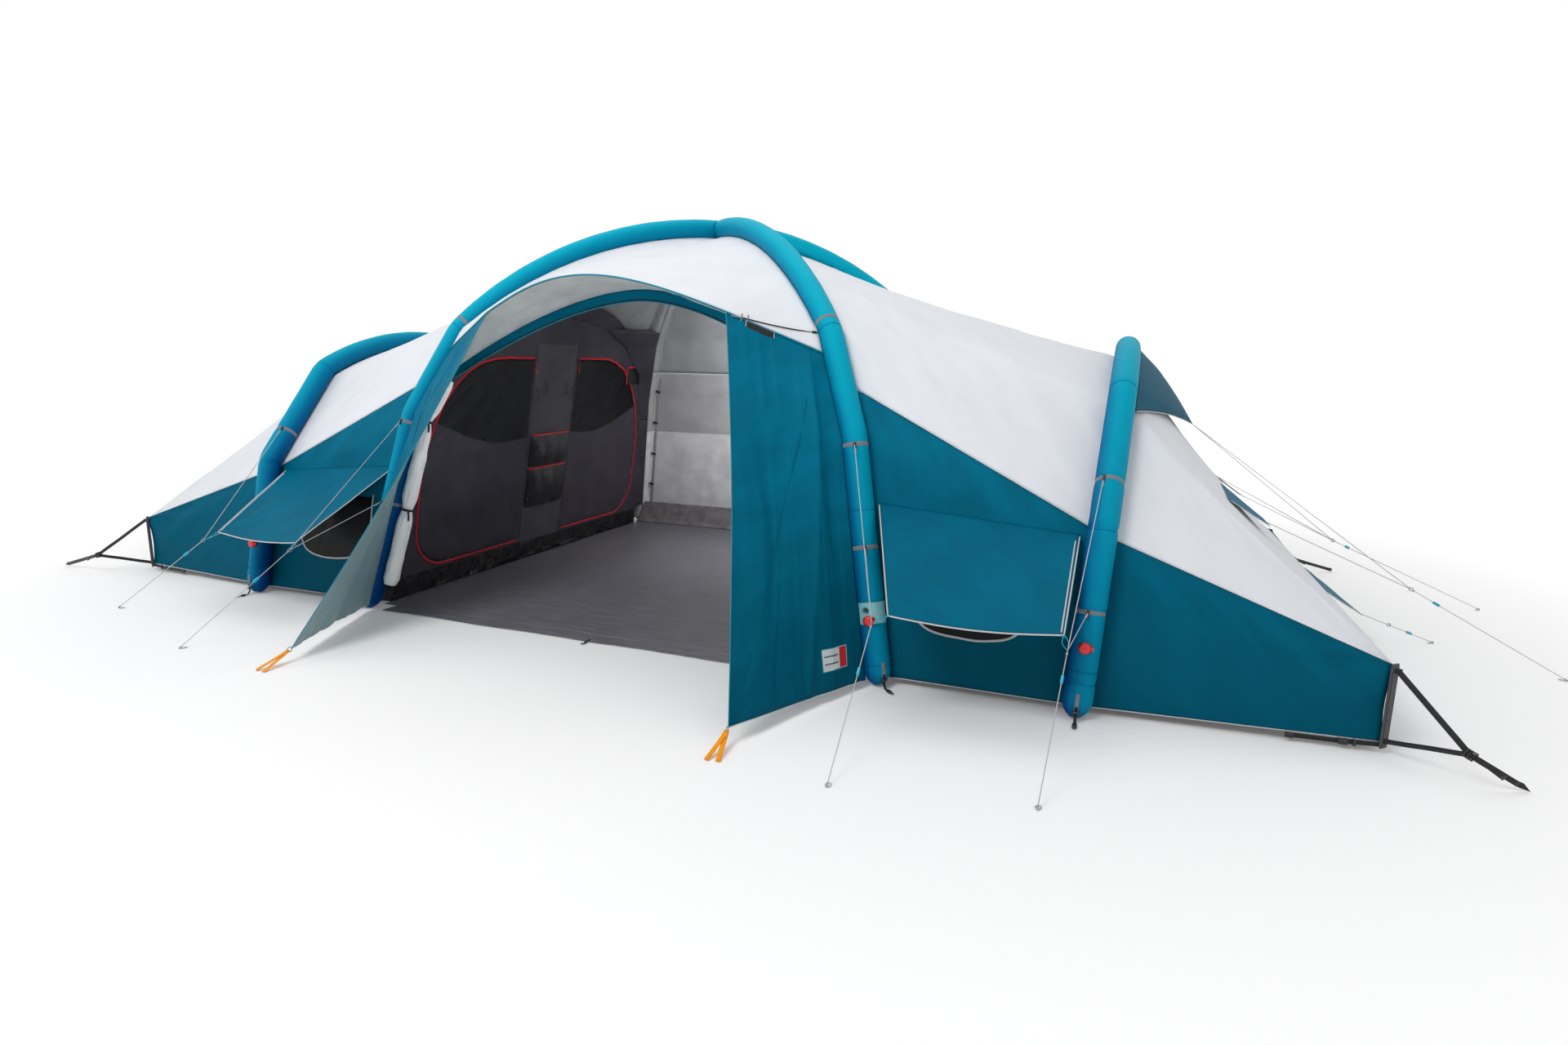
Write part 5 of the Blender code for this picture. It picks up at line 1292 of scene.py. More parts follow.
def awning_rows():
    """The awning from its seam on the side wall, laid just proud of the wall, to its low edge."""
    wall, shares = node_tree("skirt_right"), np.linspace(0, 1, 33)
    places = [blend(AWNING_IN, AWNING_OUT, w) for w in shares]
    seam = [np.array((x, cast(wall, (x, -3, z), (0, 1, 0))[0][1], z)) for x, z in places]
    proud = min(p[1] - blend(seam[0], seam[-1], w)[1] for w, p in zip(shares, seam))
    off = np.array((0, proud - CLOTH / 2 - TOUCH / 2, 0))
    across, down = np.linspace(0, 1, 61)[:, None], np.linspace(0, 1, 41)
    high, low = blend(seam[0] + off, seam[-1] + off, across), blend(AWNING_LOW_IN, AWNING_LOW_OUT, across)
    belly = np.sin(math.pi * across[:, 0])
    low[:, 2] -= 0.022 * belly
    rows = np.array([blend(high, low, w) for w in down])
    rows[:, :, 1] += 0.012 * np.sin(math.pi * down)[:, None] * belly
    return rows


def hood_rows():
    tree, points = node_tree("tube_wing_right"), np.array(wing_axis())
    ways = 0.985 * np.array((1, 0, 0)) - 0.174 * outward_normals(points)[0]
    half = points + (TUBE_R + CLOTH / 2 + TOUCH) * ways
    base, low = Line(both_halves(half)), Line(half).at_height(HOOD_REACH_H) / 2
    f = np.linspace(low, 1 - low, 61)
    hits = [tree.find_nearest(Vector(base.at(k)))[:2] for k in f]
    seat = np.array([hit + normal * 0.0014 for hit, normal in hits])
    rows = []
    for w in np.linspace(0, 1, 33):
        row = blend(seat, HOOD_TIP, w)
        row[:, 2] += 0.03 * (4 * w * (1 - w)) * np.cos((f - 0.5) * math.pi)
        rows.append(row)
    return rows


def low_flap_rows():
    k = np.linspace(-1, 1, 41)
    top = np.stack([np.full(41, END_X + CLOTH + TOUCH / 2), LOW_FLAP_W / 2 * k,
                    np.full(41, END_TOP - 0.004)], 1)
    tip = np.array(LOW_FLAP_TIP) + np.stack([0 * k, LOW_FLAP_TIP_W / 2 * k, 0 * k], 1)
    return between(top, tip, 21)


def vent_rows(roof, sx, middle_y):
    """A vent flap from its straight seam on the roof to its lifted tip."""
    def place(x, k, half, lift):
        hit, normal = cast(roof, (x * sx, middle_y + half * k, 3), (0, 0, -1))
        return hit + normal * lift

    lift = CLOTH / 2 + TOUCH
    seat = [place(VENT_SEAM_X, k, VENT_TOP_W / 2, lift) for k in np.linspace(-1, 1, 33)]
    chord = between(seat[0], seat[-1], 33)
    proud = max(0.0, max(a[2] - b[2] for a, b in zip(seat, chord)))
    rows = [between(seat[0], seat[-1], 41) + (0, 0, proud)]
    for w in (0.5, 1):
        x, high = blend((VENT_SEAM_X, lift), (VENT_TIP_X, VENT_LIFT), w)
        half = blend(VENT_TOP_W / 2, VENT_LOW_W / 2, w)
        rows.append(np.array([place(x, k, half, high) for k in np.linspace(-1, 1, 41)]))
    shares = np.linspace(0, 2, 25)
    return [blend(rows[0], rows[1], w) if w < 1 else blend(rows[1], rows[2], w - 1) for w in shares]


def make_flaps(awning, hood, low_flap):
    looks = ("flap", "grey_inside")
    for side_name, sx in SIDES:
        grid = Grid(awning, sx)
        relief = 0.0035 * folds(grid.v, grid.u, 0.35, 0.10, 101 + sx)
        relief += 0.0028 * sum(grid.pulled(grid.rows[-1, k], 9, 0.16, 11) for k in (0, -1))
        relief *= grid.free((0,), reach=0.06) * (1 - 0.6 * (1 - fade(grid.far(-1), 0.05)))
        cloth(f"awning_cloth_{side_name}", grid, looks, (2 * sx, 0, 0), f"awning_{side_name}", "flap_teal",
              relief)
        grid = Grid(hood, sx)
        relief = grid.free((0,), reach=0.05) * np.linspace(1, 0.1, len(hood))[:, None] * 0.004
        cloth(f"hood_cloth_{side_name}", grid, ("hood", "grey_inside"), (2.4 * sx, 0, 0.6),
              f"hood_{side_name}",
              "flap_teal", relief * folds(grid.v, grid.u, 0.5, 0.13, 111 + sx), merge=0.0004,
              flat=(float(grid.u[0, -1]), 0.46))
        grid = Grid(low_flap, sx)
        relief = grid.free((0,), reach=0.05) * 0.0025 * folds(grid.v, grid.centred, 0.3, 0.07, 121)
        cloth(f"low_flap_cloth_{side_name}", grid, looks, (3 * sx, 0, 0.2), f"low_flap_{side_name}",
              "flap_teal", relief)
        roof = node_tree(f"roof_{side_name}")
        for end, sy in (("front", -1), ("back", 1)):
            grid = Grid(vent_rows(roof, sx, VENT_Y * sy))
            VENTS[side_name, end] = grid.rows
            relief = grid.free((0,), reach=0.05) * 0.002 * folds(grid.v, grid.centred, 0.25, 0.06, 131)
            cloth(f"vent_flap_cloth_{end}_{side_name}", grid, looks, (3 * sx, 0, 0),
                  f"vent_flap_{end}_{side_name}",
                  "flap_teal", relief)


VENTS = {}
make_fly()
make_header()
for side_name, sx in SIDES:
    make_porch_wing(side_name, sx)
make_flaps(awning_rows(), hood_rows(), low_flap_rows())


# Bedrooms: an inner tent in each wing, with two D-shaped doors in its front wall

ROOM_FRONT = ((1.449, 0.0), (1.385, 0.55), (1.30, 1.00), (1.17, 1.34), (0.92, 1.59), (0.52, 1.75),
              (0.0, 1.81))
ROOM_ARCH = ((1.449, 0.0), (1.40, 0.35), (1.27, 0.75), (1.05, 1.03), (0.80, 1.23), (0.45, 1.38), (0.0, 1.44))
ROOM_LOW = ((1.40, 0.0), (1.40, 0.09), (1.38, 0.19), (1.30, 0.255), (1.00, 0.27), (0.60, 0.277), (0.0, 0.28))
LEAN = math.atan(ROOM_LEAN)
SKIRTING_H, STRIP_HALF_W, STRIP_TOP = 0.14, 0.235, 1.62
FLOOR_TOP = 0.0022
NET_IN, NET_OUT = 0.262, 1.195
NET_EDGE = ((0.25, 0.40, 0.60, 0.85, 1.15, 1.21), (0.95, 0.935, 0.93, 0.985, 1.10, 1.125))


def on_wall(sx, across, up, out=0.0):
    """A place on a bedroom's leaning front wall; out is towards the living room."""
    across, up, out = (np.asarray(k, float) for k in (across, up, out))
    x = ROOM_X * sx - up * math.sin(LEAN) * sx - out * math.cos(LEAN) * sx
    z = up * math.cos(LEAN) - out * math.sin(LEAN)
    return np.stack(np.broadcast_arrays(x, across, z), axis=-1)


def wall_out(sx):
    """The way out of the wall, towards the living room."""
    return on_wall(sx, 0, 0, 1.0) - on_wall(sx, 0, 0, 0.0)


def door_outline(grow=0.0, hinge_grow=None, fine=4):
    """The D of a bedroom door in the plane of its wall: (across, up) pairs from the hinge's foot round."""
    hinge = DOOR_IN - (grow if hinge_grow is None else hinge_grow)
    reach, low, high = DOOR_OUT + grow, DOOR_BOTTOM - grow, DOOR_TOP + grow
    turn, side = 0.26, 0.62
    points = [(hinge, low), (reach - turn, low)]
    points += [(reach - turn + turn * math.sin(a), low + turn - turn * math.cos(a))
               for a in np.linspace(0, math.pi / 2, 4 * fine + 1)[1:]]
    points += [(hinge + 0.30 + (reach - hinge - 0.30) * math.cos(a) ** 0.8,
                side + (high - side) * math.sin(a))
               for a in np.linspace(0, math.pi / 2, 7 * fine + 1)[1:]]
    return points + [(hinge, high)]


def even(points, step=0.03, closed=True):
    """A closed or open outline resampled at even steps, its corners kept near."""
    line = [np.array(p, float) for p in points] + ([np.array(points[0], float)] if closed else [])
    out = []
    for a, b in zip(line, line[1:]):
        count = max(1, int(round(np.linalg.norm(b - a) / step)))
        out += [a + (b - a) * k / count for k in range(count)]
    return out if closed else out + [line[-1]]


def inside(outline, points):
    """Which points lie inside an outline."""
    ring = np.array([tuple(p) for p in outline])
    x0, y0 = ring[:, 0][:, None], ring[:, 1][:, None]
    x1, y1 = np.roll(ring[:, 0], -1)[:, None], np.roll(ring[:, 1], -1)[:, None]
    x, y = points[:, 0][None], points[:, 1][None]
    rise = np.where(y1 == y0, 1e-12, y1 - y0)
    return (((y0 > y) != (y1 > y)) & (x < (x1 - x0) * (y - y0) / rise + x0)).sum(axis=0) % 2 == 1


def flat_mesh(outline, step, holes, lines):
    """Triangles that fill an outline of (across, up) pairs but leave its holes; lines are kept as edges."""
    verts, edges = [], []
    for ring, closed in [(ring, 1) for ring in (outline, *holes)] + [(line, 0) for line in lines]:
        first, count = len(verts), len(ring)
        verts += [tuple(p) for p in ring]
        edges += [(first + k, first + (k + 1) % count) for k in range(count - 1 + closed)]
    border = np.array(verts)
    lo, hi = border.min(0), border.max(0)
    grid = np.array([(x, y) for j, y in enumerate(np.arange(lo[1] + step / 2, hi[1], step))
                     for x in np.arange(lo[0] + step / 2 * (1 + j % 2), hi[0], step)])
    near = np.array([np.min(np.sum((border - p) ** 2, axis=1)) for p in grid])
    verts += [tuple(p) for p in grid[near > (0.45 * step) ** 2]]
    found = delaunay_2d_cdt([Vector(p) for p in verts], edges, [], 0, 1e-6)
    points, faces = np.array([tuple(p) for p in found[0]]), np.array([list(f) for f in found[2]])
    middles = points[faces].mean(axis=1)
    keep = inside(outline, middles)
    for hole in holes:
        keep &= ~inside(hole, middles)
    return points, faces[keep], border


def wall_piece(name, sx, outline, node, slot, pick, relief, step=0.028, holes=(), lines=(), held="stretched"):
    """A flat-cut sheet on the bedroom's wall; pick((across, up)) says each part's material."""
    points, faces, border = flat_mesh(outline, step, holes, lines)
    gap = np.sqrt(np.array([((border - p) ** 2).sum(-1).min() for p in points]))
    verts = on_wall(sx, points[:, 0], points[:, 1], relief(points[:, 0], points[:, 1]) * fade(gap, 0.06))
    picked = [pick(*points[face].mean(0)) for face in faces]
    looks = list(dict.fromkeys(picked))
    a, b, c = verts[faces[0]]
    if np.cross(b - a, c - a)[0] * -sx < 0:
        faces = faces[:, ::-1]
    obj = make_object(name, verts, faces, points, looks, [looks.index(look) for look in picked], gap)
    shown_sheet(obj, node, slot, held, [float(k) for k in points.max(0) - points.min(0)])


def room_loop(station, half, lean):
    line = Line([(station - lean * z, y, max(z, 0.002)) for y, z in both_sides(half)])
    return line.at(np.linspace(0, 1, 73))


def both_sides(half):
    """An outline's (across, up) pairs from one foot over its top to the other."""
    return [(-y, z) for y, z in half] + [(y, z) for y, z in reversed(half[:-1])]


def eased_once(line):
    return 0.25 * line[:-2] + 0.5 * line[1:-1] + 0.25 * line[2:]


def soft_loop(line):
    """The same loop with its corners eased."""
    for _ in range(2):
        line = np.vstack([line[:1], eased_once(line), line[-1:]])
    return line


def make_room_shell(side_name, sx, **room):
    """The bedroom's ceiling and sides in one sheet, its floor, and its low end wall."""
    stations = [room_loop(*station) for station in
                ((ROOM_X, ROOM_FRONT, ROOM_LEAN), (ROOM_MIDDLE_X, ROOM_ARCH, 0), (3.6264, ROOM_LOW, 0))]
    front, arch, end = stations
    rows = [blend(front, arch, k / 30) for k in range(30)]
    rows += [blend(arch, end, k / 40) for k in range(40)] + [end]
    grid = Grid(held_in([soft_loop(row) for row in rows]), sx)
    relief = -np.abs(grid.free(columns=(0, -1)) * 0.012 * folds(grid.v, grid.u, 0.7, 0.2, 141 + sx))
    cloth(f"bedroom_shell_{side_name}", grid, ("room", "room"), (2.4 * sx, 0, 0.3), relief=relief,
          held="hung", **room)
    half_w = np.interp(np.linspace(0, 1, 50), (0, 0.42, 1), (1.445, 1.445, 1.396))
    grid = Grid([[(x, y * w, FLOOR_TOP) for y in np.linspace(-1, 1, 60)]
                 for x, w in zip(np.linspace(ROOM_X + 0.002, 3.62, 50), half_w)], sx)
    relief = np.abs(0.004 * folds(grid.u, grid.v, 0.5, 0.16, 147)) * grid.free((0,), (0,))
    cloth(f"bedroom_floor_{side_name}", grid, ("floor", "floor"), (2.4 * sx, 0, -1), relief=relief,
          held="laid", **room)
    grid = Grid(held_in([between(end[k], end[-1 - k], 30) for k in range(36)]), sx)
    cloth(f"bedroom_end_{side_name}", grid, ("room", "room"), (2.4 * sx, 0, 0.1), held="hung",
          flat=(2.82, 0.29), **room)


def held_in(rows):
    """Rows kept inside the room's end."""
    rows = np.array(rows)
    rows[..., 0] = np.minimum(rows[..., 0], ROOM_END_X)
    return rows


def make_room_curtain(side_name, sx, roof, **room):
    """The dark cloth between the wall's arch and the roof over it."""
    arch = Line([(0, a, b) for a, b in both_sides(wall_edge(ROOM_FRONT[2:]))][::-1])
    inner, outer = [], []
    for k in np.linspace(0, 1, 90):
        place = arch.at(k)[1:]
        way = (place - (0, 0.95)) / math.hypot(place[0], place[1] - 0.95)
        start, ahead = on_wall(sx, *place, 0.001), on_wall(sx, *(place + way), 0.001)
        hit = roof.ray_cast(Vector(start), Vector(ahead - start))
        reach = 0.0 if hit[0] is None else max(0.0, min(hit[3] - 0.035, 0.34))
        reach = min(reach, max(0.0, (1.93 - place[1]) / max(way[1], 0.05))) * min(1, 8 * min(k, 1 - k))
        inner.append(place - 0.02 * way)
        outer.append(place + (reach + 0.002) * way)
    inner, outer = np.array(inner), np.array(outer)
    for _ in range(3):
        outer[1:-1] = eased_once(outer)
    share = np.linspace(0, 1, 16)[:, None]
    grid = Grid([on_wall(sx, *blend(inner, outer, w).T, -0.006) for w in share[:, 0]])
    relief = 0.010 * folds(grid.v, grid.u, 0.2, 0.10, 181 + sx)
    relief += 0.006 * folds(grid.u, grid.v, 0.2, 0.05, 183)
    cloth(f"bedroom_curtain_{side_name}", grid, ("room", "room"), (2.4 * sx, 0, 0.3),
          relief=relief * np.sin(np.pi * share) * 0.8, held="hung", **room)


def make_room_return(side_name, sx, roof, **room):
    """The wall's return, from its back edge to the back tube, in two cuts."""
    reach, tops = zip(*ROOM_FRONT)
    for part, low, high in (("low", 0.17, 0.96), ("high", 0.96, 1.72)):
        heights = np.linspace(low, high, 40)
        wall = on_wall(sx, np.interp(heights, tops, reach), heights / math.cos(LEAN), -0.004)
        tube = clear_of_tubes([mirrored(LEGS[1].at(LEGS[1].at_height(p[2])), sx, -1) for p in wall], 0.012)
        rows = np.array([between(a, b, 14) for a, b in zip(wall, tube)])
        for point in rows.reshape(-1, 3):
            hit = roof.ray_cast(Vector(point) - Vector((0, 0, 0.3)), Vector((0, 0, 1)))[0]
            if hit is not None:
                point[2] = min(point[2], hit.z - 0.02)
        cloth(f"bedroom_return_{part}_{side_name}", Grid(rows), ("room", "room"), (2.4 * sx, 0, 0.3), **room)


def wall_edge(half):
    """Heights turned into lengths up the leaning wall."""
    return [(y, z / math.cos(LEAN)) for y, z in half]


def make_room_wall(side_name, sx):
    ring = Line([(0, a, b) for a, b in both_sides(wall_edge(ROOM_FRONT))]).at(np.linspace(0, 1, 97))
    outline = [(a, max(b, 0.003)) for _, a, b in soft_loop(ring)]
    holes = [[(a * sy, b) for a, b in even(door_outline())] for sy in (-1, 1)]
    lines = [even([(-1.42, SKIRTING_H), (1.42, SKIRTING_H)], closed=False)]
    for a in (-STRIP_HALF_W, STRIP_HALF_W):
        lines.append(even([(a, SKIRTING_H + 0.03), (a, STRIP_TOP)], closed=False))

    def relief(a, b):
        soft = 0.007 * folds(b, a, 0.7, 0.13, 151 + sx) + 0.007 * folds(a, b, 0.5, 0.11, 153)
        return soft - 0.010 * fade(SKIRTING_H - b, 0.05) * folds(a, b, 0.16, 0.05, 155)

    def pick(a, b):
        if b < SKIRTING_H:
            return "room_black"
        return "room_strip" if abs(a) < STRIP_HALF_W and b < STRIP_TOP else "room"

    wall_piece(f"bedroom_wall_{side_name}", sx, outline, f"bedroom_{side_name}", "bedroom_dark", pick, relief,
               holes=holes, lines=lines)


def make_room_door(end_name, sy, side_name, sx):
    """A room door: cloth below and mosquito net above a curved seam."""
    outline = [(a * sy, b) for a, b in even(door_outline(-0.003, -0.0019))]
    seam = [(a * sy, float(np.interp(a, *NET_EDGE))) for a in np.linspace(NET_IN, NET_OUT, 36)]

    def relief(a, b):
        low = 0.008 * folds(b, a, 0.5, 0.12, 161 + sy) + 0.009 * folds(a, b, 0.45, 0.10, 163 + sx)
        return np.where(b > 0.96, 0.014 * folds(a + b, b - a, 0.6, 0.10, 165 + sy), low)

    def pick(a, b):
        return "net" if b > np.interp(abs(a), *NET_EDGE) and abs(a) > NET_IN else "room"

    wall_piece(f"room_door_cloth_{end_name}_{side_name}", sx, outline, f"room_door_{end_name}_{side_name}",
               "bedroom_door", pick, relief, 0.024, lines=[seam], held="hung")


def make_door_zip(end_name, sy, side_name, sx):
    """The red zip along a door's open side and sill, its pull, and the loops that hold the rolled door."""
    out_way, wavy = wall_out(sx), []
    path = [p for p in even(door_outline(0.010, 0.0), 0.012, False) if p[0] > DOOR_IN + 0.02]
    for k, (a, b) in enumerate(path):
        push = 0.0035 * math.sin(k * 0.55) + 0.0025 * math.sin(k * 0.21 + sy)
        wavy.append(on_wall(sx, a * sy, b, 0.0042 + push * 0.4) + (0, push * 0.6 * sy, push * 0.5))
    wavy = smooth_path(wavy, len(wavy) * 2)
    ZIP_LINES[end_name, side_name] = wavy
    trim = Trim()
    trim.tape("zip", wavy, 0.013, 0.0012, out_way)
    trim.tape("zip", wavy + out_way * 0.0010, 0.0055, 0.0016, out_way)
    trim.finish(f"zip_{end_name}_{side_name}", slot="bedroom_dark")

    ways = ((0, 1, 0), (0, 0, 1), out_way)
    pull, where = Trim(), on_wall(sx, NET_IN * sy, DOOR_TOP - 0.002, 0.008)
    pull.block("black", where, ways, (0.010, 0.020, 0.006))
    drop = [where + np.array((0, 0.004 * math.sin(k), -0.012 * k)) + out_way * 0.002 * math.sin(k * 0.8)
            for k in range(8)]
    pull.rod("zip", smooth_path(drop, 24), 0.0016, 6)
    pull.block("zip", drop[-1], ways, (0.007, 0.030, 0.0035))
    pull.finish(f"zip_pull_{end_name}_{side_name}", slot="bedroom_dark")

    loops = Trim()
    for up_at, across_at in ((1.30, 0.215), (1.34, -0.12), (0.56, 0.225)):
        base = on_wall(sx, across_at * sy, up_at, 0.004)
        hang = [base] + [base + out_way * out + drop for out, drop in
                         ((0.012, (0, 0, -0.02)), (0.010, (0, 0, -0.055)), (0.004, (0, 0.006, -0.075)))]
        loops.tape("strap", smooth_path(hang, 16), 0.009, 0.0016, out_way)
        loops.block("black", base + out_way * 0.007 + (0, 0, -0.084), ways, (0.026, 0.010, 0.008))
    loops.finish(f"door_loops_{end_name}_{side_name}", slot="strap_black")


def make_pockets(side_name, sx):
    """Pockets between the doors, each bound in red along its top, and one beside the back door."""
    out_way, pockets = wall_out(sx), Trim()
    a, bow = np.linspace(-0.222, 0.222, 38), np.sin(np.pi * np.linspace(0.02, 0.98, 38)) ** 0.5
    for low, high in ((0.73, 0.957), (0.42, 0.706)):
        grid = []
        for t in np.linspace(0, 1, 20):
            bulge = 0.020 * math.sin(math.pi * min(1, 0.15 + 0.85 * t)) * bow
            bulge += 0.004 * noise(a * 14, np.full(38, t * 3), 5)
            bulge += 0.006 * np.abs(np.sin(a / 0.148 * math.pi + math.pi / 2))
            grid.append(on_wall(sx, a, low + (high - low) * t, 0.010 + bulge))
        grid = np.array(grid)
        pockets.sheet("pocket", grid, sx > 0)
        pockets.tape("zip", grid[-1] + out_way * 0.001, 0.010, 0.0022, out_way)
        for edge in (grid[:, 0] - out_way * 0.003, grid[:, -1] - out_way * 0.003, grid[0] - out_way * 0.004):
            pockets.tape("strap", edge, 0.012, 0.003, out_way)
    pockets.finish(f"wall_pockets_{side_name}", slot="bedroom_dark")
    pocket, a, bow = Trim(), np.linspace(0.985, 1.23, 20), np.sin(np.pi * np.linspace(0, 1, 20))
    grid = np.array([on_wall(sx, a, 1.30 + 0.145 * t - 0.06 * np.clip(a - 1.12, 0, 1),
                             0.008 + 0.012 * math.sin(math.pi * t) * bow)
                     for t in np.linspace(0, 1, 12)])
    pocket.sheet("pocket", grid, sx > 0)
    pocket.tape("zip", grid[-1], 0.010, 0.0022, out_way)
    pocket.tape("zip", grid[:, 0], 0.008, 0.002, out_way)
    pocket.finish(f"wall_pocket_high_{side_name}", slot="bedroom_dark")


for side_name, sx in SIDES:
    room = {"node": f"bedroom_{side_name}", "slot": "bedroom_dark"}
    roof_tree = shown_tree(f"fly_roof_{side_name}")
    make_room_shell(side_name, sx, **room)
    make_room_curtain(side_name, sx, roof_tree, **room)
    make_room_return(side_name, sx, roof_tree, **room)
    make_room_wall(side_name, sx)
    for end_name, sy in (("front", -1), ("back", 1)):
        make_room_door(end_name, sy, side_name, sx)
    for end_name, sy in (("front", -1), ("back", 1)):
        make_door_zip(end_name, sy, side_name, sx)
    make_pockets(side_name, sx)


# Ground sheet, its raised back edge, and the sill before the door

def make_floor():
    grid = Grid([[(x, y, FLOOR_TOP) for x in np.linspace(-SHEET_X, SHEET_X, 190)]
                 for y in np.linspace(-SHEET_Y, SHEET_Y, 170)])
    u, v = grid.u, grid.v
    relief = 0.0012 + 0.0020 * folds(u, v, 0.55, 0.10, 171) + 0.0012 * folds(v + 0.4 * u, u, 0.4, 0.09, 173)
    for place, marks in ((u, (0.78, 1.56, 2.34)), (v, (0.75, 1.5, 2.25))):
        for mark in marks:
            relief += 0.0022 * np.exp(-((place - mark) / 0.010) ** 2)
    relief = np.clip(grid.free(columns=(0, -1), reach=0.10) * relief, 0, None)
    cloth("ground_sheet_cloth", grid, ("floor", "floor"), (0, 0, -1), "groundsheet", "groundsheet", relief,
          "laid")

    grid = Grid([[(x * (1 - 0.055 * t), SHEET_Y + 0.014 * min(1, t * 6) - 0.004 * t,
                   0.0025 + (SHEET_UPSTAND - 0.0025) * t)
                  for x in np.linspace(-SHEET_X, SHEET_X, 220)] for t in np.linspace(0, 1, 22)])
    relief = np.clip(0.006 * folds(grid.v, grid.u, 0.25, 0.055, 175) + 0.003, -0.002, 0.012)
    cloth("ground_sheet_upstand", grid, ("upstand", "upstand"), (0, 0, 0.1), "groundsheet", "groundsheet",
          relief * grid.free((0,), reach=0.03), "hung", side=-1)

    grid = Grid([[(x, -SHEET_Y - TOUCH - SILL_W * t + 0.010 * t * abs(math.sin(x * 4.2)), FLOOR_TOP)
                  for x in np.linspace(-SILL_X, SILL_X, 190)] for t in np.linspace(0, 1, 16)])
    relief = grid.free((0,), reach=0.03) * (0.002 + 0.003 * folds(grid.v, grid.u, 0.2, 0.09, 177))
    cloth("front_sill_cloth", grid, ("floor", "floor"), (0, -1.5, -1), "front_sill", "groundsheet",
          np.clip(relief, 0, None), "laid")


make_floor()


# The door, rolled and tied against the left front leg

ROLL_SIDES, ROLL_RINGS = 44, 150
SCROLL = ((0.86, -0.002), (0.74, -0.010), (0.60, -0.003), (0.46, -0.011), (0.30, -0.003), (0.12, -0.009))


def make_roll():
    """The door's cloth in a tapered roll that hangs beside the leg, with its scrolled ends and ties."""
    points = np.array(leg_axis())
    normals, across = outward_normals(points)
    across = -across if across[0] > 0 else across
    leg_side = 0.62 * across - 0.785 * normals
    near, far = (Line(points + (TUBE_R - 0.0018 + reach) * leg_side) for reach in (0, ROLL_R))
    shares, sides = np.linspace(0, 1, ROLL_RINGS), ROLL_SIDES
    heights = ROLL_BOTTOM_H + (ROLL_TOP_H - ROLL_BOTTOM_H) * shares
    near, far = near.at(near.at_height(heights)), far.at(far.at_height(heights))
    size = 1.0 - 0.25 * shares
    line = (near + (far - near) * size[:, None]) * (-1, 1, 1)
    for tie in ROLL_TIES:
        size = size * (1 - 0.36 * np.exp(-(((heights - tie) / 0.045) ** 2)))
    size = size * np.minimum(1, 0.72 + 0.28 * np.minimum(shares, 1 - shares) / 0.03)
    tangents, first, second = frames_along(line, up=(1, 0, 0))
    angles = np.linspace(0, 2 * math.pi, sides, endpoint=False)
    a, h = angles[None], heights[:, None]
    near_tie = np.max([np.exp(-(((h - tie) / 0.11) ** 2)) for tie in ROLL_TIES], axis=0)
    swell = 0.0035 * np.sin(a * 11 + 3 * noise(a, h * 3, 3)) * near_tie
    swell = swell + (0.0032 * noise(a * 1.2, h * 9, 8) + 0.002 * noise(a * 3, h * 22, 9))
    swell = swell + 0.004 * np.clip(1 - np.abs(a - 1.4 - 0.5 * h) / 0.25, 0, 1)
    radius = ROLL_R * size[:, None] + np.minimum(swell - 0.002, 0.0022)
    ways = np.cos(a)[:, :, None] * first[:, None] + np.sin(a)[:, :, None] * second[:, None]
    rings = line[:, None] + radius[:, :, None] * ways

    # Rolled ends: rings that step inwards like the turns of a scroll
    verts, faces = list(rings.reshape(-1, 3)), ring_faces(ROLL_RINGS, sides, caps=False)
    body = len(verts)
    for ring, way, step, last in ((rings[0], -tangents[0], -1, np.arange(sides)),
                                  (rings[-1], tangents[-1], 1, np.arange(body - sides, body))):
        middle = ring.mean(0)
        for share, depth in SCROLL:
            now = np.arange(sides) + len(verts)
            verts += list(middle + (ring - middle) * share + way * depth)
            faces += np.stack([last, np.roll(last, -1), np.roll(now, -1), now], -1)[:, ::step].tolist()
            last = now
        faces.append(last[::step].tolist())
    uvs = np.array(verts)[:, :2]
    uvs[:body] = np.stack([np.repeat(Line(line).length, sides), np.tile(angles * ROLL_R, ROLL_RINGS)], 1)
    roll = make_object("door_roll_cloth", verts, faces, uvs, ["roll"], edge=np.ones(len(verts)))
    finish(roll, "door_roll")

    ties, out = Trim(), np.array((0.75, -0.66, 0))
    turn = np.linspace(0, 2 * math.pi, 40, endpoint=False)[:, None]
    for tie in ROLL_TIES:
        k = int(np.argmin(np.abs(heights - tie)))
        radius = ROLL_R * size[k] + 0.0028
        loop = line[k] + radius * (np.cos(turn) * first[k] + np.sin(turn) * second[k])
        ties.tape("strap", loop, 0.014, 0.0016, unit(loop - line[k]), closed=True)
        front = line[k] + (radius + 0.006) * out
        ties.block("black", front, ((0.66, 0.75, 0), (0, 0, 1), out), (0.034, 0.009, 0.009), 0.3)
        tail = [front, front + (0.012, -0.008, -0.025), front + (0.006, -0.006, -0.06)]
        ties.tape("strap", smooth_path(tail, 12), 0.010, 0.0014, out)
    ties.finish("door_roll_ties", slot="strap_black")


make_roll()


# Low corners: taped posts, and the webbing that holds each to its peg

WALL_STRAP_X = 3.27


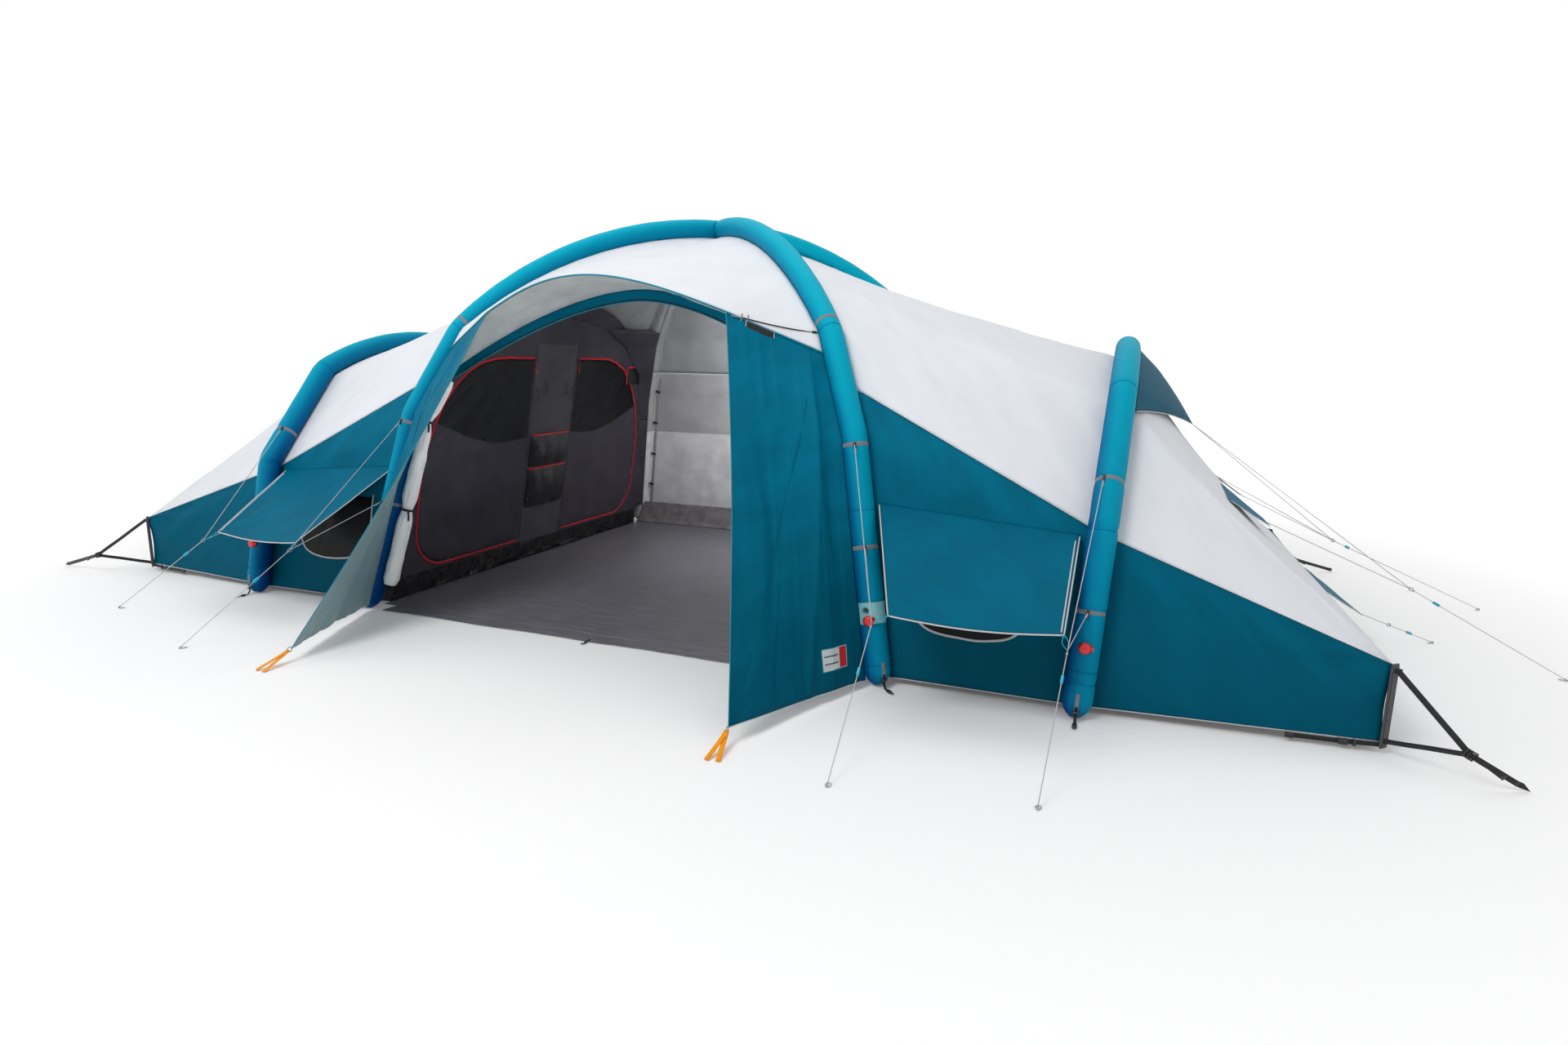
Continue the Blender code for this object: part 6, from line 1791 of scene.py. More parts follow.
def make_post(name, foot, head, out, turn):
    """A flat post wrapped in tape, with raised seams on its face."""
    post, ks, half_w = Trim(turn), np.linspace(0, 1, 60), POST_W / 2
    path = foot + (head - foot) * ks[:, None]
    angles = np.linspace(0, 2 * math.pi, 28, endpoint=False)
    c, s = np.cos(angles), np.sin(angles)
    outline = np.stack([POST_T / 2 * abs(c) ** 0.6 * np.sign(c), half_w * abs(s) ** 0.5 * np.sign(s)], 1)
    scale = 1 - 0.10 * np.exp(-(ks / 0.05) ** 2) - 0.10 * np.exp(-((1 - ks) / 0.05) ** 2)
    scale = scale + 0.012 * np.sin(ks * 40)
    post.add("tape", *sweep(path, outline, out, scale=np.minimum(scale, 1.0)))
    side_way = np.cross((0, 0, 1), out) * half_w
    for k in (-1, 1):
        post.tape("strap", path[2:-2] + out * (POST_T / 2 - 0.0004) + side_way * k * 0.72, 0.0022, 0.0014,
                  out)
    for z in (0.10, 0.34):
        at = foot + (head - foot) * z + out * (POST_T / 2)
        post.tape("strap", [at - side_way * 0.7, at + side_way * 0.7], 0.0022, 0.0014, out)
    post.finish(f"corner_tape_{name}", f"corner_post_{name}", slot="corner_tape")


def make_corner_webbing(name, foot, head, out, turn):
    """Two straps from the post to a buckle, and one on to the peg."""
    knee, face, straps = np.array(STRAP_KNEE), np.array((0.0, -1.0, 0.0)), Trim(turn)
    peg = np.array((*STRAP_PEGS[turn[:2]], 0.0)) * turn

    def web(points, width=STRAP_W):
        line = Line(points)
        fine = line.at(np.linspace(0, 1, max(4, int(line.length[-1] / 0.02))))
        fine[1:-1] += face * 0.0015 * np.sin(np.linspace(0, 9, len(fine) - 2))[:, None]
        straps.tape("strap", fine, width, 0.0022, face)

    for anchor in (head - (0, 0, 0.02), foot + (0, 0, 0.03)):
        start = anchor + out * (POST_T / 2 + 0.002)
        web([start, knee + unit(knee - start) * 0.012])
        straps.block("strap", start + (knee - start) * 0.02, ((1, 0, 0), (0, 0, 1), (0, 1, 0)),
                     (0.026, 0.020, 0.006))
    tail = peg + (0, 0, STRAP_W / 2)
    way = unit(tail - knee)
    up_way = unit(np.cross(face, way))
    web([knee - way * 0.012, tail - way * 0.03])
    # Ladder-lock buckle at the knee: a frame with bars, and a doubled tail of webbing
    for k in (-1, 1):
        straps.block("black", knee + up_way * k * 0.0155, (way, up_way, face), (0.046, 0.006, 0.008))
    for k in (-0.020, -0.004, 0.020):
        straps.block("black", knee + way * k, (way, up_way, face), (0.006, 0.034, 0.0065))
    web([knee + way * 0.012 + face * 0.004, knee + way * 0.09 + face * 0.006,
         knee + way * 0.15 + face * 0.003 + (0, 0, -0.008)])
    # Peg loop: the webbing folds round and is stitched to itself
    loop = [tail + way * x + up_way * y + face * z for x, y, z in
            ((-0.05, 0, 0), (-0.02, 0.004, 0), (0.012, 0, 0), (-0.015, 0, -0.004), (-0.05, 0, -0.003))]
    web(smooth_path(loop, 20), STRAP_W * 0.9)
    straps.finish(f"corner_webbing_{name}", f"corner_strap_{name}", slot="strap_black")


def make_wall_strap(name, foot, turn):
    """The wall's own strap, under its hem to the post's foot, with a small buckle."""
    strap, hem = Trim(turn), SHEETS["fly_wall_right"][70:102, 0]
    hem = hem[hem[:, 0] > WALL_STRAP_X]
    line = smooth_path(list(hem[::4] + (0, -0.006, -0.012)) + [foot + (-0.004, -0.004, 0.014)], 26)
    strap.tape("strap", line, 0.019, 0.002, (0.1, -1, 0.1))
    for k, size in ((15, (0.034, 0.026, 0.008)), (18, (0.012, 0.030, 0.009)), (1, (0.030, 0.024, 0.004))):
        strap.block("black", line[k] + (0, -0.004, 0), ((1, -0.1, 0), (0, 0, 1), (0, 1, 0)), size)
    strap.finish(f"wall_strap_{name}", slot="strap_black")


for side_name, sx in SIDES:
    for end_name, sy in (("front", 1), ("back", -1)):
        name, turn, out = f"{end_name}_{side_name}", (sx, sy, 1), np.array((1, -1, 0)) / math.sqrt(2)
        off = out * (CLOTH * 0.75 + POST_T / 2 + TOUCH)
        foot, head = (np.array((END_X, -END_Y, z)) + off for z in (END_BOTTOM - POST_OVER, END_TOP + 0.004))
        make_post(name, foot, head, out, turn)
        make_corner_webbing(name, foot, head, out, turn)
        make_wall_strap(name, foot, turn)


# Guy lines: branches to a ring, and a tail from the ring through its runner to the ground

def tell_cord(obj, path, diameter, far_end, **more):
    [list(p) for p in path]


def make_guy_line(name, start, end, far_end, node, with_pieces=()):
    line = Line([start, end])
    path = line.at(np.linspace(0, 1, max(6, int(line.length[-1] / 0.03))))
    obj = make_object(name, *sweep(path, circle(CORD_D / 2, 10)), ["cord"])
    finish(obj, node)
    tell_cord(obj, path, CORD_D, far_end, exit=list(start), with_pieces=list(with_pieces))


def make_ring(name, ring, toward, node):
    """A small metal ring with the lines' knots bound on it."""
    way, trim = unit(toward - ring), Trim()
    trim.ring("grey_plastic", ring, np.cross(way, (0, 0, 1)), 0.010, 0.0016, 20, 8)
    for share in (0.0122, 0.0150):
        trim.ring("cord", ring + way * share, way, 0.0034, 0.0016)
    trim.finish(name, node, slot="guy_cord")


def make_peg_loop(name, end, way, node):
    """The knotted loop at a guy line's end, that goes over its peg."""
    way, trim = unit(way), Trim()
    flat = unit(way * (1, 1, 0))
    angles = np.linspace(0, 2 * math.pi, 24, endpoint=False)[:, None]
    aside = np.cross((0, 0, 1), flat)
    loop = end + flat * (-0.004 - 0.016 * (1 - np.cos(angles))) + aside * 0.010 * np.sin(angles)
    trim.rod("cord", loop, 0.0017, closed=True)
    for share in (0.002, 0.008, 0.014):
        trim.ring("cord", end - way * share + (0, 0, 0.0015), way, 0.0032, 0.0015)
    return trim.finish(name, node, slot="guy_cord")


def make_runner(name, ring, ground, share, node=None):
    """A rounded line runner with its two holes, the line passing through it."""
    end = np.array((*ground, CORD_D / 2))
    way, centre = unit(end - ring), ring + (end - ring) * share
    side_way = unit(np.cross(way, (0, 0, 1)))
    face_way = np.cross(side_way, way)
    trim, ways = Trim(), (way, side_way, face_way)
    for k in (-1, 1):
        trim.block("cyan", centre + face_way * k * 0.0048, ways, (0.034, 0.0100, 0.0040), 0.35)
        trim.block("cyan", centre + side_way * k * 0.0040, ways, (0.032, 0.0026, 0.0110), 0.35)
    for k in (-1, 0, 1):
        trim.ring("cyan", centre + way * k * 0.0135, way, 0.0042, 0.0018, 16, 8)
    trim.finish(name, node, slot="slider_blue")


def make_guy(name, starts, ring, ground, share, runner=None):
    node, ring, end = f"guy_{name}", np.array(ring), np.array((*ground, 0.0024))
    make_ring(f"{node}_ring", ring, end, node)
    peg_loop = make_peg_loop(f"{node}_end", end, end - ring, node)
    for k, start in enumerate(starts):
        make_guy_line(f"{node}_branch_{k + 1}", start, ring, "object", node)
    make_guy_line(f"{node}_tail", ring, end, "knot", node, [peg_loop])
    make_runner(f"line_slider_{name}", ring, ground, share, runner)


def leave_tube(tree, line, height, sx, toward):
    """Where a guy line leaves the tube's face."""
    centre, above = (mirrored(line.at(line.at_height(h)), sx) for h in (height, height + 0.05))
    way = square_to(toward - centre, unit(above - centre))
    return cast(tree, centre + way * 0.2, -way)[0] + way * 0.006


for side_name, sx in SIDES:
    for kind, axis, bands, ring, ground, share in (
            ("front", leg_axis(), GUY_BANDS, LEG_RING, LEG_GROUND[sx], 0.32),
            ("wing", wing_axis(), WING_BANDS, WING_RING, WING_GROUND[sx], 0.20)):
        name, ring = f"{kind}_{side_name}", mirrored(ring, sx)
        tree = shown_tree(f"air_tube_{name}")
        starts = [leave_tube(tree, Line(axis), height, sx, ring) for height in bands]
        make_guy(name, starts, ring, ground, share, f"slider_{name}")
near_flap, far_flap = (VENTS["right", end][-1][20] for end in ("front", "back"))
slope, slope_way = cast(node_tree("roof_right"), (VENT_SEAM_X, 0, 3), (0, 0, -1))
tip = np.array(HOOD_TIP)
for name, starts, share in (
        ("front", [tip - (0, 0.01, 0), near_flap], 0.17),
        ("back", [tip + (0, 0.01, 0), far_flap, slope + slope_way * 0.004], 0.085),
        ("low", [np.array(LOW_FLAP_TIP)], 0.45)):
    ring, ground = END_GUYS[name]
    make_guy(f"end_{name}", [start + unit(ring - start) * 0.003 for start in starts], ring, ground, share)


# Piping along the cloth's edges

def piping(name, lines, look, body="tent", slot="fly_teal", radius=0.0026):
    trim = Trim()
    for line in lines:
        line = np.array(line)
        line = line[np.concatenate([[True], np.linalg.norm(np.diff(line, axis=0), axis=1) > 1e-4])]
        if len(line) > 3:
            trim.rod(look, line, radius)
    trim.finish(name, body=body, slot=slot)


def free_edges(rows):
    return np.concatenate([rows[1:, 0], rows[-1, 1:], rows[-2:0:-1, -1]])


def make_piping():
    for side, sx in SIDES:
        rows = SHEETS[f"fly_wall_{side}"]
        piping(f"wall_hem_{side}", [rows[4:-4, 0] + (0, 0, 0.001)], "piping")
        rows = SHEETS[f"awning_cloth_{side}"]
        piping(f"awning_piping_{side}", [free_edges(rows), rows[3:-1, -2] + (0, -0.002, 0)], "piping",
               f"{side}_awning", "flap_teal", 0.0034)
        rows = SHEETS[f"porch_wing_cloth_{side}"]
        piping(f"porch_piping_{side}", [rows[0, 2:]], "piping", radius=0.0024)
        piping(f"porch_edge_{side}", [rows[:, -1]], "teal_piping", radius=0.0022)
        seam = [rows[int(round(84 - k * 84)), min(64, int(round((0.12 + 0.86 * k) * 64)))]
                for k in np.linspace(0, 1, 60)]
        seam = smooth_path(np.array(seam)[[0, 15, 30, 45, 59]], 80) + (0.0008 * sx, -0.0008, 0)
        piping(f"porch_seam_{side}", [seam], "flap", radius=0.0013)
        rows = SHEETS[f"hood_cloth_{side}"]
        piping(f"hood_piping_{side}", [rows[1:-1, 0], rows[1:-1, -1]], "piping", slot="flap_teal")
        rows = SHEETS[f"low_flap_cloth_{side}"]
        piping(f"low_flap_piping_{side}", [free_edges(rows)], "piping", f"{side}_low_flap", "flap_teal")
        for end in ("front", "back"):
            rows = SHEETS[f"vent_flap_cloth_{end}_{side}"]
            piping(f"vent_piping_{end}_{side}", [free_edges(rows)], "piping", f"{side}_{end}_vent",
                   "flap_teal", 0.0022)
    rows = SHEETS["fly_back_wall"]
    piping("back_wall_hem", [rows[0, 4:-4]], "piping")
    piping("back_wall_seam", [rows[int(60 * 0.61), 5:-5]], "piping", radius=0.0016)
    piping("canopy_piping", [SHEETS["fly_roof_front"][-1, 3:-3]], "teal_piping", slot="fly_white",
           radius=0.0040)
    rows = SHEETS["door_zip_band"]
    piping("door_band_edge", [rows[-1]], "teal_piping", slot="porch_ceiling", radius=0.0030)
    piping("door_band_zip", [rows[-1] + (rows[-2] - rows[-1]) * 0.9], "strap", slot="porch_ceiling",
           radius=0.0022)
    rows, seams = SHEETS["porch_ceiling"], []
    for u0, u1 in ((0.10, 0.26), (0.30, 0.40), (0.70, 0.60), (0.90, 0.74)):
        line = [rows[int(k * 30), int(round((u0 + (u1 - u0) * k) * 96))] for k in np.linspace(0, 1, 30)]
        seams.append(smooth_path(np.array(line)[::4], 40) - (0, 0.0006, 0.0006))
    piping("ceiling_seams", seams, "piping", slot="porch_ceiling", radius=0.0013)


make_piping()


# The tubes' bands, toggles and feet

LEG_SEAM_HEIGHTS, WING_SEAM_HEIGHTS, TOGGLE_TOP_H = (1.655, 0.805, 0.095), (1.39, 0.80, 0.20, 0.15), 1.2
BAND_W, SEAM_W = 0.020, 0.004


def place_on(line, height, turn):
    """A tube's middle at a height, and the way along it."""
    centre, above = (line.at(line.at_height(h)) * turn for h in (height, height + 0.02))
    return centre, unit(above - centre)


def round_tube(tree, centre, along, count=56, lift=0.0008):
    """Points round a tube on its face, in the plane square to it, and the way out at each."""
    first = unit(np.cross(along, (0, 0, 1) if abs(along[2]) < 0.95 else (1, 0, 0)))
    second = np.cross(along, first)
    outs = [math.cos(a) * first + math.sin(a) * second
            for a in np.linspace(0, 2 * math.pi, count, endpoint=False)]
    return np.array([cast(tree, centre + way * 0.2, -way)[0] + way * lift for way in outs]), np.array(outs)


def add_toggle(trim, tree, centre, along, ring):
    """A black toggle where a guy line leaves its band, the line wound below it."""
    out = square_to(ring - centre, along)
    hit = cast(tree, centre + out * 0.2, -out)[0]
    trim.block("black", hit + out * 0.007 - along * 0.012, (np.cross(out, along), along, out),
               (0.012, 0.030, 0.010), 0.35)
    strap = [hit + out * 0.003 + along * 0.008, hit + out * 0.012, hit + out * 0.003 - along * 0.008]
    trim.tape("strap", smooth_path(strap, 12), 0.010, 0.0014, out)
    to = unit(ring - hit)
    for k in range(5):
        trim.ring("cord", hit + to * (0.030 + 0.006 * k) + out * 0.002, to, 0.0034, 0.0014, 12)


def add_foot(trim, tree, line, turn, outward):
    """A grey strap up a foot's outer side and a black hook below it."""
    foot = line.at(0) * turn
    along = unit(line.at(0.05) * turn - foot)
    outward = square_to(outward, along)
    up_tube = [cast(tree, foot + along * z + outward * 0.2, -outward)[0] + outward * 0.0014
               for z in np.linspace(0.014, 0.105, 12)]
    trim.tape("band", up_tube, 0.017, 0.0018, outward)
    low, side_way, flat = up_tube[1], np.cross(along, outward), unit(outward * (1, 1, 0))
    ground = low * (1, 1, 0)
    end = ground + flat * 0.046 + (0, 0, 0.007)
    drop = [up_tube[4] + outward * 0.003, low + outward * 0.006, ground + flat * 0.020 + (0, 0, 0.010), end]
    trim.tape("strap", smooth_path(drop, 20), 0.013, 0.0022, outward + flat * 0.01)
    trim.block("black", low + outward * 0.011, (side_way, along, outward), (0.030, 0.014, 0.010), 0.35)
    end = end + flat * 0.010
    trim.block("black", end, (side_way, flat, (0, 0, 1)), (0.020, 0.030, 0.010), 0.35)
    places = ((0.012, 0), (0.030, 0.006), (0.036, -0.004), (0.024, -0.010))
    hook = [end + flat * x + side_way * y for x, y in places]
    trim.rod("black", smooth_path(hook, 20), 0.0024)


def trim_tube(name, axis, turn, bands, ring, seams):
    """A tube's webbing bands with their line toggles, its seams and its foot strap."""
    tree, line, trim = shown_tree(f"air_tube_{name}"), Line(axis), Trim()
    TUBE_TREES[name] = tree
    for heights, width, look, lift in ((bands, BAND_W, "band", 0.0009), (seams, SEAM_W, "tube_foot", 0.0004)):
        for height in heights:
            points, outs = round_tube(tree, *place_on(line, height, turn), lift=lift)
            trim.tape(look, points, width, 0.0018, outs, closed=True)
    for height in bands:
        if ring is not None and height <= TOGGLE_TOP_H:
            add_toggle(trim, tree, *place_on(line, height, turn), ring)
    outward = np.array((0, -1.0, 0)) if "wing" in name else unit(line.at(0) * turn * (1, 1, 0))
    add_foot(trim, tree, line, turn, outward)
    trim.finish(f"trims_tube_{name}", slot="tube_sleeve")


TUBE_TREES = {}
LEG_LINE, WING_LINE = Line(leg_axis()), Line(wing_axis())
for side_name, sx in SIDES:
    for end_name, sy in (("front", 1), ("back", -1)):
        ring = mirrored(LEG_RING, sx) if end_name == "front" else None
        turn = np.array((sx, sy, 1))
        trim_tube(f"{end_name}_{side_name}", leg_axis(), turn, LEG_BANDS, ring, LEG_SEAM_HEIGHTS)
    name = f"wing_{side_name}"
    turn, ring = np.array((sx, 1, 1)), mirrored(WING_RING, sx)
    trim_tube(name, wing_axis(), turn, WING_BANDS, ring, WING_SEAM_HEIGHTS)
    trim = Trim()
    for height in WING_BANDS:
        points, outs = round_tube(TUBE_TREES[name], *place_on(WING_LINE, height, np.array((sx, -1, 1))))
        trim.tape("band", points, BAND_W, 0.0018, outs, closed=True)
    trim.finish(f"trims_tube_wing_far_{side_name}", slot="tube_sleeve")


# Valve caps: a ribbed red cap with its pull tab, on a dark base

CAP_R, CAP_RIBS = 0.0236, 20
CAP = ((0.0255, 0.0), (0.0262, 0.003), (0.0262, 0.006), (0.0240, 0.0075), (0.0236, 0.013), (0.0215, 0.0175),
       (0.0165, 0.0196), (0.0080, 0.0190), (0.0030, 0.0200))
CAP_BASE = ((0.0300, -0.006), (0.0300, -0.0012), (0.0270, -0.0004))


def make_valve(name, tilt):
    node, out, across = f"valve_cap_{name}", unit((0, -1, tilt)), np.array((1.0, 0, 0))
    seat, second, trim = np.array(JOINT_AT[BODY_OF[node]]["pos_m"]), np.cross(out, across), Trim()
    trim.add("red", *lathe(CAP, seat, out, 40, across))
    for a in np.linspace(0, 2 * math.pi, CAP_RIBS, endpoint=False):
        way = math.cos(a) * across + math.sin(a) * second
        rib = seat + way * CAP_R + out * 0.0105
        trim.block("red", rib, (way, np.cross(out, way), out), (0.0022, 0.0030, 0.0070), 0.3)
    trim.block("red", seat + out * 0.0205, (across + 0.5 * second, second - 0.5 * across, out),
               (0.026, 0.006, 0.004), 0.3)
    trim.block("red", seat + across * 0.030 + out * 0.010, (across, second, out), (0.014, 0.016, 0.005), 0.3)
    trim.finish(f"valve_{name}", node, slot="valve_red")
    base = Trim()
    base.add("black", *lathe(CAP_BASE, seat, out, 40, across))
    base.finish(f"valve_base_{name}", slot="tube_sleeve")


for side_name, sx in SIDES:
    for kind, tilt in (("front", 0.197), ("wing", 0.26)):
        make_valve(f"{kind}_{side_name}", tilt)


# The pierced wrap and plain badge round the right front leg's foot

WRAP_LOW_H, WRAP_HIGH_H, BADGE_H = 0.285, 0.385, 0.352
BADGE = ((0.0165, 0.0), (0.0165, 0.0016), (0.0150, 0.0022), (0.0125, 0.0022), (0.0120, 0.0014),
         (0.002, 0.0014))


def make_leg_wrap():
    tree, wrap, steps, around = TUBE_TREES["front_right"], Trim(), 14, 72
    bands = [round_tube(tree, *place_on(LEG_LINE, h, 1), around, 0.0012)
             for h in np.linspace(WRAP_LOW_H, WRAP_HIGH_H, steps)]
    u, v = np.meshgrid(np.linspace(0, 2 * math.pi * TUBE_R, around),
                       np.linspace(0, WRAP_HIGH_H - WRAP_LOW_H, steps))
    wrap.add("patch", np.concatenate([points for points, _ in bands]), ring_faces(steps, around, caps=False),
             np.stack([u, v], -1).reshape(-1, 2))
    for k in (0, -1):
        wrap.tape("teal_piping", bands[k][0], 0.004, 0.0014, bands[k][1], closed=True)
    centre, out = LEG_LINE.at(LEG_LINE.at_height(BADGE_H)), np.array((-0.15, -1, 0.1))
    hit = cast(tree, centre + out * 0.2, -out)[0]
    out = unit(out)
    wrap.add("badge", *lathe(BADGE, hit + out * 0.0002, out, 32))
    wrap.ring("patch", hit + out * 0.0026, out, 0.0140, 0.0007, 32)
    wrap.finish("leg_wrap", slot="tube_sleeve")


make_leg_wrap()


# Windows behind the awnings, with a light rim, and the loops at the awnings' corners

WINDOW_LOW = ((1.66, 0.66), (1.665, 0.46), (1.69, 0.37), (1.74, 0.305), (1.81, 0.268), (1.95, 0.252),
              (2.065, 0.256), (2.175, 0.288), (2.235, 0.37), (2.255, 0.46), (2.26, 0.62))
WINDOW_TOP = 0.64


def make_window(side_name, sx):
    wall = shown_tree(f"fly_wall_{side_name}")

    def on_wall_side(x, z, lift=0.004):
        hit, normal = cast(wall, (x * sx, -3.2, z), (0, 1, 0))
        return hit + normal * lift * (1 if normal[1] < 0 else -1)

    lower = smooth_path([(x, 0, z) for x, z in WINDOW_LOW], 90)
    rows = [[on_wall_side(x, z + (WINDOW_TOP - z) * t) for x, _, z in lower] for t in np.linspace(0, 1, 24)]
    cloth(f"window_{side_name}", Grid(rows), ("window", "window"), (2 * sx, 0, 0.3), None, "fly_teal")
    rim = Trim()
    rim.tape("piping", [on_wall_side(x, z, 0.0055) for x, _, z in lower], 0.011, 0.003, (0, -1, 0.2))
    rim.finish(f"window_rim_{side_name}", slot="fly_teal")
    loops, rows = Trim(), SHEETS[f"awning_cloth_{side_name}"]
    for corner, ring in ((rows[-1, 0], mirrored(LEG_RING, sx)), (rows[-1, -1], mirrored(WING_RING, sx))):
        way = ring - corner
        side_way = unit(np.cross(way, (0, 0, 1)))
        for k in (-1, 1):
            middle = corner + way * 0.5 + side_way * 0.012 * k + (0, 0, -0.006)
            line = [corner, corner + way * 0.2 + side_way * 0.008 * k, middle, ring]
            loops.rod("cyan_cord", smooth_path(line, 18), 0.0017)
        for t in (0.05, 0.12):
            loops.ring("cyan_cord", corner + way * t, way, 0.0036, 0.0018)
    loops.finish(f"awning_loops_{side_name}", body=f"{side_name}_awning", slot="guy_cord")


def make_peg_webbing(side_name, sx):
    """Peg webbing of a porch wing: a ring and two loose tails."""
    tip, peg = mirrored(PORCH_TIP, sx), mirrored(PORCH_PEG, sx)
    way, length, trim = unit(peg - tip), np.linalg.norm(peg - tip), Trim()
    side_way = unit(np.cross(way, (0, 0, 1)))
    face = np.cross(side_way, way)
    trim.ring("grey_plastic", tip + way * 0.010, side_way, 0.012, 0.0022, 20, 8)
    for k, spread in ((-1, 0.5), (1, 0.9)):
        line = [tip + way * along + side_way * k * aside + face * 0.002 * k for along, aside in
                ((0.016, 0), (length * 0.35, 0.006), (length * 0.7, 0.022 * spread),
                 (length - 0.006, 0.034 * spread))]
        line = smooth_path(line, 22)
        line[:, 2] = np.maximum(line[:, 2], 0.004)
        trim.tape("orange", line, 0.020, 0.0024, face)
    trim.block("orange", tip + way * 0.045, (way, side_way, face), (0.020, 0.024, 0.008), 0.25)
    trim.finish(f"peg_webbing_{side_name}", f"peg_strap_{side_name}", slot="peg_orange")


for make in (make_window, make_peg_webbing):
    for side_name, sx in SIDES:
        make(side_name, sx)


# A bare label on the canopy's edge and a bare patch low on the right porch wing

LABEL_AT = (0.87, -1.40, 1.68)


def make_patch(name, tree, centre, ways, layers):
    """Layers of thin cloth laid on a sheet or held in the air, each with size, place, lift and look."""
    trim, (right_way, up_way, out) = Trim(), [unit(way) for way in ways]
    for (w, h), (dx, dy), lift, look in layers:
        grid = []
        for b in np.linspace(-0.5, 0.5, 8):
            places = [centre + right_way * (dx + a * w) + up_way * (dy + b * h)
                      for a in np.linspace(-0.5, 0.5, 12)]
            grid.append([(at if tree is None else cast(tree, at + out * 0.2, -out)[0]) + out * lift
                         for at in places])
        grid = np.array(grid)
        trim.sheet(look, grid)
        ring = np.concatenate([grid[0], grid[1:, -1], grid[-1, ::-1][1:], grid[1:-1, 0][::-1]])
        trim.rod(look, ring, 0.0008, 6, closed=True)
    trim.finish(name, slot="fly_teal")


def make_patches():
    rows = SHEETS["porch_wing_cloth_right"]
    ways = (rows[8, 2] - rows[8, 22], rows[14, 15] - rows[4, 15], (0.95, -0.35, 0.05))
    make_patch("wing_patch", shown_tree("porch_wing_cloth_right"), rows[7, 15], ways, (
        ((0.170, 0.104), (0, 0), 0.0014, "teal_piping"), ((0.160, 0.096), (0, 0), 0.0020, "roll_patch"),
        ((0.046, 0.090), (0.054, 0), 0.0026, "red_cloth"), ((0.090, 0.003), (-0.026, 0.016), 0.0026, "strap"),
        ((0.090, 0.003), (-0.026, -0.018), 0.0026, "strap")))
    edge = SHEETS["fly_roof_front"][-1]
    k = int(np.argmin(np.linalg.norm(edge - LABEL_AT, axis=1)))
    along = edge[k + 3] - edge[k - 3]
    ways = (along if along[0] > 0 else -along, (0.02, 0.10, 1.0), (0.35, -0.92, 0.1))
    make_patch("edge_label", None, edge[k] + (0.006, -0.012, -0.024), ways, (
        ((0.150, 0.040), (0, 0), 0.0016, "piping"), ((0.142, 0.031), (0, 0.004), 0.0024, "strap")))


make_patches()


# Small repeated things: zip teeth and stitches, laid along lines by node trees

STITCH = {"pitch": 0.012, "long": 0.0060, "wide": 0.0012, "high": 0.0009, "seed": 6}
ROOM_TOOTH = {"pitch": 0.0062, "long": 0.0036, "wide": 0.0074, "high": 0.0018, "seed": 2}
DOOR_TOOTH = {"pitch": 0.008, "long": 0.0046, "wide": 0.0085, "high": 0.002, "seed": 3}


def row_tree(kind):
    """Sets one small shape at an even pitch along edges: x along the line, z along the stored way out."""
    tree = bpy.data.node_groups.new(f"{kind}_row", "GeometryNodeTree")
    tree.interface.new_socket("Geometry", in_out="INPUT", socket_type="NodeSocketGeometry")
    for label, socket, value in (("Pitch", "Float", 0.008), ("Long", "Float", 0.005),
                                 ("Wide", "Float", 0.001), ("High", "Float", 0.001),
                                 ("Seed", "Int", 4), ("Material", "Material", None)):
        made = tree.interface.new_socket(label, in_out="INPUT", socket_type=f"NodeSocket{socket}")
        if value is not None:
            made.default_value = value
    tree.interface.new_socket("Geometry", in_out="OUTPUT", socket_type="NodeSocketGeometry")
    given, out = add(tree, "NodeGroupInput"), tree.nodes.new("NodeGroupOutput").inputs
    curve = add(tree, "GeometryNodeMeshToCurve", {0: given["Geometry"]})[0]
    spaced = add(tree, "GeometryNodeResampleCurve", {"Curve": curve, "Length": given["Pitch"]},
                 mode="LENGTH")[0]
    stored = add(tree, "GeometryNodeInputNamedAttribute", {"Name": "out"}, data_type="FLOAT_VECTOR")[0]
    tangent = add(tree, "GeometryNodeInputTangent")[0]
    turn = add(tree, "FunctionNodeAxesToRotation", {0: stored, 1: tangent}, primary_axis="Z",
               secondary_axis="X")[0]
    if kind == "stitch":
        shape = add(tree, "GeometryNodeMeshUVSphere", {"Segments": 8, "Rings": 5, "Radius": 0.5})[0]
    else:
        cone = {"Vertices": 6, "Radius Top": 0.34, "Radius Bottom": 0.52, "Depth": 1.0}
        shape = add(tree, "GeometryNodeMeshCone", cone)[0]
    size = add(tree, "ShaderNodeCombineXYZ", {0: given["Long"], 1: given["Wide"], 2: given["High"]})[0]
    uneven = add(tree, "FunctionNodeRandomValue", {2: 0.9, 3: 1.1, "Seed": given["Seed"]},
                 data_type="FLOAT")[1]
    scale = add(tree, "ShaderNodeVectorMath", {0: size, "Scale": uneven}, operation="SCALE")[0]
    each = {"Points": spaced, "Instance": shape, "Rotation": turn, "Scale": scale}
    real = add(tree, "GeometryNodeRealizeInstances",
               {0: add(tree, "GeometryNodeInstanceOnPoints", each)[0]})[0]
    put(tree, out[0],
        add(tree, "GeometryNodeSetMaterial", {"Geometry": real, "Material": given["Material"]})[0])
    return tree


ROWS = {kind: row_tree(kind) for kind in ("stitch", "tooth")}


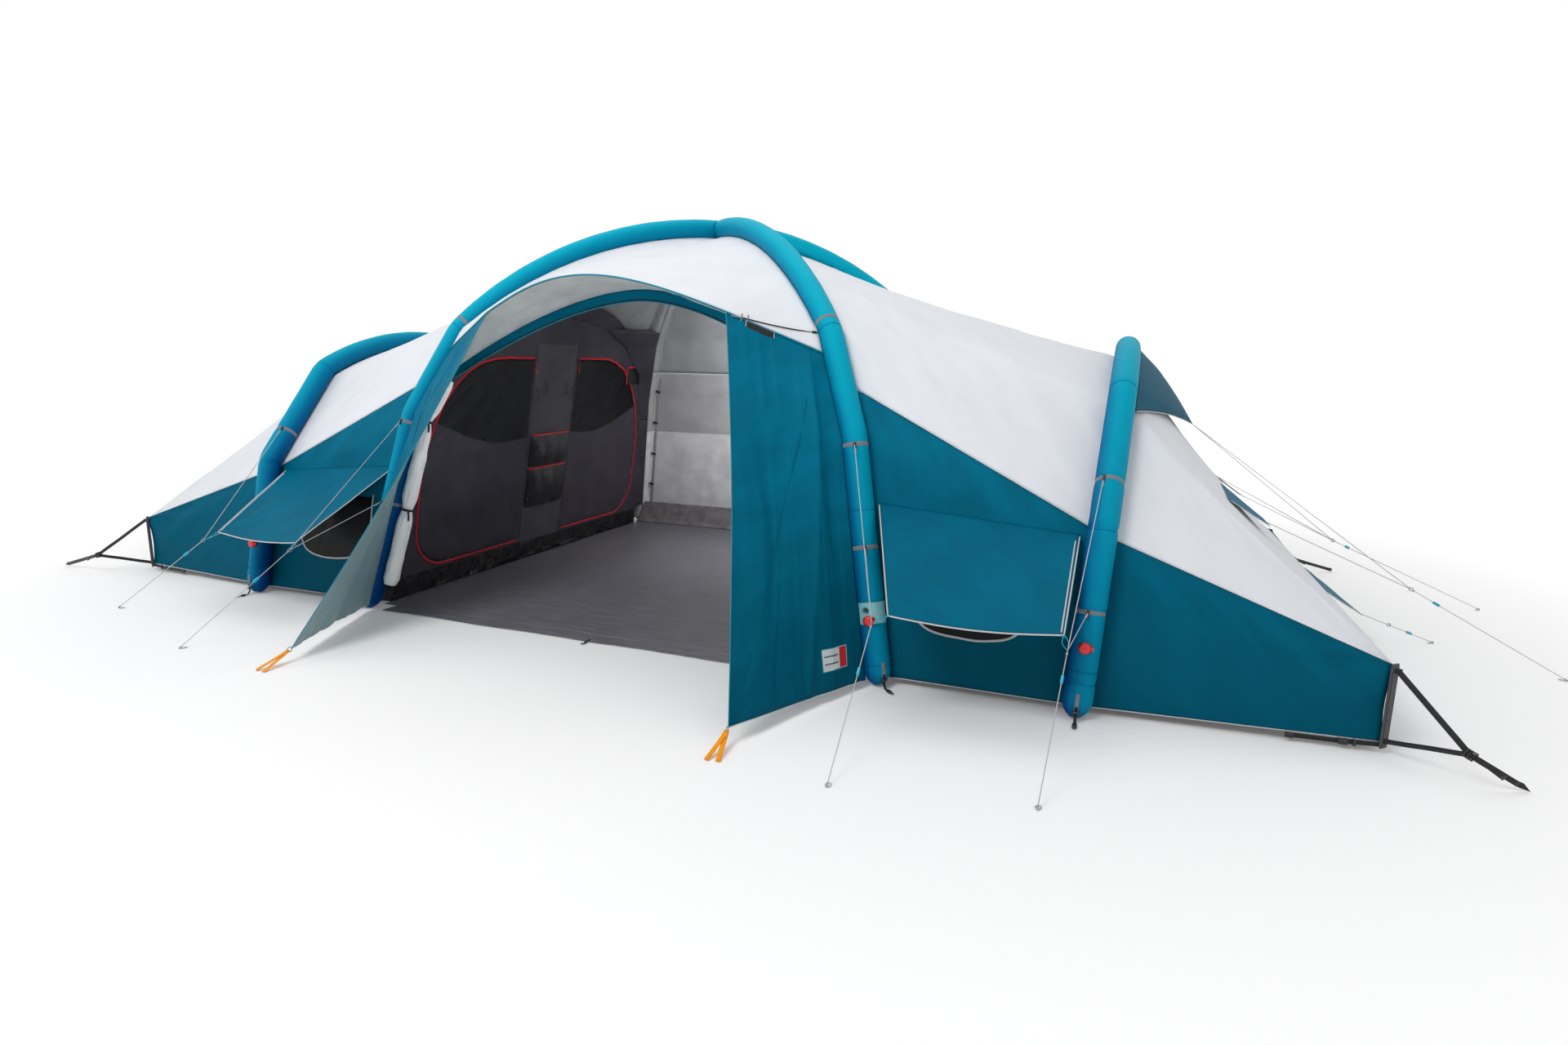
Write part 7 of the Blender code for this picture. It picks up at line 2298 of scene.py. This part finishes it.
def in_row(name, kind, lines, outs, look, body="tent", slot=None, **sizes):
    """Lays a row tree along lines, each point with its own way out, and bakes it to a mesh."""
    verts, edges, ways = [], [], []
    for line, out in zip(lines, outs):
        edges += [(len(verts) + k, len(verts) + k + 1) for k in range(len(line) - 1)]
        verts += [tuple(p) for p in line]
        ways += [tuple(w) for w in np.broadcast_to(out, line.shape)]
    mesh = bpy.data.meshes.new(name)
    mesh.from_pydata(verts, edges, [])
    stored = mesh.attributes.new("out", "FLOAT_VECTOR", "POINT")
    stored.data.foreach_set("vector", np.array(ways, np.float32).ravel())
    obj = bpy.data.objects.new(name, mesh)
    bpy.context.scene.collection.objects.link(obj)
    modifier = obj.modifiers.new("row", "NODES")
    modifier.node_group = ROWS[kind]
    values = {"Material": MAT[look], **{key.capitalize(): value for key, value in sizes.items()}}
    for item in ROWS[kind].interface.items_tree:
        if item.in_out == "INPUT" and item.name in values:
            modifier[item.identifier] = values[item.name]
    bpy.context.view_layer.update()
    baked = bpy.data.meshes.new_from_object(obj.evaluated_get(bpy.context.evaluated_depsgraph_get()))
    obj.modifiers.clear()
    obj.data = baked
    baked.polygons.foreach_set("use_smooth", np.full(len(baked.polygons), kind == "stitch"))
    finish(obj, None, body)


def turned_normals(rows, away_from):
    normals = grid_normals(rows)
    return normals if ((rows - np.array(away_from)) * normals).sum() > 0 else -normals


def edge_stitches(name, sheet, away_from, edges, look, body="tent", slot="fly_teal", step=2):
    """A row of stitches inside each named edge of a sheet; step says how far in their direction is read."""
    rows, lines, outs = SHEETS[sheet], [], []
    normals = turned_normals(rows, away_from)
    for edge in edges:
        grid, ways = rows, normals
        if edge in ("left", "right"):
            grid, ways = rows.swapaxes(0, 1), normals.swapaxes(0, 1)
        k, way = (0, step) if edge in ("first", "left") else (-1, -1 - step)
        gap = grid[way] - grid[k]
        gap /= np.maximum(np.linalg.norm(gap, axis=1), 1e-9)[:, None]
        lines.append((grid[k] + gap * 0.008 + ways[k] * 0.0010)[2:-2])
        outs.append(ways[k][2:-2])
    in_row(name, "stitch", lines, outs, look, body, slot, **STITCH)


def make_stitches():
    for side, sx in SIDES:
        edge_stitches(f"wall_stitches_{side}", f"fly_wall_{side}", (2.2 * sx, 0, 0.5), ("left", "right"),
                      "dark_thread")
        edge_stitches(f"awning_stitches_{side}", f"awning_cloth_{side}", (2 * sx, 0, 0),
                      ("first", "left", "last", "right"),
                      "dark_thread", f"{side}_awning", "flap_teal")
        edge_stitches(f"porch_stitches_{side}", f"porch_wing_cloth_{side}", (0, -1.8, 0.5),
                      ("first", "right"), "dark_thread")
        edge_stitches(f"hood_stitches_{side}", f"hood_cloth_{side}", (2.4 * sx, 0, 0.6), ("left", "right"),
                      "dark_thread", slot="flap_teal", step=3)
    edge_stitches("canopy_stitches", "fly_roof_front", (0, 0, 0.8), ("last",), "thread", slot="fly_white")
    edge_stitches("back_wall_stitches", "fly_back_wall", (0, 0, 0.8), ("first",), "dark_thread")


def make_teeth():
    for (end_name, side_name), line in ZIP_LINES.items():
        out = wall_out(1 if side_name == "right" else -1)
        in_row(f"zip_teeth_{end_name}_{side_name}", "tooth", [line + out * 0.0022], [out], "tooth",
               slot="bedroom_dark", **ROOM_TOOTH)
    rows = SHEETS["door_zip_band"]
    out = turned_normals(rows, (0, 0.3, 1.4))[-1]
    line = rows[-1] + (rows[-2] - rows[-1]) * 0.9 + out * 0.0026
    in_row("door_zip_teeth", "tooth", [line[3:-3]], [out[3:-3]], "black", slot="porch_ceiling", **DOOR_TOOTH)


make_stitches()
make_teeth()


# The tension cord from the canopy's edge to the right front leg, with its two toggles

CANOPY_CORD_D, CANOPY_CORD_START, CANOPY_CORD_H = 0.006, (0.80, -1.44, 1.70), 1.645


def make_canopy_cord():
    rows, way = SHEETS["fly_roof_front"], np.array((-0.75, -0.66, 0.0))
    centre = LEG_LINE.at(LEG_LINE.at_height(CANOPY_CORD_H))
    end = cast(TUBE_TREES["front_right"], centre + way * 0.2, -way)[0] + way * 0.006
    nearest = np.argmin(np.linalg.norm(rows[-1] - CANOPY_CORD_START, axis=1))
    start = rows[-1][nearest] + (0.0, -0.006, 0.004)
    path = [blend(start, end, k) - (0, 0, 0.006 * math.sin(math.pi * k)) for k in np.linspace(0, 1, 18)]
    obj = make_object("canopy_cord", *sweep(path, circle(CANOPY_CORD_D / 2, 10)), ["black_cord"])
    finish(obj)
    knots, along = Trim(), unit(end - start)
    upward = square_to((0, 0, 1.0), along)
    outward = np.cross(along, upward)
    for at in (start + along * 0.030, start - along * 0.002):
        knots.block("grey_plastic", at, (upward, along, outward), (0.040, 0.007, 0.006), 0.3)
    knots.block("grey_plastic", start - along * 0.028, (along, upward, outward), (0.055, 0.006, 0.003), 0.3)
    for k in range(4):
        knots.ring("black_cord", end - along * (0.006 + 0.007 * k), along, 0.0062, 0.0028)
    tail = [end, end + upward * -0.02 + along * 0.004, end + upward * -0.042]
    knots.rod("black_cord", smooth_path(tail, 10), 0.0028)
    knots.block("black", end - upward * 0.045, (upward, along, outward), (0.016, 0.014, 0.012), 0.3)
    knots.finish("canopy_cord_toggles", slot="strap_black")
    tell_cord(obj, path, CANOPY_CORD_D, "object", exit=list(path[0]))


make_canopy_cord()


# Strip up the back corners of the living room, with its buckles; a hook on the sill

STRIP_W, SILL_HOOK = 0.056, (-0.027, -1.617, 0.006)


def make_inner_corner(side_name, column):
    rows = SHEETS["fly_back_wall"]
    outs = -turned_normals(rows, (0, 0, 0.8))[2:-1, column]
    line = clear_of_tubes(smooth_path((rows[2:-1, column] + outs * 0.006)[::4], 90), 0.013)
    ups = np.array([outs[min(len(outs) - 1, int(k * (len(outs) - 1) / 89))] for k in range(90)])
    wave = 1 + 0.05 * noise(np.linspace(0, 20, 90), np.zeros(90), 4)
    verts, faces, uvs = sweep(line, strip(STRIP_W, 0.0024), ups, scale=wave)
    trim = Trim()
    trim.add("tape_light", clear_of_tubes(verts, 0.012), faces, uvs)
    for k in (20, 40, 60, 80):
        at, out, along = line[k], ups[k], unit(line[k + 1] - line[k - 1])
        side_way = np.cross(along, out)
        strap = [at - side_way * 0.035 + out * 0.004, at + out * 0.012, at + side_way * 0.035 + out * 0.006]
        trim.tape("strap", smooth_path(strap, 12), 0.014, 0.0016, out)
        for high, aside, size in ((0.014, 0.012, (0.034, 0.020, 0.010)),
                                  (0.013, -0.016, (0.016, 0.016, 0.008))):
            trim.block("black", at + out * high + side_way * aside, (side_way, along, out), size, 0.3)
    trim.finish(f"inner_corner_{side_name}", slot="strap_black")


def make_sill_hook():
    trim, at = Trim(), np.array(SILL_HOOK)
    strap = [at + p for p in ((0, 0.030, 0.002), (0, 0, 0), (0.002, -0.022, -0.001))]
    trim.tape("strap", smooth_path(strap, 14), 0.016, 0.002, (0, 0, 1))
    hook = [at + p for p in ((0.0, -0.018, 0), (0.012, -0.034, 0), (0.0, -0.046, 0), (-0.010, -0.038, 0))]
    trim.rod("black", smooth_path(hook, 20), 0.003)
    trim.finish("sill_hook", slot="strap_black")


for side_name, column in (("left", -5), ("right", 4)):
    make_inner_corner(side_name, column)
make_sill_hook()
